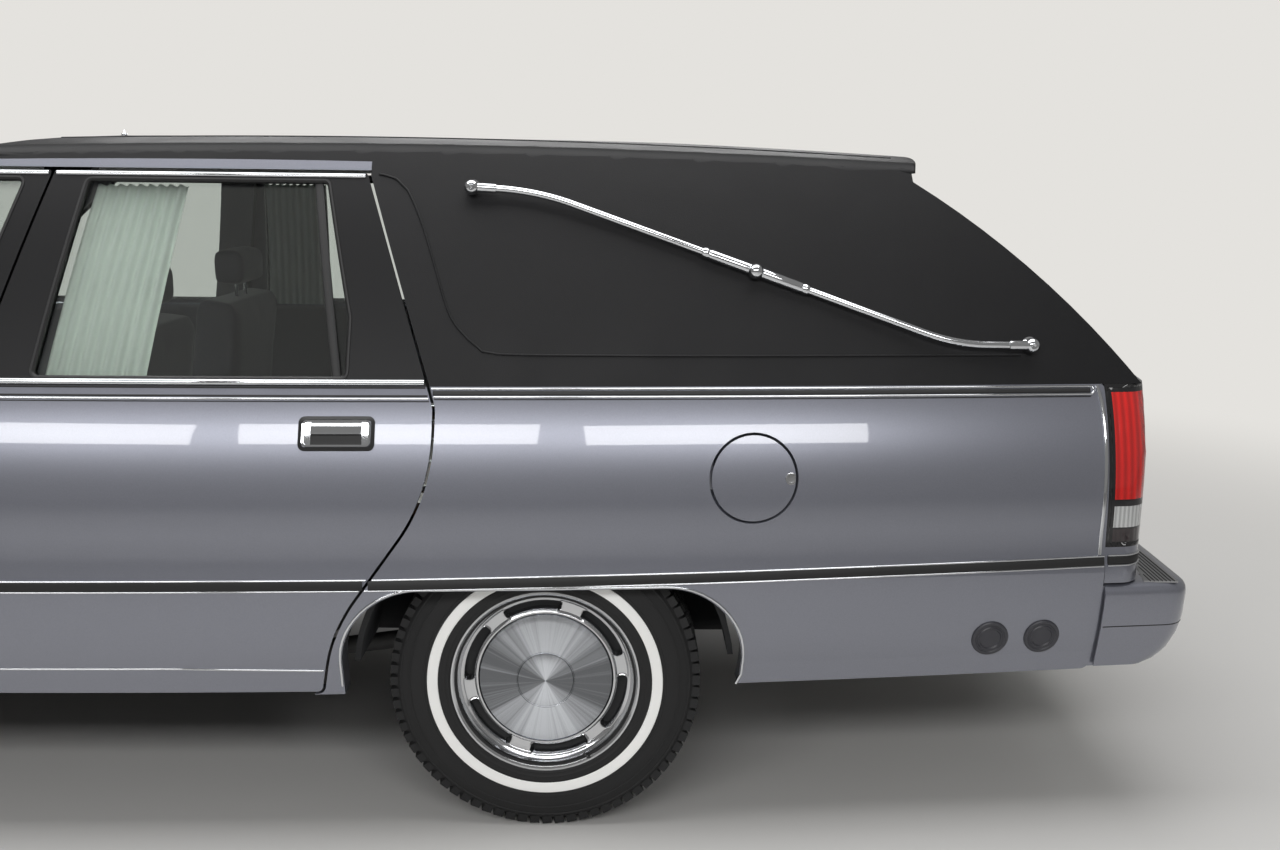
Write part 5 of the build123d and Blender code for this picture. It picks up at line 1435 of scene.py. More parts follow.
@dataclass
class PanelEdges:
    """Where the side panels part, which says what carries each stretch of trim."""

    margin: float = 3.0
    gap: float = 6.0
    front_x: float = -1010.0
    split: Sequence[Row] = ((92.0, 300.0), (92.0, 982.0), (206.0, DOOR_TOP))
    nose_x: float = -2560.0
    quarter_end_x: float = 2518.0
    rear_edge: Sequence[Point] = (
        (882.0, DOOR_TOP, 12.0), (1050.0, 950.0, 60.0), (1050.0, 779.0, 380.0),
        (836.0, 482.0, 420.0), (806.0, 333.0, 14.0))

    def spans(self, z: float) -> dict[str, Row]:
        """Say which stretch of each panel a level line at a height may cover.

        Args:
            z: height.

        Returns:
            Start and end along the car for fender, both doors and quarter.
        """
        split = read_off([(edge_z, x) for x, edge_z in self.split], z)
        rear = read_off([(edge_z, x) for x, edge_z in bent_rows(self.rear_edge, 12, closed=False)[::-1]], z)
        return {
            "fender": (self.nose_x, self.front_x - self.gap - self.margin),
            "front_door": (self.front_x + self.margin, split - self.gap - self.margin),
            "rear_door": (split + self.margin, rear - self.margin),
            "quarter": (rear + self.gap + self.margin, self.quarter_end_x - self.margin),
        }

    def carrier(self, panel: str, side: Side) -> str:
        """Name the body that carries a panel."""
        return f"{panel}_{side.word}" if "door" in panel else "body"


@dataclass
class BrightTrim:
    """Belt strips, mouldings, lips and rails along the sides."""

    edges: PanelEdges = field(default_factory=PanelEdges)
    moulding_rows: Sequence[Row] = ((-2560.0, 583.0), (174.0, 583.0), (902.0, 585.0), (1193.0, 588.0),
                                    (1617.0, 593.0), (1789.0, 596.0), (2160.0, 602.5), (2506.0, 609.5))
    moulding_half: float = 11.0
    moulding_ends: Row = (-2480.0, 2515.0)
    arch: Sequence[Point] = (
        (850.5, 200.0, 0.0), (850.5, 575.0, 170.0), (1728.5, 575.0, 170.0), (1714.5, 360.0, 30.0),
        (1688.0, 200.0, 0.0))
    front_arch_r: float = 410.0
    front_arch_gap: float = 342.0
    belt_end_x: float = 2484.0
    gutter_z: float = 1427.5
    quarter_end: Sequence[Row] = ((2501.0, 989.0), (2507.0, 960.0), (2511.0, 900.0), (2511.0, 833.0),
                                  (2509.0, 747.0), (2507.0, 690.0), (2505.0, 624.0))
    # The *_shadow rows are painted shadows: black strips laid where the beads above them cast shade.
    # Name, height, width, height above the skin, True where black
    door_strips: Sequence[tuple[str, float, float, float, bool]] = (
        ("sill_strip", 1000.0, 13.0, 6.0, False), ("sill_shadow", 990.0, 4.0, 1.6, True),
        ("belt_insert", 974.0, 4.5, 1.4, True), ("belt_bead", 968.0, 5.0, 3.2, False),
        ("belt_shadow", 963.2, 2.4, 1.0, True))
    quarter_strips: Sequence[tuple[str, float, float, float, bool]] = (
        ("quarter_bead_upper", 987.5, 5.4, 3.6, False), ("quarter_insert", 979.5, 11.0, 1.8, True),
        ("quarter_bead_lower", 971.5, 5.0, 3.4, False), ("quarter_shadow", 967.2, 2.4, 1.0, True))

    def moulding_z(self, x: float) -> float:
        """Height of the lower moulding's middle."""
        return read_off(self.moulding_rows, x)

    def run(self, name: str, rule: Callable[[float], float], profile: Sequence[Row], black: bool,
            panels: Sequence[str], limits: Row = (-5000.0, 5000.0)) -> None:
        """Lay a strip along some panels on both sides.

        Args:
            name: the strip's name.
            rule: height of its middle at a place along the car.
            profile: its section as (across, outwards).
            black: True for black plastic, False for chrome.
            panels: the panels that it crosses.
            limits: where it starts and ends along the car.
        """
        for side in Side:
            by_body: dict[str, list] = {}
            for panel in panels:
                low, high = self.edges.spans(rule(0.0))[panel]
                low, high = self.edges.spans(rule(low))[panel][0], self.edges.spans(rule(high))[panel][1]
                low, high = max(low, limits[0]), min(high, limits[1])
                if high - low >= 10:
                    part = swept(*on_flank(level_path(rule, low, high), side), profile)
                    by_body.setdefault(self.edges.carrier(panel, side), []).append(part)
            for body, parts in by_body.items():
                put(f"{name}_{body}_{side.word}", join_parts(parts), SEAL if black else CHROME, body,
                    "trim_plastic" if black else "chrome", crease=50.0)

    def lay(self, name: str, rows: Sequence[Row], width: float, height: float, side: Side, body: str) -> None:
        """Lay one bright strip along a line seen from the side.

        Args:
            name: the strip's name without its side.
            rows: its line as (x, z).
            width: its width.
            height: how far it stands proud.
            side: the side of the car.
            body: the body that carries it.
        """
        put(f"{name}_{side.word}", swept(*on_flank(rows, side), rounded_bar(width, height)), CHROME, body,
            "chrome",
            crease=50.0)

    def lower_moulding(self) -> None:
        """Black band between two bright beads, the whole length of the car."""
        panels = ("fender", "front_door", "rear_door", "quarter")
        half, (start, end) = self.moulding_half, self.moulding_ends
        band = [(half - 1, -1.0), (-half + 1, -1.0), (-half + 1, 2.4), (-half + 5, 3.6), (half - 5, 3.6),
                (half - 1, 2.4)]
        for stretch, ends in (("nose", (start, FRONT_AXLE_X - self.front_arch_gap)),
                              ("side", (FRONT_AXLE_X + self.front_arch_gap, end))):
            self.run(f"moulding_band_{stretch}", self.moulding_z, band, True, panels, ends)
            for word, lift in (("upper", half), ("lower", -half)):
                self.run(f"moulding_{word}_bead_{stretch}", lambda x, lift=lift: self.moulding_z(x) + lift,
                         rounded_bar(4.6, 4.2), False, panels, ends)

    def belt(self) -> None:
        """Bright sill strips, the twin-bead belt moulding and its black insert, joined by a rounded end."""
        for strips, panels, limits in ((self.door_strips, ("front_door", "rear_door"), (-5000.0, 5000.0)),
                                       (self.quarter_strips, ("quarter",), (0.0, self.belt_end_x))):
            for name, height, width, proud, black in strips:
                profile = rounded_bar(width, proud, 7 if name == "sill_strip" else 5)
                self.run(name, lambda x, z=height: z, profile, black, panels, limits)
        nose = [(self.belt_end_x + 8.0 * math.sin(math.pi * k / 14), 979.5 + 8.0 * math.cos(math.pi * k / 14))
                for k in range(15)]
        for side in Side:
            self.lay("belt_nose", nose, 5.0, 3.5, side, "body")

    def rails(self) -> None:
        """Bright strips above the windows and along the rockers."""
        for side in Side:
            for panel, low, high in (("front_door", -252.0, 193.0), ("rear_door", 210.0, 878.0)):
                self.lay(f"gutter_strip_{panel}", level_path(lambda x: self.gutter_z, low, high), 10.5, 4.0,
                         side,
                         f"{panel}_{side.word}")
        self.run("rocker_strip", lambda x: 393.0 - max(x - 500, 0.0) * 0.022, rounded_bar(5.5, 3.0), False,
                 ("front_door", "rear_door"))

    def lips(self) -> None:
        """Bright lips round the wheel openings and beside the tail lamps."""
        rear = [r for r in bent_rows(self.arch, 14, closed=False) if r[1] > 200]
        rear = [r for r in straight_line([(850.5, 348.0)] + rear + [(1704.0, 336.0)], 24.0) if r[1] >= 334.0]
        front = [(FRONT_AXLE_X + self.front_arch_r * math.cos(a), HUB_Z + self.front_arch_r * math.sin(a))
                 for a in [math.pi * k / 60 for k in range(61)]]
        front = [r for r in front if r[1] > 345.0]
        for side in Side:
            self.lay("rear_arch_lip", rear, 6.5, 3.6, side, "body")
            self.lay("front_arch_lip", front, 6.5, 3.6, side, "body")
            self.lay("quarter_end_strip", smooth_line(self.quarter_end), 9.0, 3.6, side, "body")

    def build(self) -> None:
        """Lay all the side trim."""
        self.lower_moulding()
        self.belt()
        self.rails()
        self.lips()


@dataclass
class WindowTrim:
    """Rubber channels round the door windows and the division bar of the rear ones."""

    windows: Sequence[tuple[str, Sequence[Point]]] = (
        ("front_door", ((-735.0, 1008.0, 14.0), (-205.0, 1417.0, 24.0), (145.0, 1417.0, 14.0),
                        (40.0, 1008.0, 14.0))),
        ("rear_door", ((213.0, 1008.0, 14.0), (277.0, 1417.0, 14.0), (800.0, 1417.0, 14.0),
                       (868.0, 1130.0, 20.0), (868.0, 1008.0, 14.0))))
    channel: Sequence[Row] = ((4.0, -9.0), (-5.0, -9.0), (-5.0, -2.0), (-1.0, 1.6), (3.0, 1.6), (4.0, 0.0))
    bar: Sequence[Row] = ((9.0, 0.0), (-9.0, 0.0), (-9.0, 7.0), (-6.0, 9.0), (6.0, 9.0), (9.0, 7.0))
    bar_line: Sequence[Row] = ((778.0, 1412.0), (846.0, 1012.0))
    bar_inset: float = 13.0

    def build(self) -> None:
        """Make the channels and bars on both sides."""
        for side in Side:
            for door, corners in self.windows:
                channel = swept(*on_flank(closed_rows(corners, 40.0), side), self.channel, looped=True)
                put(f"{door}_channel_{side.word}", channel, SEAL, f"{door}_{side.word}", "trim_plastic",
                    crease=40.0)
            bar = swept(*on_flank(straight_line(self.bar_line, 50.0), side, -self.bar_inset), self.bar)
            put(f"division_bar_{side.word}", bar, SEAL, f"rear_door_{side.word}", "trim_plastic", crease=40.0)


@dataclass
class DoorHandle:
    """Lift-flap door handle: black surround, bright bezel, dark well and bright flap."""

    half: float = 78.5
    tall: float = 34.0
    middle_z: float = 900.0
    doors: Sequence[tuple[str, float]] = (("front_door", -111.0), ("rear_door", 854.5))

    def band(self, x: float, side: Side, outer: Row, inner: Row, levels: Row) -> Mesh:
        """Make a flat ring between two rounded rectangles.

        Args:
            x: the handle's middle along the car.
            side: the side of the car.
            outer: inset and corner radius of the outer edge.
            inner: inset and corner radius of the inner edge.
            levels: how far the outer and inner edges stand proud.

        Returns:
            Points and faces of the ring with its side walls.
        """
        rings = []
        for (inset, radius), proud in ((outer, -1.0), (outer, levels[0]), (inner, levels[1]), (inner, -1.0)):
            a, b = self.half - inset, self.tall - inset
            rows = bent_rows([(-a, -b, radius), (-a, b, radius), (a, b, radius), (a, -b, radius)], 6)
            rings.append([FLANK.at(x + u, self.middle_z + v, proud, side) for u, v in rows])
        return loft(rings, looped=True)

    def plate(self, x: float, side: Side, ends: Row, heights: Row, levels: Point) -> Mesh:
        """Make a bowed plate over the well.

        Args:
            x: the handle's middle along the car.
            side: the side of the car.
            ends: its ends along the car from the middle.
            heights: its lower and upper edges from the middle.
            levels: how far its lower edge, middle and upper edge stand proud.

        Returns:
            Points and faces of a closed plate.
        """
        rings = []
        for t in (k / 8 for k in range(9)):
            z = self.middle_z + heights[0] + (heights[1] - heights[0]) * t
            proud = levels[0] * (1 - t) ** 2 + 2 * levels[1] * t * (1 - t) + levels[2] * t * t
            rings.append([FLANK.at(x + u, z, depth, side) for u, depth in (
                (ends[0], proud), (ends[1], proud), (ends[1], -0.8), (ends[0], -0.8))])
        return loft(rings)

    def build(self) -> None:
        """Make all four handles."""
        half, top = self.half - 12, self.tall - 12
        for side in Side:
            for door, x in self.doors:
                parts = (
                    ("surround", [self.band(x, side, (0.0, 13.0), (7.0, 9.0), (2.5, 6.0))], SEAL),
                    ("bezel", [
                        self.band(x, side, (8.0, 9.0), (12.0, 6.0), (6.5, 5.0)),
                        self.plate(x, side, (-half, 14 - half), (-top, top), (2.0, 3.0, 4.0)),
                        self.plate(x, side, (half - 14, half), (-top, top), (2.0, 3.0, 4.0)),
                        self.plate(x, side, (14 - half, half - 14), (-2.0, top), (9.5, 9.0, 2.0))], CHROME),
                    ("well", [self.plate(x, side, (14 - half, half - 14), (-top, -1.0), (1.0, 0.8, 1.0))],
                     SEAL))
                for word, meshes, finish in parts:
                    put(f"{door}_handle_{word}_{side.word}", join_parts(meshes), finish,
                        f"{door}_{side.word}",
                        "chrome" if finish is CHROME else "trim_plastic", crease=32.0)


@dataclass
class QuarterDetails:
    """Small things on the rear quarters and roof: the fuel door's notch, round plugs, welt and roof seams."""

    notch_x: float = 1809.5
    notch_z: float = 804.0
    fuel_door_end: float = 1818.5
    notch: Sequence[Row] = ((13.0, -0.5), (12.6, 1.0), (11.0, 1.3), (8.0, 0.7), (4.0, 0.4), (0.01, 0.3))
    plugs: Sequence[Point] = ((2269.5, 434.0, 42.0), (2388.5, 435.0, 41.0))
    # Inset from the plug's rim, outwards
    plug: Sequence[Row] = ((0.0, -0.6), (0.6, 2.4), (3.0, 4.2), (8.0, 4.4), (10.0, 2.6), (12.5, 2.4),
                           (14.5, 4.4), (17.0, 4.2), (19.0, 1.6), (26.0, 0.9))
    welt: Sequence[Row] = ((908.0, 1432.0), (946.0, 1422.0), (972.0, 1398.0), (1006.0, 1332.0),
                           (1035.0, 1255.0), (1063.0, 1173.0), (1080.0, 1133.0), (1102.0, 1104.0),
                           (1139.0, 1072.0), (1182.0, 1058.0), (1409.0, 1055.0), (1700.0, 1054.0),
                           (2000.0, 1054.0), (2330.0, 1054.0))
    seam_y: float = 430.0
    seam_x: tuple[int, int] = (110, 2120)

    def dish(self, x: float, z: float, side: Side, rows: Sequence[Row], steps: int) -> Mesh:
        """Turn a section of (radius, outwards) about a point of the flank."""
        return turned(rows, steps, lambda a, b, proud: FLANK.at(x + a, z + b, proud, side))

    def build(self) -> None:
        """Make all of them."""
        for side in Side:
            y = side.value * self.seam_y
            path = [Vector((x, y, CAP_ROOF.top(x, y))) for x in range(*self.seam_x, 30)]
            seam = swept(path, [CAP_ROOF.normal(*p) for p in path], rounded_bar(6.0, 2.2))
            put(f"vinyl_roof_seam_{side.word}", seam, VINYL, "body", "vinyl", crease=50.0)
        verts, faces = self.dish(self.notch_x, self.notch_z, Side.LEFT, self.notch, 28)
        verts = [Vector((min(v.x, self.fuel_door_end), v.y, v.z)) for v in verts]
        put("fuel_door_notch", (verts, faces), POLISHED, "fuel_door", "chrome", crease=30.0)
        for side in Side:
            plugs = [self.dish(x, z, side, [(radius - inset, proud) for inset, proud in self.plug]
                               + [(6.0, 0.8), (0.01, 0.8)], 56) for x, z, radius in self.plugs]
            put(f"quarter_plugs_{side.word}", join_parts(plugs), PLUG_RUBBER, "body", "trim_plastic",
                crease=30.0)
        for side in Side:
            welt = swept(*on_flank(smooth_line(self.welt, 18.0), side), rounded_bar(5.0, 2.6, 7))
            put(f"vinyl_welt_{side.word}", welt, VINYL, "body", "vinyl", crease=50.0)


@dataclass
class LandauBars:
    """The bright S-shaped bars on the rear quarters, with balls, ferrules and centre sleeve."""

    points: Sequence[Row] = ((1114.5, 1406.0), (1256.5, 1399.0), (2177.5, 1080.0), (2350.5, 1077.0))
    stand: float = 22.0
    radius: float = 8.5
    bends: Row = (560.0, 380.0)
    ball_r: float = 17.0
    # Sections as (radius, along)
    ferrule: Sequence[Row] = ((0.01, -22.0), (9.0, -22.0), (10.6, -21.0), (10.8, -15.0), (10.8, 15.0),
                              (10.6, 21.0), (9.0, 22.0), (0.01, 22.0))
    sleeve: Sequence[Row] = ((0.01, -125.0), (9.4, -125.0), (11.8, -121.0), (12.0, -112.0), (10.9, -110.0),
                             (10.9, -107.0), (12.0, -105.0), (12.0, 105.0), (10.9, 107.0), (10.9, 110.0),
                             (12.0, 112.0), (11.8, 121.0), (9.4, 125.0), (0.01, 125.0))
    foot: Sequence[Row] = ((0.01, -2.0), (17.0, -2.0), (17.0, 1.5), (14.0, 3.5), (10.0, 5.0), (9.0, 20.0),
                           (0.01, 20.0))
    cap: Sequence[Row] = ((0.01, 0.0), (6.5, 0.0), (6.0, 1.6), (1.6, 1.6), (0.01, 0.9))

    def path(self, side: Side) -> list[Vector]:
        """Give the bar's middle line.

        Args:
            side: the side of the car.

        Returns:
            Its points from front to rear.
        """
        a, b, c, d = [Vector((x, FLANK.at(x, z).y - self.stand, z)) for x, z in self.points]
        line = [a, *bend(a, b, c, self.bends[0], 12), *bend(b, c, d, self.bends[1], 12), d]
        dense = []
        for p, q in zip(line, line[1:]):
            count = max(1, int((q - p).length / 30))
            dense += [p.lerp(q, k / count) for k in range(count)]
        return mirrored(dense + [d], side)

    def collar(self, centre: Vector, along: Vector, rows: Sequence[Row]) -> Mesh:
        """Turn a section of (radius, along) about a line.

        Args:
            centre: a point of the line.
            along: the line's direction.
            rows: the section.

        Returns:
            Points and faces.
        """
        square = along.cross(Vector((0.0, 1.0, 0.2))).normalized()
        other = along.cross(square)
        return turned(rows, 28, lambda a, b, u: centre + along * u + square * a + other * b)

    def build(self) -> None:
        """Make both bars."""
        ball = [(max(self.ball_r * math.sin(a), 0.01), self.ball_r * math.cos(a))
                for a in [math.pi * k / 16 for k in range(17)]]
        for side in Side:
            path = self.path(side)
            out = Vector((0.0, float(side.value), 0.0))
            first, last = path[0], path[-1]
            at = min(range(len(path)), key=lambda k: abs(path[k].x - (first.x + last.x) / 2))
            along = (path[at + 3] - path[at - 3]).normalized()
            parts = [tube(path, self.radius, 18), self.collar(path[at] + out * 7.8, along, ball),
                     self.collar(path[at], along, self.sleeve)]
            for end, near in ((first, path[2]), (last, path[-3])):
                way = (near - end).normalized()
                skin = Vector((end.x, FLANK.at(end.x, end.z, 0.0, side).y, end.z))
                parts += [self.collar(end, way, ball), self.collar(end + way * 32.0, way, self.ferrule),
                          self.collar(skin, out, self.foot), self.collar(end + out * 15.6, out, self.cap)]
            put(f"landau_bar_{side.word}", join_parts(parts), CHROME, "body", "chrome",
                *(["landau_bars"] if side is Side.LEFT else []), crease=42.0)


@dataclass
class RoadWheel:
    """A wheel with its slotted cover, and its whitewall tyre. Sections are rows of (radius, outwards)."""

    end: str
    side: Side
    x: float
    centre_y: float
    tread: RingOfBlocks
    slots: int = 6
    slot_start: float = 40.0
    slot_half: float = 22.0
    slot_radii: Row = (158.0, 180.0)
    slot_depth: float = 24.0
    rim_height: float = 2.6
    rim_reach: float = 3.5
    lugs: int = 76
    valve_angle: float = -62.0
    cover: Sequence[Row] = ((147.5, 69.0), (149.5, 74.0), (153.0, 75.0), (156.0, 71.0), (158.0, 68.5),
                            (169.0, 69.0), (180.0, 71.0), (183.0, 75.0), (187.0, 77.5), (191.0, 76.0),
                            (194.0, 86.0), (198.0, 97.0), (203.0, 102.0), (207.0, 101.5), (209.0, 98.0))
    cover_radii: Sequence[float] = (
        147.5, 149.5, 151.5, 153.5, 155.0, 156.5, 158.0, 160.0, 163.0, 166.0, 169.0, 172.0, 175.0, 178.0,
        180.0, 181.5, 183.0, 185.0, 187.0, 189.0, 191.0, 192.5, 194.0, 196.0, 198.0, 200.5, 203.0, 205.0,
        207.0, 209.0)
    disc: Sequence[Row] = ((0.01, 92.5), (20.0, 92.0), (40.0, 90.6), (56.0, 88.4), (60.5, 87.4), (62.0, 85.8),
                           (63.6, 85.8), (65.0, 86.8), (100.0, 82.6), (130.0, 79.0), (142.0, 77.4),
                           (145.5, 76.4), (147.2, 74.0), (147.6, 69.0))
    barrel: Sequence[Row] = ((0.01, -19.5), (72.0, -19.5), (90.0, 30.0), (150.0, 46.0), (178.0, 52.0),
                             (184.0, 60.0), (181.0, 22.0), (181.0, -62.0), (193.0, -92.0), (206.0, -98.0),
                             (208.0, -103.0), (200.0, -100.0), (189.0, -84.0), (184.0, -60.0), (184.0, 20.0),
                             (188.0, 60.0), (194.0, 84.0), (200.0, 92.0), (205.0, 97.0), (209.0, 98.0))
    carcass: Sequence[Row] = (
        (194.0, -95.0), (206.0, -100.0), (214.0, -104.0), (232.0, -106.0), (256.0, -106.8), (280.0, -106.0),
        (302.0, -101.0), (318.0, -94.0), (328.0, -86.0), (334.0, -78.0), (335.0, -52.0), (335.0, 52.0),
        (334.0, 78.0), (328.0, 86.0), (322.0, 91.5), (319.5, 93.6), (318.0, 95.8), (315.5, 96.6),
        (313.5, 95.6), (302.0, 100.6), (298.0, 102.0), (296.6, 103.4), (294.6, 103.6), (293.4, 102.6),
        (284.0, 104.6), (270.0, 106.2), (266.8, 106.2), (265.8, 107.0), (263.8, 107.0), (262.8, 106.0),
        (259.5, 106.2), (257.8, 105.6), (234.4, 105.2), (232.6, 106.2), (228.0, 106.0), (222.0, 105.8),
        (220.0, 106.4), (218.0, 105.4), (214.0, 104.6), (211.0, 105.0), (206.0, 100.5), (194.0, 96.0),
        (194.0, 85.0), (262.0, 92.0), (318.0, 72.0), (326.0, 30.0), (326.0, -30.0), (318.0, -72.0),
        (262.0, -92.0), (194.0, -85.0))
    white: Sequence[Row] = ((257.8, 105.6), (256.6, 107.0), (250.0, 107.3), (240.0, 107.1), (235.8, 106.6),
                            (234.4, 105.2), (235.8, 105.4), (240.0, 105.9), (250.0, 106.1), (256.6, 105.8))
    # Name, place across, block, skew, phase, blocks fewer than the lugs, radius
    tread_rows: Sequence[tuple[str, float, Point, float, float, int, float]] = (
        ("shoulder_out", 74.0, (17.0, 34.0, 21.0), 0.16, 0.0, 0, 331.5),
        ("shoulder_in", -74.0, (17.0, 34.0, 21.0), -0.16, 0.03, 0, 331.5),
        ("rib_out", 39.0, (13.0, 25.0, 24.0), -0.25, 0.05, 4, 335.0),
        ("rib_in", -39.0, (13.0, 25.0, 24.0), 0.25, 0.02, 4, 335.0),
        ("rib_middle", 0.0, (13.0, 31.0, 25.0), 0.3, 0.0, 4, 335.5))

    @property
    def word(self) -> str:
        """The wheel's place in names."""
        return f"{self.end}_{self.side.word}"

    @property
    def body(self) -> str:
        """The body that the wheel is."""
        return f"{self.end}_wheel_{self.side.word}"

    @property
    def centre(self) -> Point:
        """The wheel's middle."""
        return self.x, self.side.value * self.centre_y, HUB_Z

    def at(self, a: float, b: float, out: float) -> Point:
        """Give the point at two distances from the axle's line and one outwards."""
        cx, cy, cz = self.centre
        return cx + a, cy + self.side.value * out, cz + b

    def pressed(self, r: float, angle: float) -> float:
        """How deep the cover is pressed in at a radius and an angle, for its slots and their raised rims.

        Args:
            r: distance from the axle.
            angle: angle about the axle in degrees.

        Returns:
            The depth, below 0 where a rim stands proud.
        """
        middle = (self.slot_radii[0] + self.slot_radii[1]) / 2
        half_wide = (self.slot_radii[1] - self.slot_radii[0]) / 2
        pitch = 360 / self.slots
        turn = (angle - self.slot_start + pitch / 2) % pitch - pitch / 2
        along = abs(math.radians(turn)) * middle
        reach = math.radians(self.slot_half) * middle - half_wide
        distance = math.hypot(max(along - reach, 0.0), r - middle) - half_wide
        if distance > self.rim_reach:
            return 0.0
        if distance > 0.0:
            return -self.rim_height * math.sin(math.pi * (self.rim_reach - distance) / (2 * self.rim_reach))
        return -self.rim_height + min(-distance / 2.0, 1.0) * self.slot_depth

    def slotted_ring(self) -> None:
        """Press the ring with its slots, whose floors are black."""
        radii, steps = self.cover_radii, 360
        verts = []
        for k in range(steps):
            angle = math.radians(k)
            verts += [self.at(r * math.cos(angle), r * math.sin(angle),
                              read_off(self.cover, r) - self.pressed(r, k))
                      for r in radii]
        ring = mesh_object(f"wheel_ring_{self.word}", verts, net_faces(steps, len(radii), True),
                           [POLISHED, SEAL], 50.0)
        deep = [self.pressed((ra + rb) / 2, k + 0.5) > 12.0 for k in range(steps)
                for ra, rb in zip(radii, radii[1:])]
        for face, floor in zip(ring.data.polygons, deep):
            face.material_index = int(floor)
        settle(ring, self.body, "wheel_steel")

    def dress_wheel(self) -> None:
        """Build the cover's disc, slotted ring, rim, barrel and valve in place of the plain wheel."""
        steel = SpunSteel(f"spun_cover_steel_{self.word}", "#B9BCC1", 1.0, 0.26, centre=self.centre,
                          ring_mm=1.2)
        put(f"wheel_cover_{self.word}", turned(self.disc, 120, self.at), steel, self.body, "wheel_steel",
            f"wheel_{self.word}", crease=25.0)
        self.slotted_ring()
        put(f"wheel_barrel_{self.word}", turned(self.barrel, 72, self.at), CHASSIS, self.body, "wheel_steel",
            crease=30.0)
        angle = math.radians(self.valve_angle)
        foot, tip = (Vector(self.at(r * math.cos(angle), r * math.sin(angle), out))
                     for r, out in ((200.0, 88.0), (184.0, 112.0)))
        stem = join_parts([tube([foot, foot.lerp(tip, 0.6)], 4.5), tube([foot.lerp(tip, 0.6), tip], 3.2)])
        put(f"valve_{self.word}", stem, SEAL, self.body, "tyre")

    def dress_tyre(self) -> None:
        """Build the tyre's carcass, its white band and its tread in place of the plain tyre."""
        put(f"tyre_carcass_{self.word}", turned(self.carcass, 120, self.at), TYRE, self.body, "tyre",
            f"tyre_{self.word}", crease=34.0)
        put(f"tyre_whitewall_{self.word}", turned(self.white, 140, self.at), WHITEWALL, self.body, "tyre",
            crease=34.0)
        parts = []
        for name, across, block, skew, phase, fewer, radius in self.tread_rows:
            row = self.tread.run(
                f"tread_{name}_{self.word}", TYRE, Count=self.lugs - fewer, Radius=radius * MM,
                Block=[b * MM for b in block], Skew=skew * self.side.value, Phase=phase,
                Centre=[c * MM for c in self.at(0.0, 0.0, across)])
            parts.append(([Vector(v.co) / MM for v in row.data.vertices],
                          [list(face.vertices) for face in row.data.polygons]))
            bpy.data.objects.remove(row)
        verts, faces = join_parts(parts)
        limit = HUB_Z - 0.3
        for v in verts:
            reach = math.hypot(v.x - self.x, v.z - HUB_Z)
            if reach > limit:
                v.x, v.z = self.x + (v.x - self.x) * limit / reach, HUB_Z + (v.z - HUB_Z) * limit / reach
        put(f"tyre_tread_{self.word}", (verts, faces), TYRE, self.body, "tyre", crease=30.0)

    def build(self) -> None:
        """Make the wheel and its tyre."""
        self.dress_wheel()
        self.dress_tyre()


@dataclass
class Lamps:
    """Tail lamps, headlamps and their frames."""

    levels: Sequence[tuple[Finish, float, float]] = (
        (LAMP_RED, 747.0, 975.0), (LAMP_WHITE, 684.0, 732.0), (LAMP_DARK, 652.5, 680.0))
    frame_x: float = 2533.0
    frame_in: float = 716.0
    amber_y: float = 712.0

    def tail(self) -> None:
        """Colour the tail lamps' levels inside a black frame."""
        piece = panel_copy("tail_lamps", "tail_lamp_lenses", LAMP_FRAME, 30.0)
        split_at(piece, [("x", self.frame_x)] + [("z", z) for _, *pair in self.levels for z in pair], 30.0)
        for finish, low, high in self.levels:
            recolour(piece, finish, lambda x, y, z, normal, low=low, high=high: (
                x >= self.frame_x and abs(y) >= self.frame_in and low < z < high))
        settle(piece, "body", "lamp_lens", "tail_lamps")

    def head(self) -> None:
        """Give the headlamps a clear lens with an amber end, in front of a bright bowl."""
        piece = panel_copy("headlamps", "headlamp_lenses", LAMP_CLEAR, 30.0)
        split_at(piece, [("y", self.amber_y), ("y", -self.amber_y)], 30.0)
        recolour(piece, LAMP_AMBER, lambda x, y, z, normal: abs(y) > self.amber_y)
        settle(piece, "body", "lamp_glass", "headlamps")

    def build(self) -> None:
        """Make all lamps."""
        self.tail()
        self.head()


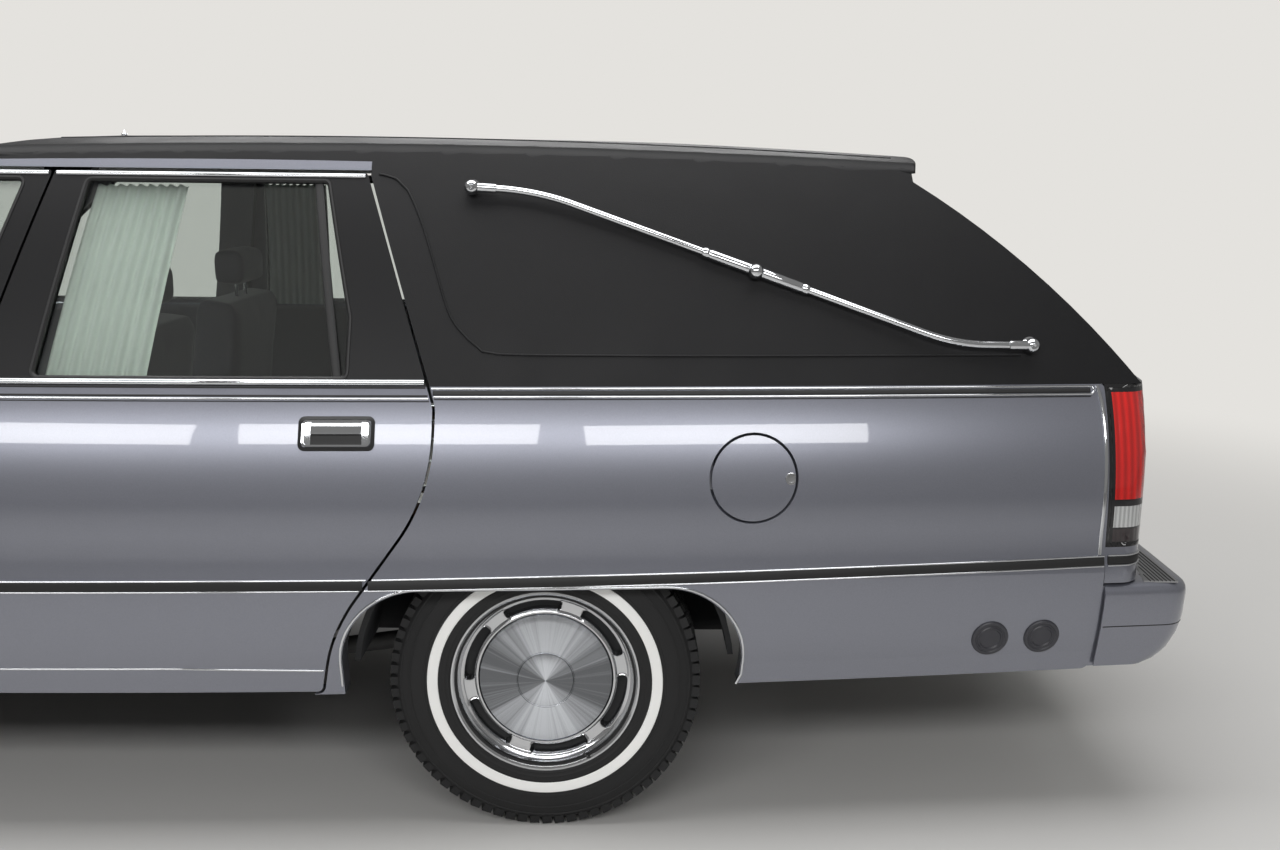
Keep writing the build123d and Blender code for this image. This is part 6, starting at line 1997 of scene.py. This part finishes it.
@dataclass
class EndTrim:
    """The bumpers' skins with dark lines painted as the shade in their creases, the moulding round the tail
    corners and the rear step pads.
    """

    crease_z: float = 456.0
    bumper_corner: float = 66.0
    bumper_proud: float = 8.6
    skin_mm: float = 5.0
    tail_corner: float = 60.0
    tail_start_x: float = 2524.0
    tail_z: float = 611.0
    door_half: float = 712.0
    pad_y: Row = (560.0, 838.0)
    pad_z: float = 556.0
    rib_pitch: float = 9.0
    ribs: int = 9
    # Inset and drop from the bumper's top, then the heights below
    rolled: Sequence[Row] = ((70.0, 0.0), (30.0, 0.0), (20.0, 1.2), (12.0, 4.2), (6.0, 9.0), (2.0, 16.0),
                             (0.0, 26.0))
    upright: Sequence[float] = (500.0, 470.0, 450.0, 430.0, 410.0, 392.0, 378.0, 366.0)

    def band(self, name: str, path: Sequence[Vector], profile: Sequence[Row], finish: Finish,
             slot: str) -> None:
        """Run a band of (across, outwards) along a level path round an end of the car."""
        put(name, swept(path, outward_in_plan(path), profile), finish, "body", slot, crease=50.0)

    def bumper(self, end: str, skin: TurnedSkin, start: float, top: float, low: float) -> None:
        """Form one bumper's painted skin: rolled top edge, upright face and tucked-in foot.

        Args:
            end: "front" or "rear".
            skin: its face.
            start: where it starts on the flanks.
            top: height of its top.
            low: height of its lower edge.
        """
        outer = [(inset, top - drop) for inset, drop in self.rolled]
        outer += [(0.0, z) for z in (*self.upright, low + 6, low)]
        inner = [(inset + self.skin_mm, z - (self.skin_mm if z > top - 8 else 0.0))
                 for inset, z in outer][::-1]
        rings = [skin.outline(z, start, self.bumper_corner, self.bumper_proud, inset)
                 for inset, z in outer + inner]
        count, rows = len(rings[0]), len(rings)
        faces = net_faces(rows, count, True)
        for k in (0, count - 1):
            faces += [[r * count + k, (r + 1) * count + k, (rows - 2 - r) * count + k,
                       (rows - 1 - r) * count + k]
                      for r in range(rows // 2 - 1)]
        put(f"{end}_bumper_skin", ([p for ring in rings for p in ring], faces), PAINT, "body", "bumper_skin",
            f"{end}_bumper", crease=40.0)

    def creases(self) -> None:
        """Fine dark line round each bumper below its face: painted shade along its crease, in black rubber
        finish.
        """
        for name, skin, start in (("front", FRONT_BUMPER, -2448.0), ("rear", REAR_BUMPER, 2526.0)):
            # Painted shade: a black strip stands for the shadow in the bumper's crease.
            path = skin.outline(self.crease_z, start, self.bumper_corner, self.bumper_proud)
            self.band(f"{name}_bumper_crease", path, rounded_bar(2.6, 0.8), SEAL, "trim_plastic")

    def fillers(self) -> None:
        """Painted fillers behind the joint between each quarter panel or fender and its bumper."""
        section = [(9.0, -12.0), (-9.0, -12.0), (-9.0, -2.5), (9.0, -2.5)]
        for word, x, low, high in (("rear", 2520.0, 350.0, 552.0), ("front", -2443.0, 338.0, 550.0)):
            rows = [(x, low + (high - low) * k / 8) for k in range(9)]
            for side in Side:
                put(f"{word}_bumper_filler_{side.word}", swept(*on_flank(rows, side), section), PAINT, "body",
                    "body_paint")

    def tail_mouldings(self) -> None:
        """Take the lower moulding on round both tail corners, up to the loading door."""
        for word, lift, profile, finish, slot in (
                ("band", 0.0, rounded_bar(21.0, 3.2, 8), SEAL, "trim_plastic"),
                ("upper_bead", 11.0, rounded_bar(4.6, 4.2), CHROME, "chrome"),
                ("lower_bead", -11.0, rounded_bar(4.6, 4.2), CHROME, "chrome")):
            path = TAIL_LOWER.outline(self.tail_z + lift, self.tail_start_x, self.tail_corner)
            left = [p for p in path if p.y < -self.door_half]
            for side in Side:
                self.band(f"tail_{word}_{side.word}", mirrored(left, side), profile, finish, slot)

    def step_pads(self) -> None:
        """Ribbed aluminium step pads on the rear bumper's corners."""
        low, high = self.pad_y
        z = self.pad_z
        rib = [(1.3, -1.0), (-1.3, -1.0), (-1.1, 1.2), (1.1, 1.2)]
        places = [low + (high - low) * k / 24 for k in range(25)]
        rows = [(REAR_BUMPER.at(y, z).x - 34.0, TAIL_LOWER.at(y, z).x + 16.0, y) for y in places]
        rows = [r for r in rows if r[0] - r[1] > 8.0]
        for side in Side:
            rings = [[(x, side.value * y, z + lift) for x, lift in (
                (outer, -2.0), (outer, 1.0), (outer - 3.0, 2.2), (inner + 3.0, 2.2), (inner, 1.0),
                (inner, -2.0))]
                for outer, inner, y in rows]
            put(f"step_pad_{side.word}", loft(rings), ALUMINIUM, "body", "plain_steel", crease=30.0)
            ribs = []
            for depth in (self.rib_pitch * (k + 1) for k in range(self.ribs)):
                line = [Vector((outer - depth, side.value * y, z + 2.0)) for outer, inner, y in rows
                        if outer - depth > inner + 5.0]
                if len(line) > 2:
                    ribs.append(swept(line, [Vector((0.0, 0.0, 1.0))] * len(line), rib))
            put(f"step_ribs_{side.word}", join_parts(ribs), SEAL, "body", "trim_plastic", crease=30.0)

    def build(self) -> None:
        """Make the bumpers and the trim at both ends."""
        self.bumper("rear", REAR_BUMPER, 2522.0, 556.4, 354.0)
        self.bumper("front", FRONT_BUMPER, -2446.0, 554.4, 335.0)
        self.creases()
        self.fillers()
        self.tail_mouldings()
        self.step_pads()


@dataclass
class CurtainSet:
    """Pleated curtains hung in the front part of the rear door windows."""

    outline: Sequence[Row] = ((224.0, 1000.0), (285.0, 1423.0), (482.0, 1423.0), (437.0, 1000.0))
    pleats: int = 9
    depth: float = 5.6
    middle_inset: float = 43.0
    thickness: float = 0.8
    down: int = 14

    def point(self, u: float, v: float, side: Side) -> Vector:
        """Give the cloth's point at a share of its width and of its height.

        Args:
            u: share of the width, from the front.
            v: share of the height, from the foot.
            side: the side of the car.

        Returns:
            The point.
        """
        (fx0, z0), (fx1, z1), (rx1, _), (rx0, _) = self.outline
        wave = math.sin(2 * math.pi * self.pleats * u + 0.2 * math.sin(3 * v + 2 * u))
        wave = math.copysign(abs(wave) ** 0.6, wave)
        swell = self.depth * (0.9 + 0.1 * math.cos(3.1 * v + 5 * u))
        low, high = fx0 + (fx1 - fx0) * v, rx0 + (rx1 - rx0) * v
        return FLANK.at(low + (high - low) * u, z0 + (z1 - z0) * v, -self.middle_inset + swell * wave, side)

    def build(self) -> None:
        """Hang both curtains."""
        across, down = 8 * self.pleats, self.down
        for side in Side:
            rows = [[self.point(i / across, k / down, side) for i in range(across + 1)]
                    for k in range(down + 1)]
            middle = rows[down // 2]
            width = sum((b - a).length for a, b in zip(middle, middle[1:]))
            height = sum((b[0] - a[0]).length for a, b in zip(rows, rows[1:]))
            cloth = mesh_object(f"curtain_cloth_{side.word}", [p for row in rows for p in row],
                                net_faces(down + 1, across + 1), [CURTAIN], 60.0)
            solid = cloth.modifiers.new("thickness", "SOLIDIFY")
            solid.thickness = self.thickness * MM
            solid.offset = 0.0
            cloth = as_finished(cloth)
            finish_mesh(cloth.data, 60.0)
            settle(cloth, f"rear_door_{side.word}", "curtain_cloth", f"curtain_{side.word}")
            f"rear_door_{side.word}"


def stuffed(piece: bpy.types.Object, cap: float, pressure: float) -> bpy.types.Object:
    """Swell a pad with Blender's cloth under pressure, with a cap on how far a point moves.

    Args:
        piece: the pad's plain, closed shape.
        cap: greatest movement in millimetres.
        pressure: pressure inside it.

    Returns:
        The swollen pad.
    """
    remesh = piece.modifiers.new("skin", "REMESH")
    remesh.mode = "VOXEL"
    remesh.voxel_size = 12.0 * MM
    pad = as_finished(piece)
    rest = [v.co.copy() for v in pad.data.vertices]
    cloth = pad.modifiers.new("cloth", "CLOTH")
    cloth.settings.use_pressure = True
    cloth.settings.uniform_pressure_force = pressure
    cloth.settings.effector_weights.gravity = 0.0
    cloth.settings.quality = 4
    for frame in range(1, 21):
        bpy.context.scene.frame_set(frame)
    pad = as_finished(pad)
    bpy.context.scene.frame_set(1)
    for vertex, start in zip(pad.data.vertices, rest):
        shift = vertex.co - start
        if shift.length > cap * MM:
            vertex.co = start + shift.normalized() * cap * MM
    smooth = pad.modifiers.new("soften", "SMOOTH")
    smooth.factor = 0.5
    smooth.iterations = 4
    finer = pad.modifiers.new("finer", "SUBSURF")
    finer.levels = finer.render_levels = 1
    pad = as_finished(pad)
    pad.data.shade_smooth()
    return pad


def post(x: float, y: float, span: Row, radius: float, sides: int = 10) -> Mesh:
    """Points and faces of an upright round bar between two heights."""
    return tube([Vector((x, y, z)) for z in span], radius, sides)


def smooth_tube(points: Sequence[Vector], step: float, radius: float, sides: int) -> Mesh:
    """Points and faces of a round bar along a curve through points."""
    return tube([Vector(p) for p in smooth_line([tuple(p) for p in points], step)], radius, sides)


@dataclass
class FrontSeats:
    """Two front seats, each a cushion, a back and a headrest of padded cloth. Outlines are rows of (x, z)."""

    width: Row = (156.0, 652.0)
    wing: float = 92.0
    lap: float = 8.0
    head_half: float = 122.0
    pressure: float = 4.0
    cap: float = 9.0
    cushion: Sequence[Row] = ((-372.0, 372.0), (-376.0, 560.0), (-340.0, 606.0), (110.0, 590.0),
                              (112.0, 372.0))
    bolster: Sequence[Row] = ((-360.0, 400.0), (-362.0, 570.0), (-320.0, 612.0), (110.0, 604.0),
                              (112.0, 400.0))
    back: Sequence[Row] = ((132.0, 420.0), (130.0, 560.0), (206.0, 1064.0), (222.0, 1080.0), (300.0, 1068.0),
                           (316.0, 1040.0), (258.0, 520.0), (228.0, 420.0))
    head: Sequence[Row] = ((224.0, 1106.0), (222.0, 1196.0), (240.0, 1208.0), (292.0, 1206.0),
                           (308.0, 1190.0), (306.0, 1106.0))
    post_x: float = 266.0
    post_z: Row = (1060.0, 1120.0)
    post_half: float = 45.0

    def shapes(self) -> Sequence[tuple[str, Sequence[Row], Row, str]]:
        """Give each pad's name, side outline, width and the node it stands for.

        Returns:
            A row for each pad.
        """
        low, high = self.width
        middle, wing = (low + high) / 2, self.wing
        return (("seat_cushion_pad_0", self.cushion, (low + wing, high - wing), "seat_cushions"),
                ("seat_cushion_pad_1", self.bolster, (low, low + wing + self.lap), ""),
                ("seat_cushion_pad_2", self.bolster, (high - wing - self.lap, high), ""),
                ("seat_back_pad_0", self.back, (low + self.lap, high - self.lap), "seat_backs"),
                ("headrest_pad_0", self.head, (middle - self.head_half, middle + self.head_half), ""))

    def prism(self, rows: Sequence[Row], width: Row) -> Mesh:
        """Make a prism across the left-hand seat.

        Args:
            rows: its side outline.
            width: its inner and outer side.

        Returns:
            Points and faces.
        """
        verts = [(x, -y, z) for y in width for x, z in rows]
        count = len(rows)
        faces = [list(range(count))[::-1], list(range(count, 2 * count))]
        return verts, faces + net_faces(2, count, False, True)

    def build(self) -> None:
        """Make every pad on both sides."""
        for name, rows, width, node in self.shapes():
            pad = stuffed(mesh_object(name, *self.prism(rows, width)), self.cap, self.pressure)
            points = [v.co / MM for v in pad.data.vertices]
            faces = [list(f.vertices) for f in pad.data.polygons]
            bpy.data.objects.remove(pad)
            for side in Side:
                piece = mesh_object(f"{name}_{side.word}", mirrored(points, side), faces, [SEAT_CLOTH], 70.0)
                settle(piece, "body", "seat_cloth", *([node] if node and side is Side.LEFT else []))
        for side in Side:
            middle = side.value * sum(self.width) / 2
            posts = join_parts([post(self.post_x, middle + dy, self.post_z, 5.0)
                                for dy in (-self.post_half, self.post_half)])
            put(f"headrest_posts_{side.word}", posts, CHROME, "body", "chrome")


@dataclass
class LoadDeck:
    """The veneered roller deck with bright runners, bier pins and side rails. Runners are given in metres."""

    bars: RowOfBars
    rail_half: float = 570.0
    rail_x: Row = (520.0, 2380.0)
    rail_z: float = 690.0
    post_x: Sequence[float] = (560.0, 1150.0, 1740.0, 2330.0)
    pin_x: Row = (760.0, 2180.0)
    pin_half: float = 150.0

    def build(self) -> None:
        """Dress the deck."""
        settle(panel_copy("roller_deck", "roller_deck_veneer", VENEER, 30.0), "body", "deck_board",
               "roller_deck")
        runners = self.bars.run("deck_runners", ALUMINIUM, Count=4, First=[1.45, -0.45, 0.6655],
                                Step=[0.0, 0.3, 0.0], Bar=[1.9, 0.022, 0.003], Turn=[0.0, 0.0, 0.0])
        settle(softened(runners, 0.8, 2), "body", "plain_steel")
        rails = []
        for y in (-self.rail_half, self.rail_half):
            rails.append(tube([Vector((x, y, self.rail_z)) for x in self.rail_x], 9.0, 14))
            rails += [post(x, y, (663.0, self.rail_z), 5.5) for x in self.post_x]
        put("deck_side_rails", join_parts(rails), CHROME, "body", "plain_steel")
        pins = [post(x, y, span, radius, sides) for x in self.pin_x for y in (-self.pin_half, self.pin_half)
                for span, radius, sides in (((664.0, 672.0), 24.0, 20), ((670.0, 716.0), 8.0, 16))]
        put("bier_pins", join_parts(pins), CHROME, "body", "plain_steel")


@dataclass
class Cabin:
    """Dash, wheel and carpet seen through the glass."""

    hood_y: Row = (-520.0, -220.0)
    hood: Sequence[Row] = ((-790.0, 930.0), (-770.0, 958.0), (-700.0, 962.0), (-690.0, 940.0),
                           (-694.0, 930.0))

    def build(self) -> None:
        """Dress the cabin's parts."""
        floor = panel_copy("floor_pan", "floor_pan_carpeted", CHASSIS, 35.0)
        recolour(floor, CARPET, lambda x, y, z, normal: normal.z > 0.3)
        settle(floor, "body", "black_steel", "floor_pan")
        for node, body in (("dash", "body"), ("steering_wheel", "steering_wheel")):
            settle(panel_copy(node, f"{node}_moulding", PLASTIC, 40.0), body, "trim_plastic", node)
        hood = loft([[(x, y, z) for x, z in self.hood] for y in self.hood_y])
        settle(softened(mesh_object("instrument_hood", *hood, [PLASTIC]), 8.0), "body", "trim_plastic")


def skin_plate(at: Callable[[float, float, float], Vector], width: Row, height: Row, radius: float,
               proud: float) -> Mesh:
    """Make a rounded plate that follows a surface.

    Args:
        at: gives a point for a place across, a height and a distance outwards.
        width: its two sides.
        height: its lower and upper edges.
        radius: its corners' radius.
        proud: its thickness.

    Returns:
        Points and faces.
    """
    (left, right), (low, high) = width, height
    rows = closed_rows([(left, low, radius), (left, high, radius), (right, high, radius),
                        (right, low, radius)], 40.0)
    my, mz = (left + right) / 2, (low + high) / 2
    rings = [(1.0, -1.0), (1.0, proud - 0.8), (1.0 - 1.6 / (right - left), proud)]
    verts = [at(my + (y - my) * share, mz + (z - mz) * share, depth) for share, depth in rings
             for y, z in rows]
    verts += [at(my, mz, -1.0), at(my, mz, proud)]
    count = len(rows)
    faces = net_faces(3, count, False, True)
    faces += [[2 * count + k, 2 * count + (k + 1) % count, 3 * count + 1] for k in range(count)]
    faces += [[(k + 1) % count, k, 3 * count] for k in range(count)]
    return verts, faces


@dataclass
class FrontEnd:
    """Hood strip, wipers, headlamp bowls, mirror glasses and the front plate."""

    screen_axis_x: float = 1340.0
    screen_foot: Row = (-1060.0, 992.0)
    screen_head: Row = (-430.0, 1462.0)
    bowl_y: Row = (402.0, 784.0)
    bowl_z: Row = (622.0, 732.0)
    bowl_inset: float = 27.0
    bowl_flutes: int = 8
    flute_depth: float = 2.2
    strip_ends: Row = (-2596.0, -1090.0)
    # Pivot and both ends of each wiper's blade across the car
    wiper_rows: Sequence[Point] = ((-560.0, -520.0, 20.0), (60.0, 100.0, 600.0))
    blade: Sequence[Row] = ((3.5, -4.0), (-3.5, -4.0), (-4.5, 3.0), (-1.5, 6.0), (1.5, 6.0), (4.5, 3.0))

    def on_screen(self, y: float, z: float, proud: float = 0.0) -> Vector:
        """Give a point on or off the windscreen.

        Args:
            y: place across the car.
            z: height.
            proud: distance outside the glass.

        Returns:
            The point.
        """
        (foot_x, foot_z), (head_x, head_z) = self.screen_foot, self.screen_head
        middle = foot_x + (z - foot_z) / (head_z - foot_z) * (head_x - foot_x)
        slope = math.atan2(head_z - foot_z, head_x - foot_x)
        x = self.screen_axis_x - math.sqrt((self.screen_axis_x - middle) ** 2 - y ** 2)
        return Vector((x - proud * math.sin(slope), y, z + proud * math.cos(slope)))

    def wipers(self) -> None:
        """Two arms with their blades, parked at the foot of the windscreen."""
        at = self.on_screen
        for index, (pivot, low, high) in enumerate(self.wiper_rows):
            blade = [at(low + (high - low) * k / 12, 1036.0 - 10.0 * k / 12, 5.0) for k in range(13)]
            ups = [(at(p.y, 1060.0, 30.0) - at(p.y, 1060.0)).normalized() for p in blade]
            joint, up = blade[6], ups[6]
            arm = [at(pivot, 1008.0, 6.0), at(pivot + 8, 1012.0, 22.0),
                   (at(pivot, 1012.0, 24.0) + joint) / 2 + up * 10, joint + up * 9]
            parts = [swept(blade, ups, self.blade), smooth_tube(arm, 20.0, 5.0, 10),
                     tube([at(pivot, 1004.0, -6.0), at(pivot, 1004.0, 26.0)], 13.0, 18)]
            put(f"wiper_{index}", join_parts(parts), SEAL, "body", "trim_plastic", crease=40.0)

    def bowls(self) -> None:
        """Fluted bright reflectors behind the headlamp lenses."""
        columns, rows = 64, 6
        width = columns + 1
        layer = width * (rows + 1)
        rim = list(range(width)) + [k * width + columns for k in range(1, rows + 1)]
        rim += [rows * width + i for i in range(columns - 1, -1, -1)]
        rim += [k * width for k in range(rows - 1, 0, -1)]
        faces = net_faces(rows + 1, width) + net_faces(rows + 1, width, first=layer)
        faces += [[a, b, layer + b, layer + a] for a, b in zip(rim, rim[1:] + rim[:1])]
        (y0, y1), (z0, z1) = self.bowl_y, self.bowl_z
        flutes = [self.flute_depth * abs(math.sin(math.pi * self.bowl_flutes * i / columns))
                  for i in range(width)]
        for side in Side:
            verts = [NOSE_FACE.at(side.value * (y0 + (y1 - y0) * i / columns), z0 + (z1 - z0) * k / rows,
                                  -self.bowl_inset - flutes[i] + depth)
                     for depth in (0.0, -3.0) for k in range(rows + 1) for i in range(width)]
            put(f"headlamp_bowl_{side.word}", (verts, faces), POLISHED, "body", "chrome", crease=50.0)

    def mirror_glasses(self) -> None:
        """Silvered glass in the backs of the door mirrors."""
        for side in Side:
            plate = skin_plate(lambda y, z, out: Vector((-779.0 + out, side.value * y, z)),
                               (960.0, 1106.0), (1028.0, 1124.0), 14.0, 4.6)
            put(f"mirror_glass_{side.word}", plate, CHROME, f"front_door_{side.word}", "chrome", crease=30.0)

    def build(self) -> None:
        """Make the front's small parts."""
        path = [Vector((x, 0.0, z)) for x, z in level_path(lambda x: HOOD_TOP.top(x, 0.0), *self.strip_ends)]
        strip = swept(path, [HOOD_TOP.normal(*p) for p in path], rounded_bar(9.0, 3.0))
        put("hood_strip", strip, CHROME, "hood", "chrome", crease=50.0)
        self.wipers()
        self.bowls()
        self.mirror_glasses()
        plate = skin_plate(FRONT_BUMPER.at, (-152.0, 152.0), (440.0, 540.0), 8.0, 4.0)
        put("front_plate_blank", plate, PLATE, "body", "trim_plastic", crease=30.0)


@dataclass
class RearDoor:
    """Loading door's handle, blank plate in its recess, lamp bar and window seal."""

    plate_z: float = 800.0
    handle_z: float = 905.0
    # Place across the car, outwards
    handle: Sequence[Row] = ((420.0, 0.0), (420.0, 22.0), (434.0, 32.0), (556.0, 32.0), (570.0, 22.0),
                             (570.0, 0.0))
    window: Sequence[Point] = (
        (-402.0, 1088.0, 26.0), (-332.0, 1337.0, 26.0), (332.0, 1337.0, 26.0), (402.0, 1088.0, 26.0))
    bead: Sequence[Row] = ((-8.0, -8.0), (8.0, -8.0), (8.0, 1.0), (4.0, 3.2), (-4.0, 3.2), (-8.0, 1.0))
    # Name, half width, lower and upper edge from the plate's middle, corner radius, thickness, finish
    plates: Sequence[tuple[str, float, Row, float, float, Finish]] = (
        ("plate_recess", 190.0, (-90.0, 82.0), 12.0, 3.0, SEAL),
        ("blank_plate", 152.0, (-76.0, 76.0), 8.0, 5.0, PLATE),
        ("plate_lamp_bar", 210.0, (92.0, 124.0), 10.0, 14.0, CHROME))

    def build(self) -> None:
        """Make the door's details."""
        for name, half, (low, high), radius, proud, finish in self.plates:
            plate = skin_plate(TAIL_LOWER.at, (-half, half), (self.plate_z + low, self.plate_z + high),
                               radius, proud)
            put(name, plate, finish, "loading_door", "chrome" if finish is CHROME else "trim_plastic",
                crease=34.0)
        path = [Vector((TAIL_SLOPE.x_at(y, z), y, z)) for y, z in closed_rows(self.window, 30.0)]
        seal = swept(path, [TAIL_SLOPE.normal(*p) for p in path], self.bead, looped=True)
        put("tail_window_seal", seal, SEAL, "loading_door", "trim_plastic", crease=40.0)
        bar = smooth_tube([TAIL_LOWER.at(y, self.handle_z, out) for y, out in self.handle], 10.0, 8.0, 14)
        feet = [tube([TAIL_LOWER.at(y, self.handle_z, -1.0), TAIL_LOWER.at(y, self.handle_z, 4.0)], 17.0, 24)
                for y in (self.handle[0][0], self.handle[-1][0])]
        put("loading_door_handle", join_parts([bar, *feet]), CHROME, "loading_door", "chrome", crease=40.0)


@dataclass
class SmoothNodes:
    """Nodes whose shape is right: smooth copies with their finishes."""

    # Node, finish, slot, and the body that carries it where it isn't "body"
    copies: Sequence[tuple] = (
        ("chassis_frame", CHASSIS, "black_steel"), ("cowl", CHASSIS, "black_steel"),
        ("driveshaft", CHASSIS, "black_steel"), ("front_arms", CHASSIS, "black_steel"),
        ("engine_block", CASTING, "cast_iron"), ("rear_axle", CASTING, "cast_iron"),
        ("knuckle_left", CASTING, "cast_iron", "knuckle_left"),
        ("knuckle_right", CASTING, "cast_iron", "knuckle_right"),
        ("fuel_tank", BARE_STEEL, "plain_steel"), ("exhaust", BARE_STEEL, "plain_steel"),
        ("windscreen", GLASS, "glass"),
        *((f"{end}_glass_{side}", GLASS, "glass", f"{end}_door_{side}")
          for end in ("front", "rear") for side in ("left", "right")),
        ("tail_glass", GLASS, "glass", "loading_door"),
        ("mirror_left", FRAME_BLACK, "trim_plastic", "front_door_left"),
        ("mirror_right", FRAME_BLACK, "trim_plastic", "front_door_right"),
        ("grille", CHROME, "chrome"), ("antenna", CHROME, "chrome"), ("deck_rollers", SEAL, "roller_rubber"))

    def build(self) -> None:
        """Make the copies."""
        for node, finish, slot, *carrier in self.copies:
            settle(panel_copy(node, f"{node}_dressed", finish, 35.0), carrier[0] if carrier else "body", slot,
                   node)


def main() -> None:
    """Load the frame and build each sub-assembly in order."""
    logging.basicConfig(level=logging.INFO, format="%(name)s: %(message)s")
    FRAME.update(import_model())
    ring, bars = RingOfBlocks(), RowOfBars()
    for part in (Studio(), PaintedBody(), BrightTrim(), WindowTrim(), DoorHandle(), QuarterDetails(),
                 LandauBars()):
        part.build()
    for end, x, half in (("front", FRONT_AXLE_X, FRONT_HALF_TRACK), ("rear", REAR_AXLE_X, REAR_HALF_TRACK)):
        for side in Side:
            RoadWheel(end, side, x, half, ring).build()
    for part in (Lamps(), EndTrim(), CurtainSet(), FrontSeats(), LoadDeck(bars), Cabin(), FrontEnd(),
                 RearDoor(),
                 SmoothNodes()):
        part.build()


if __name__ == "__main__":
    main()
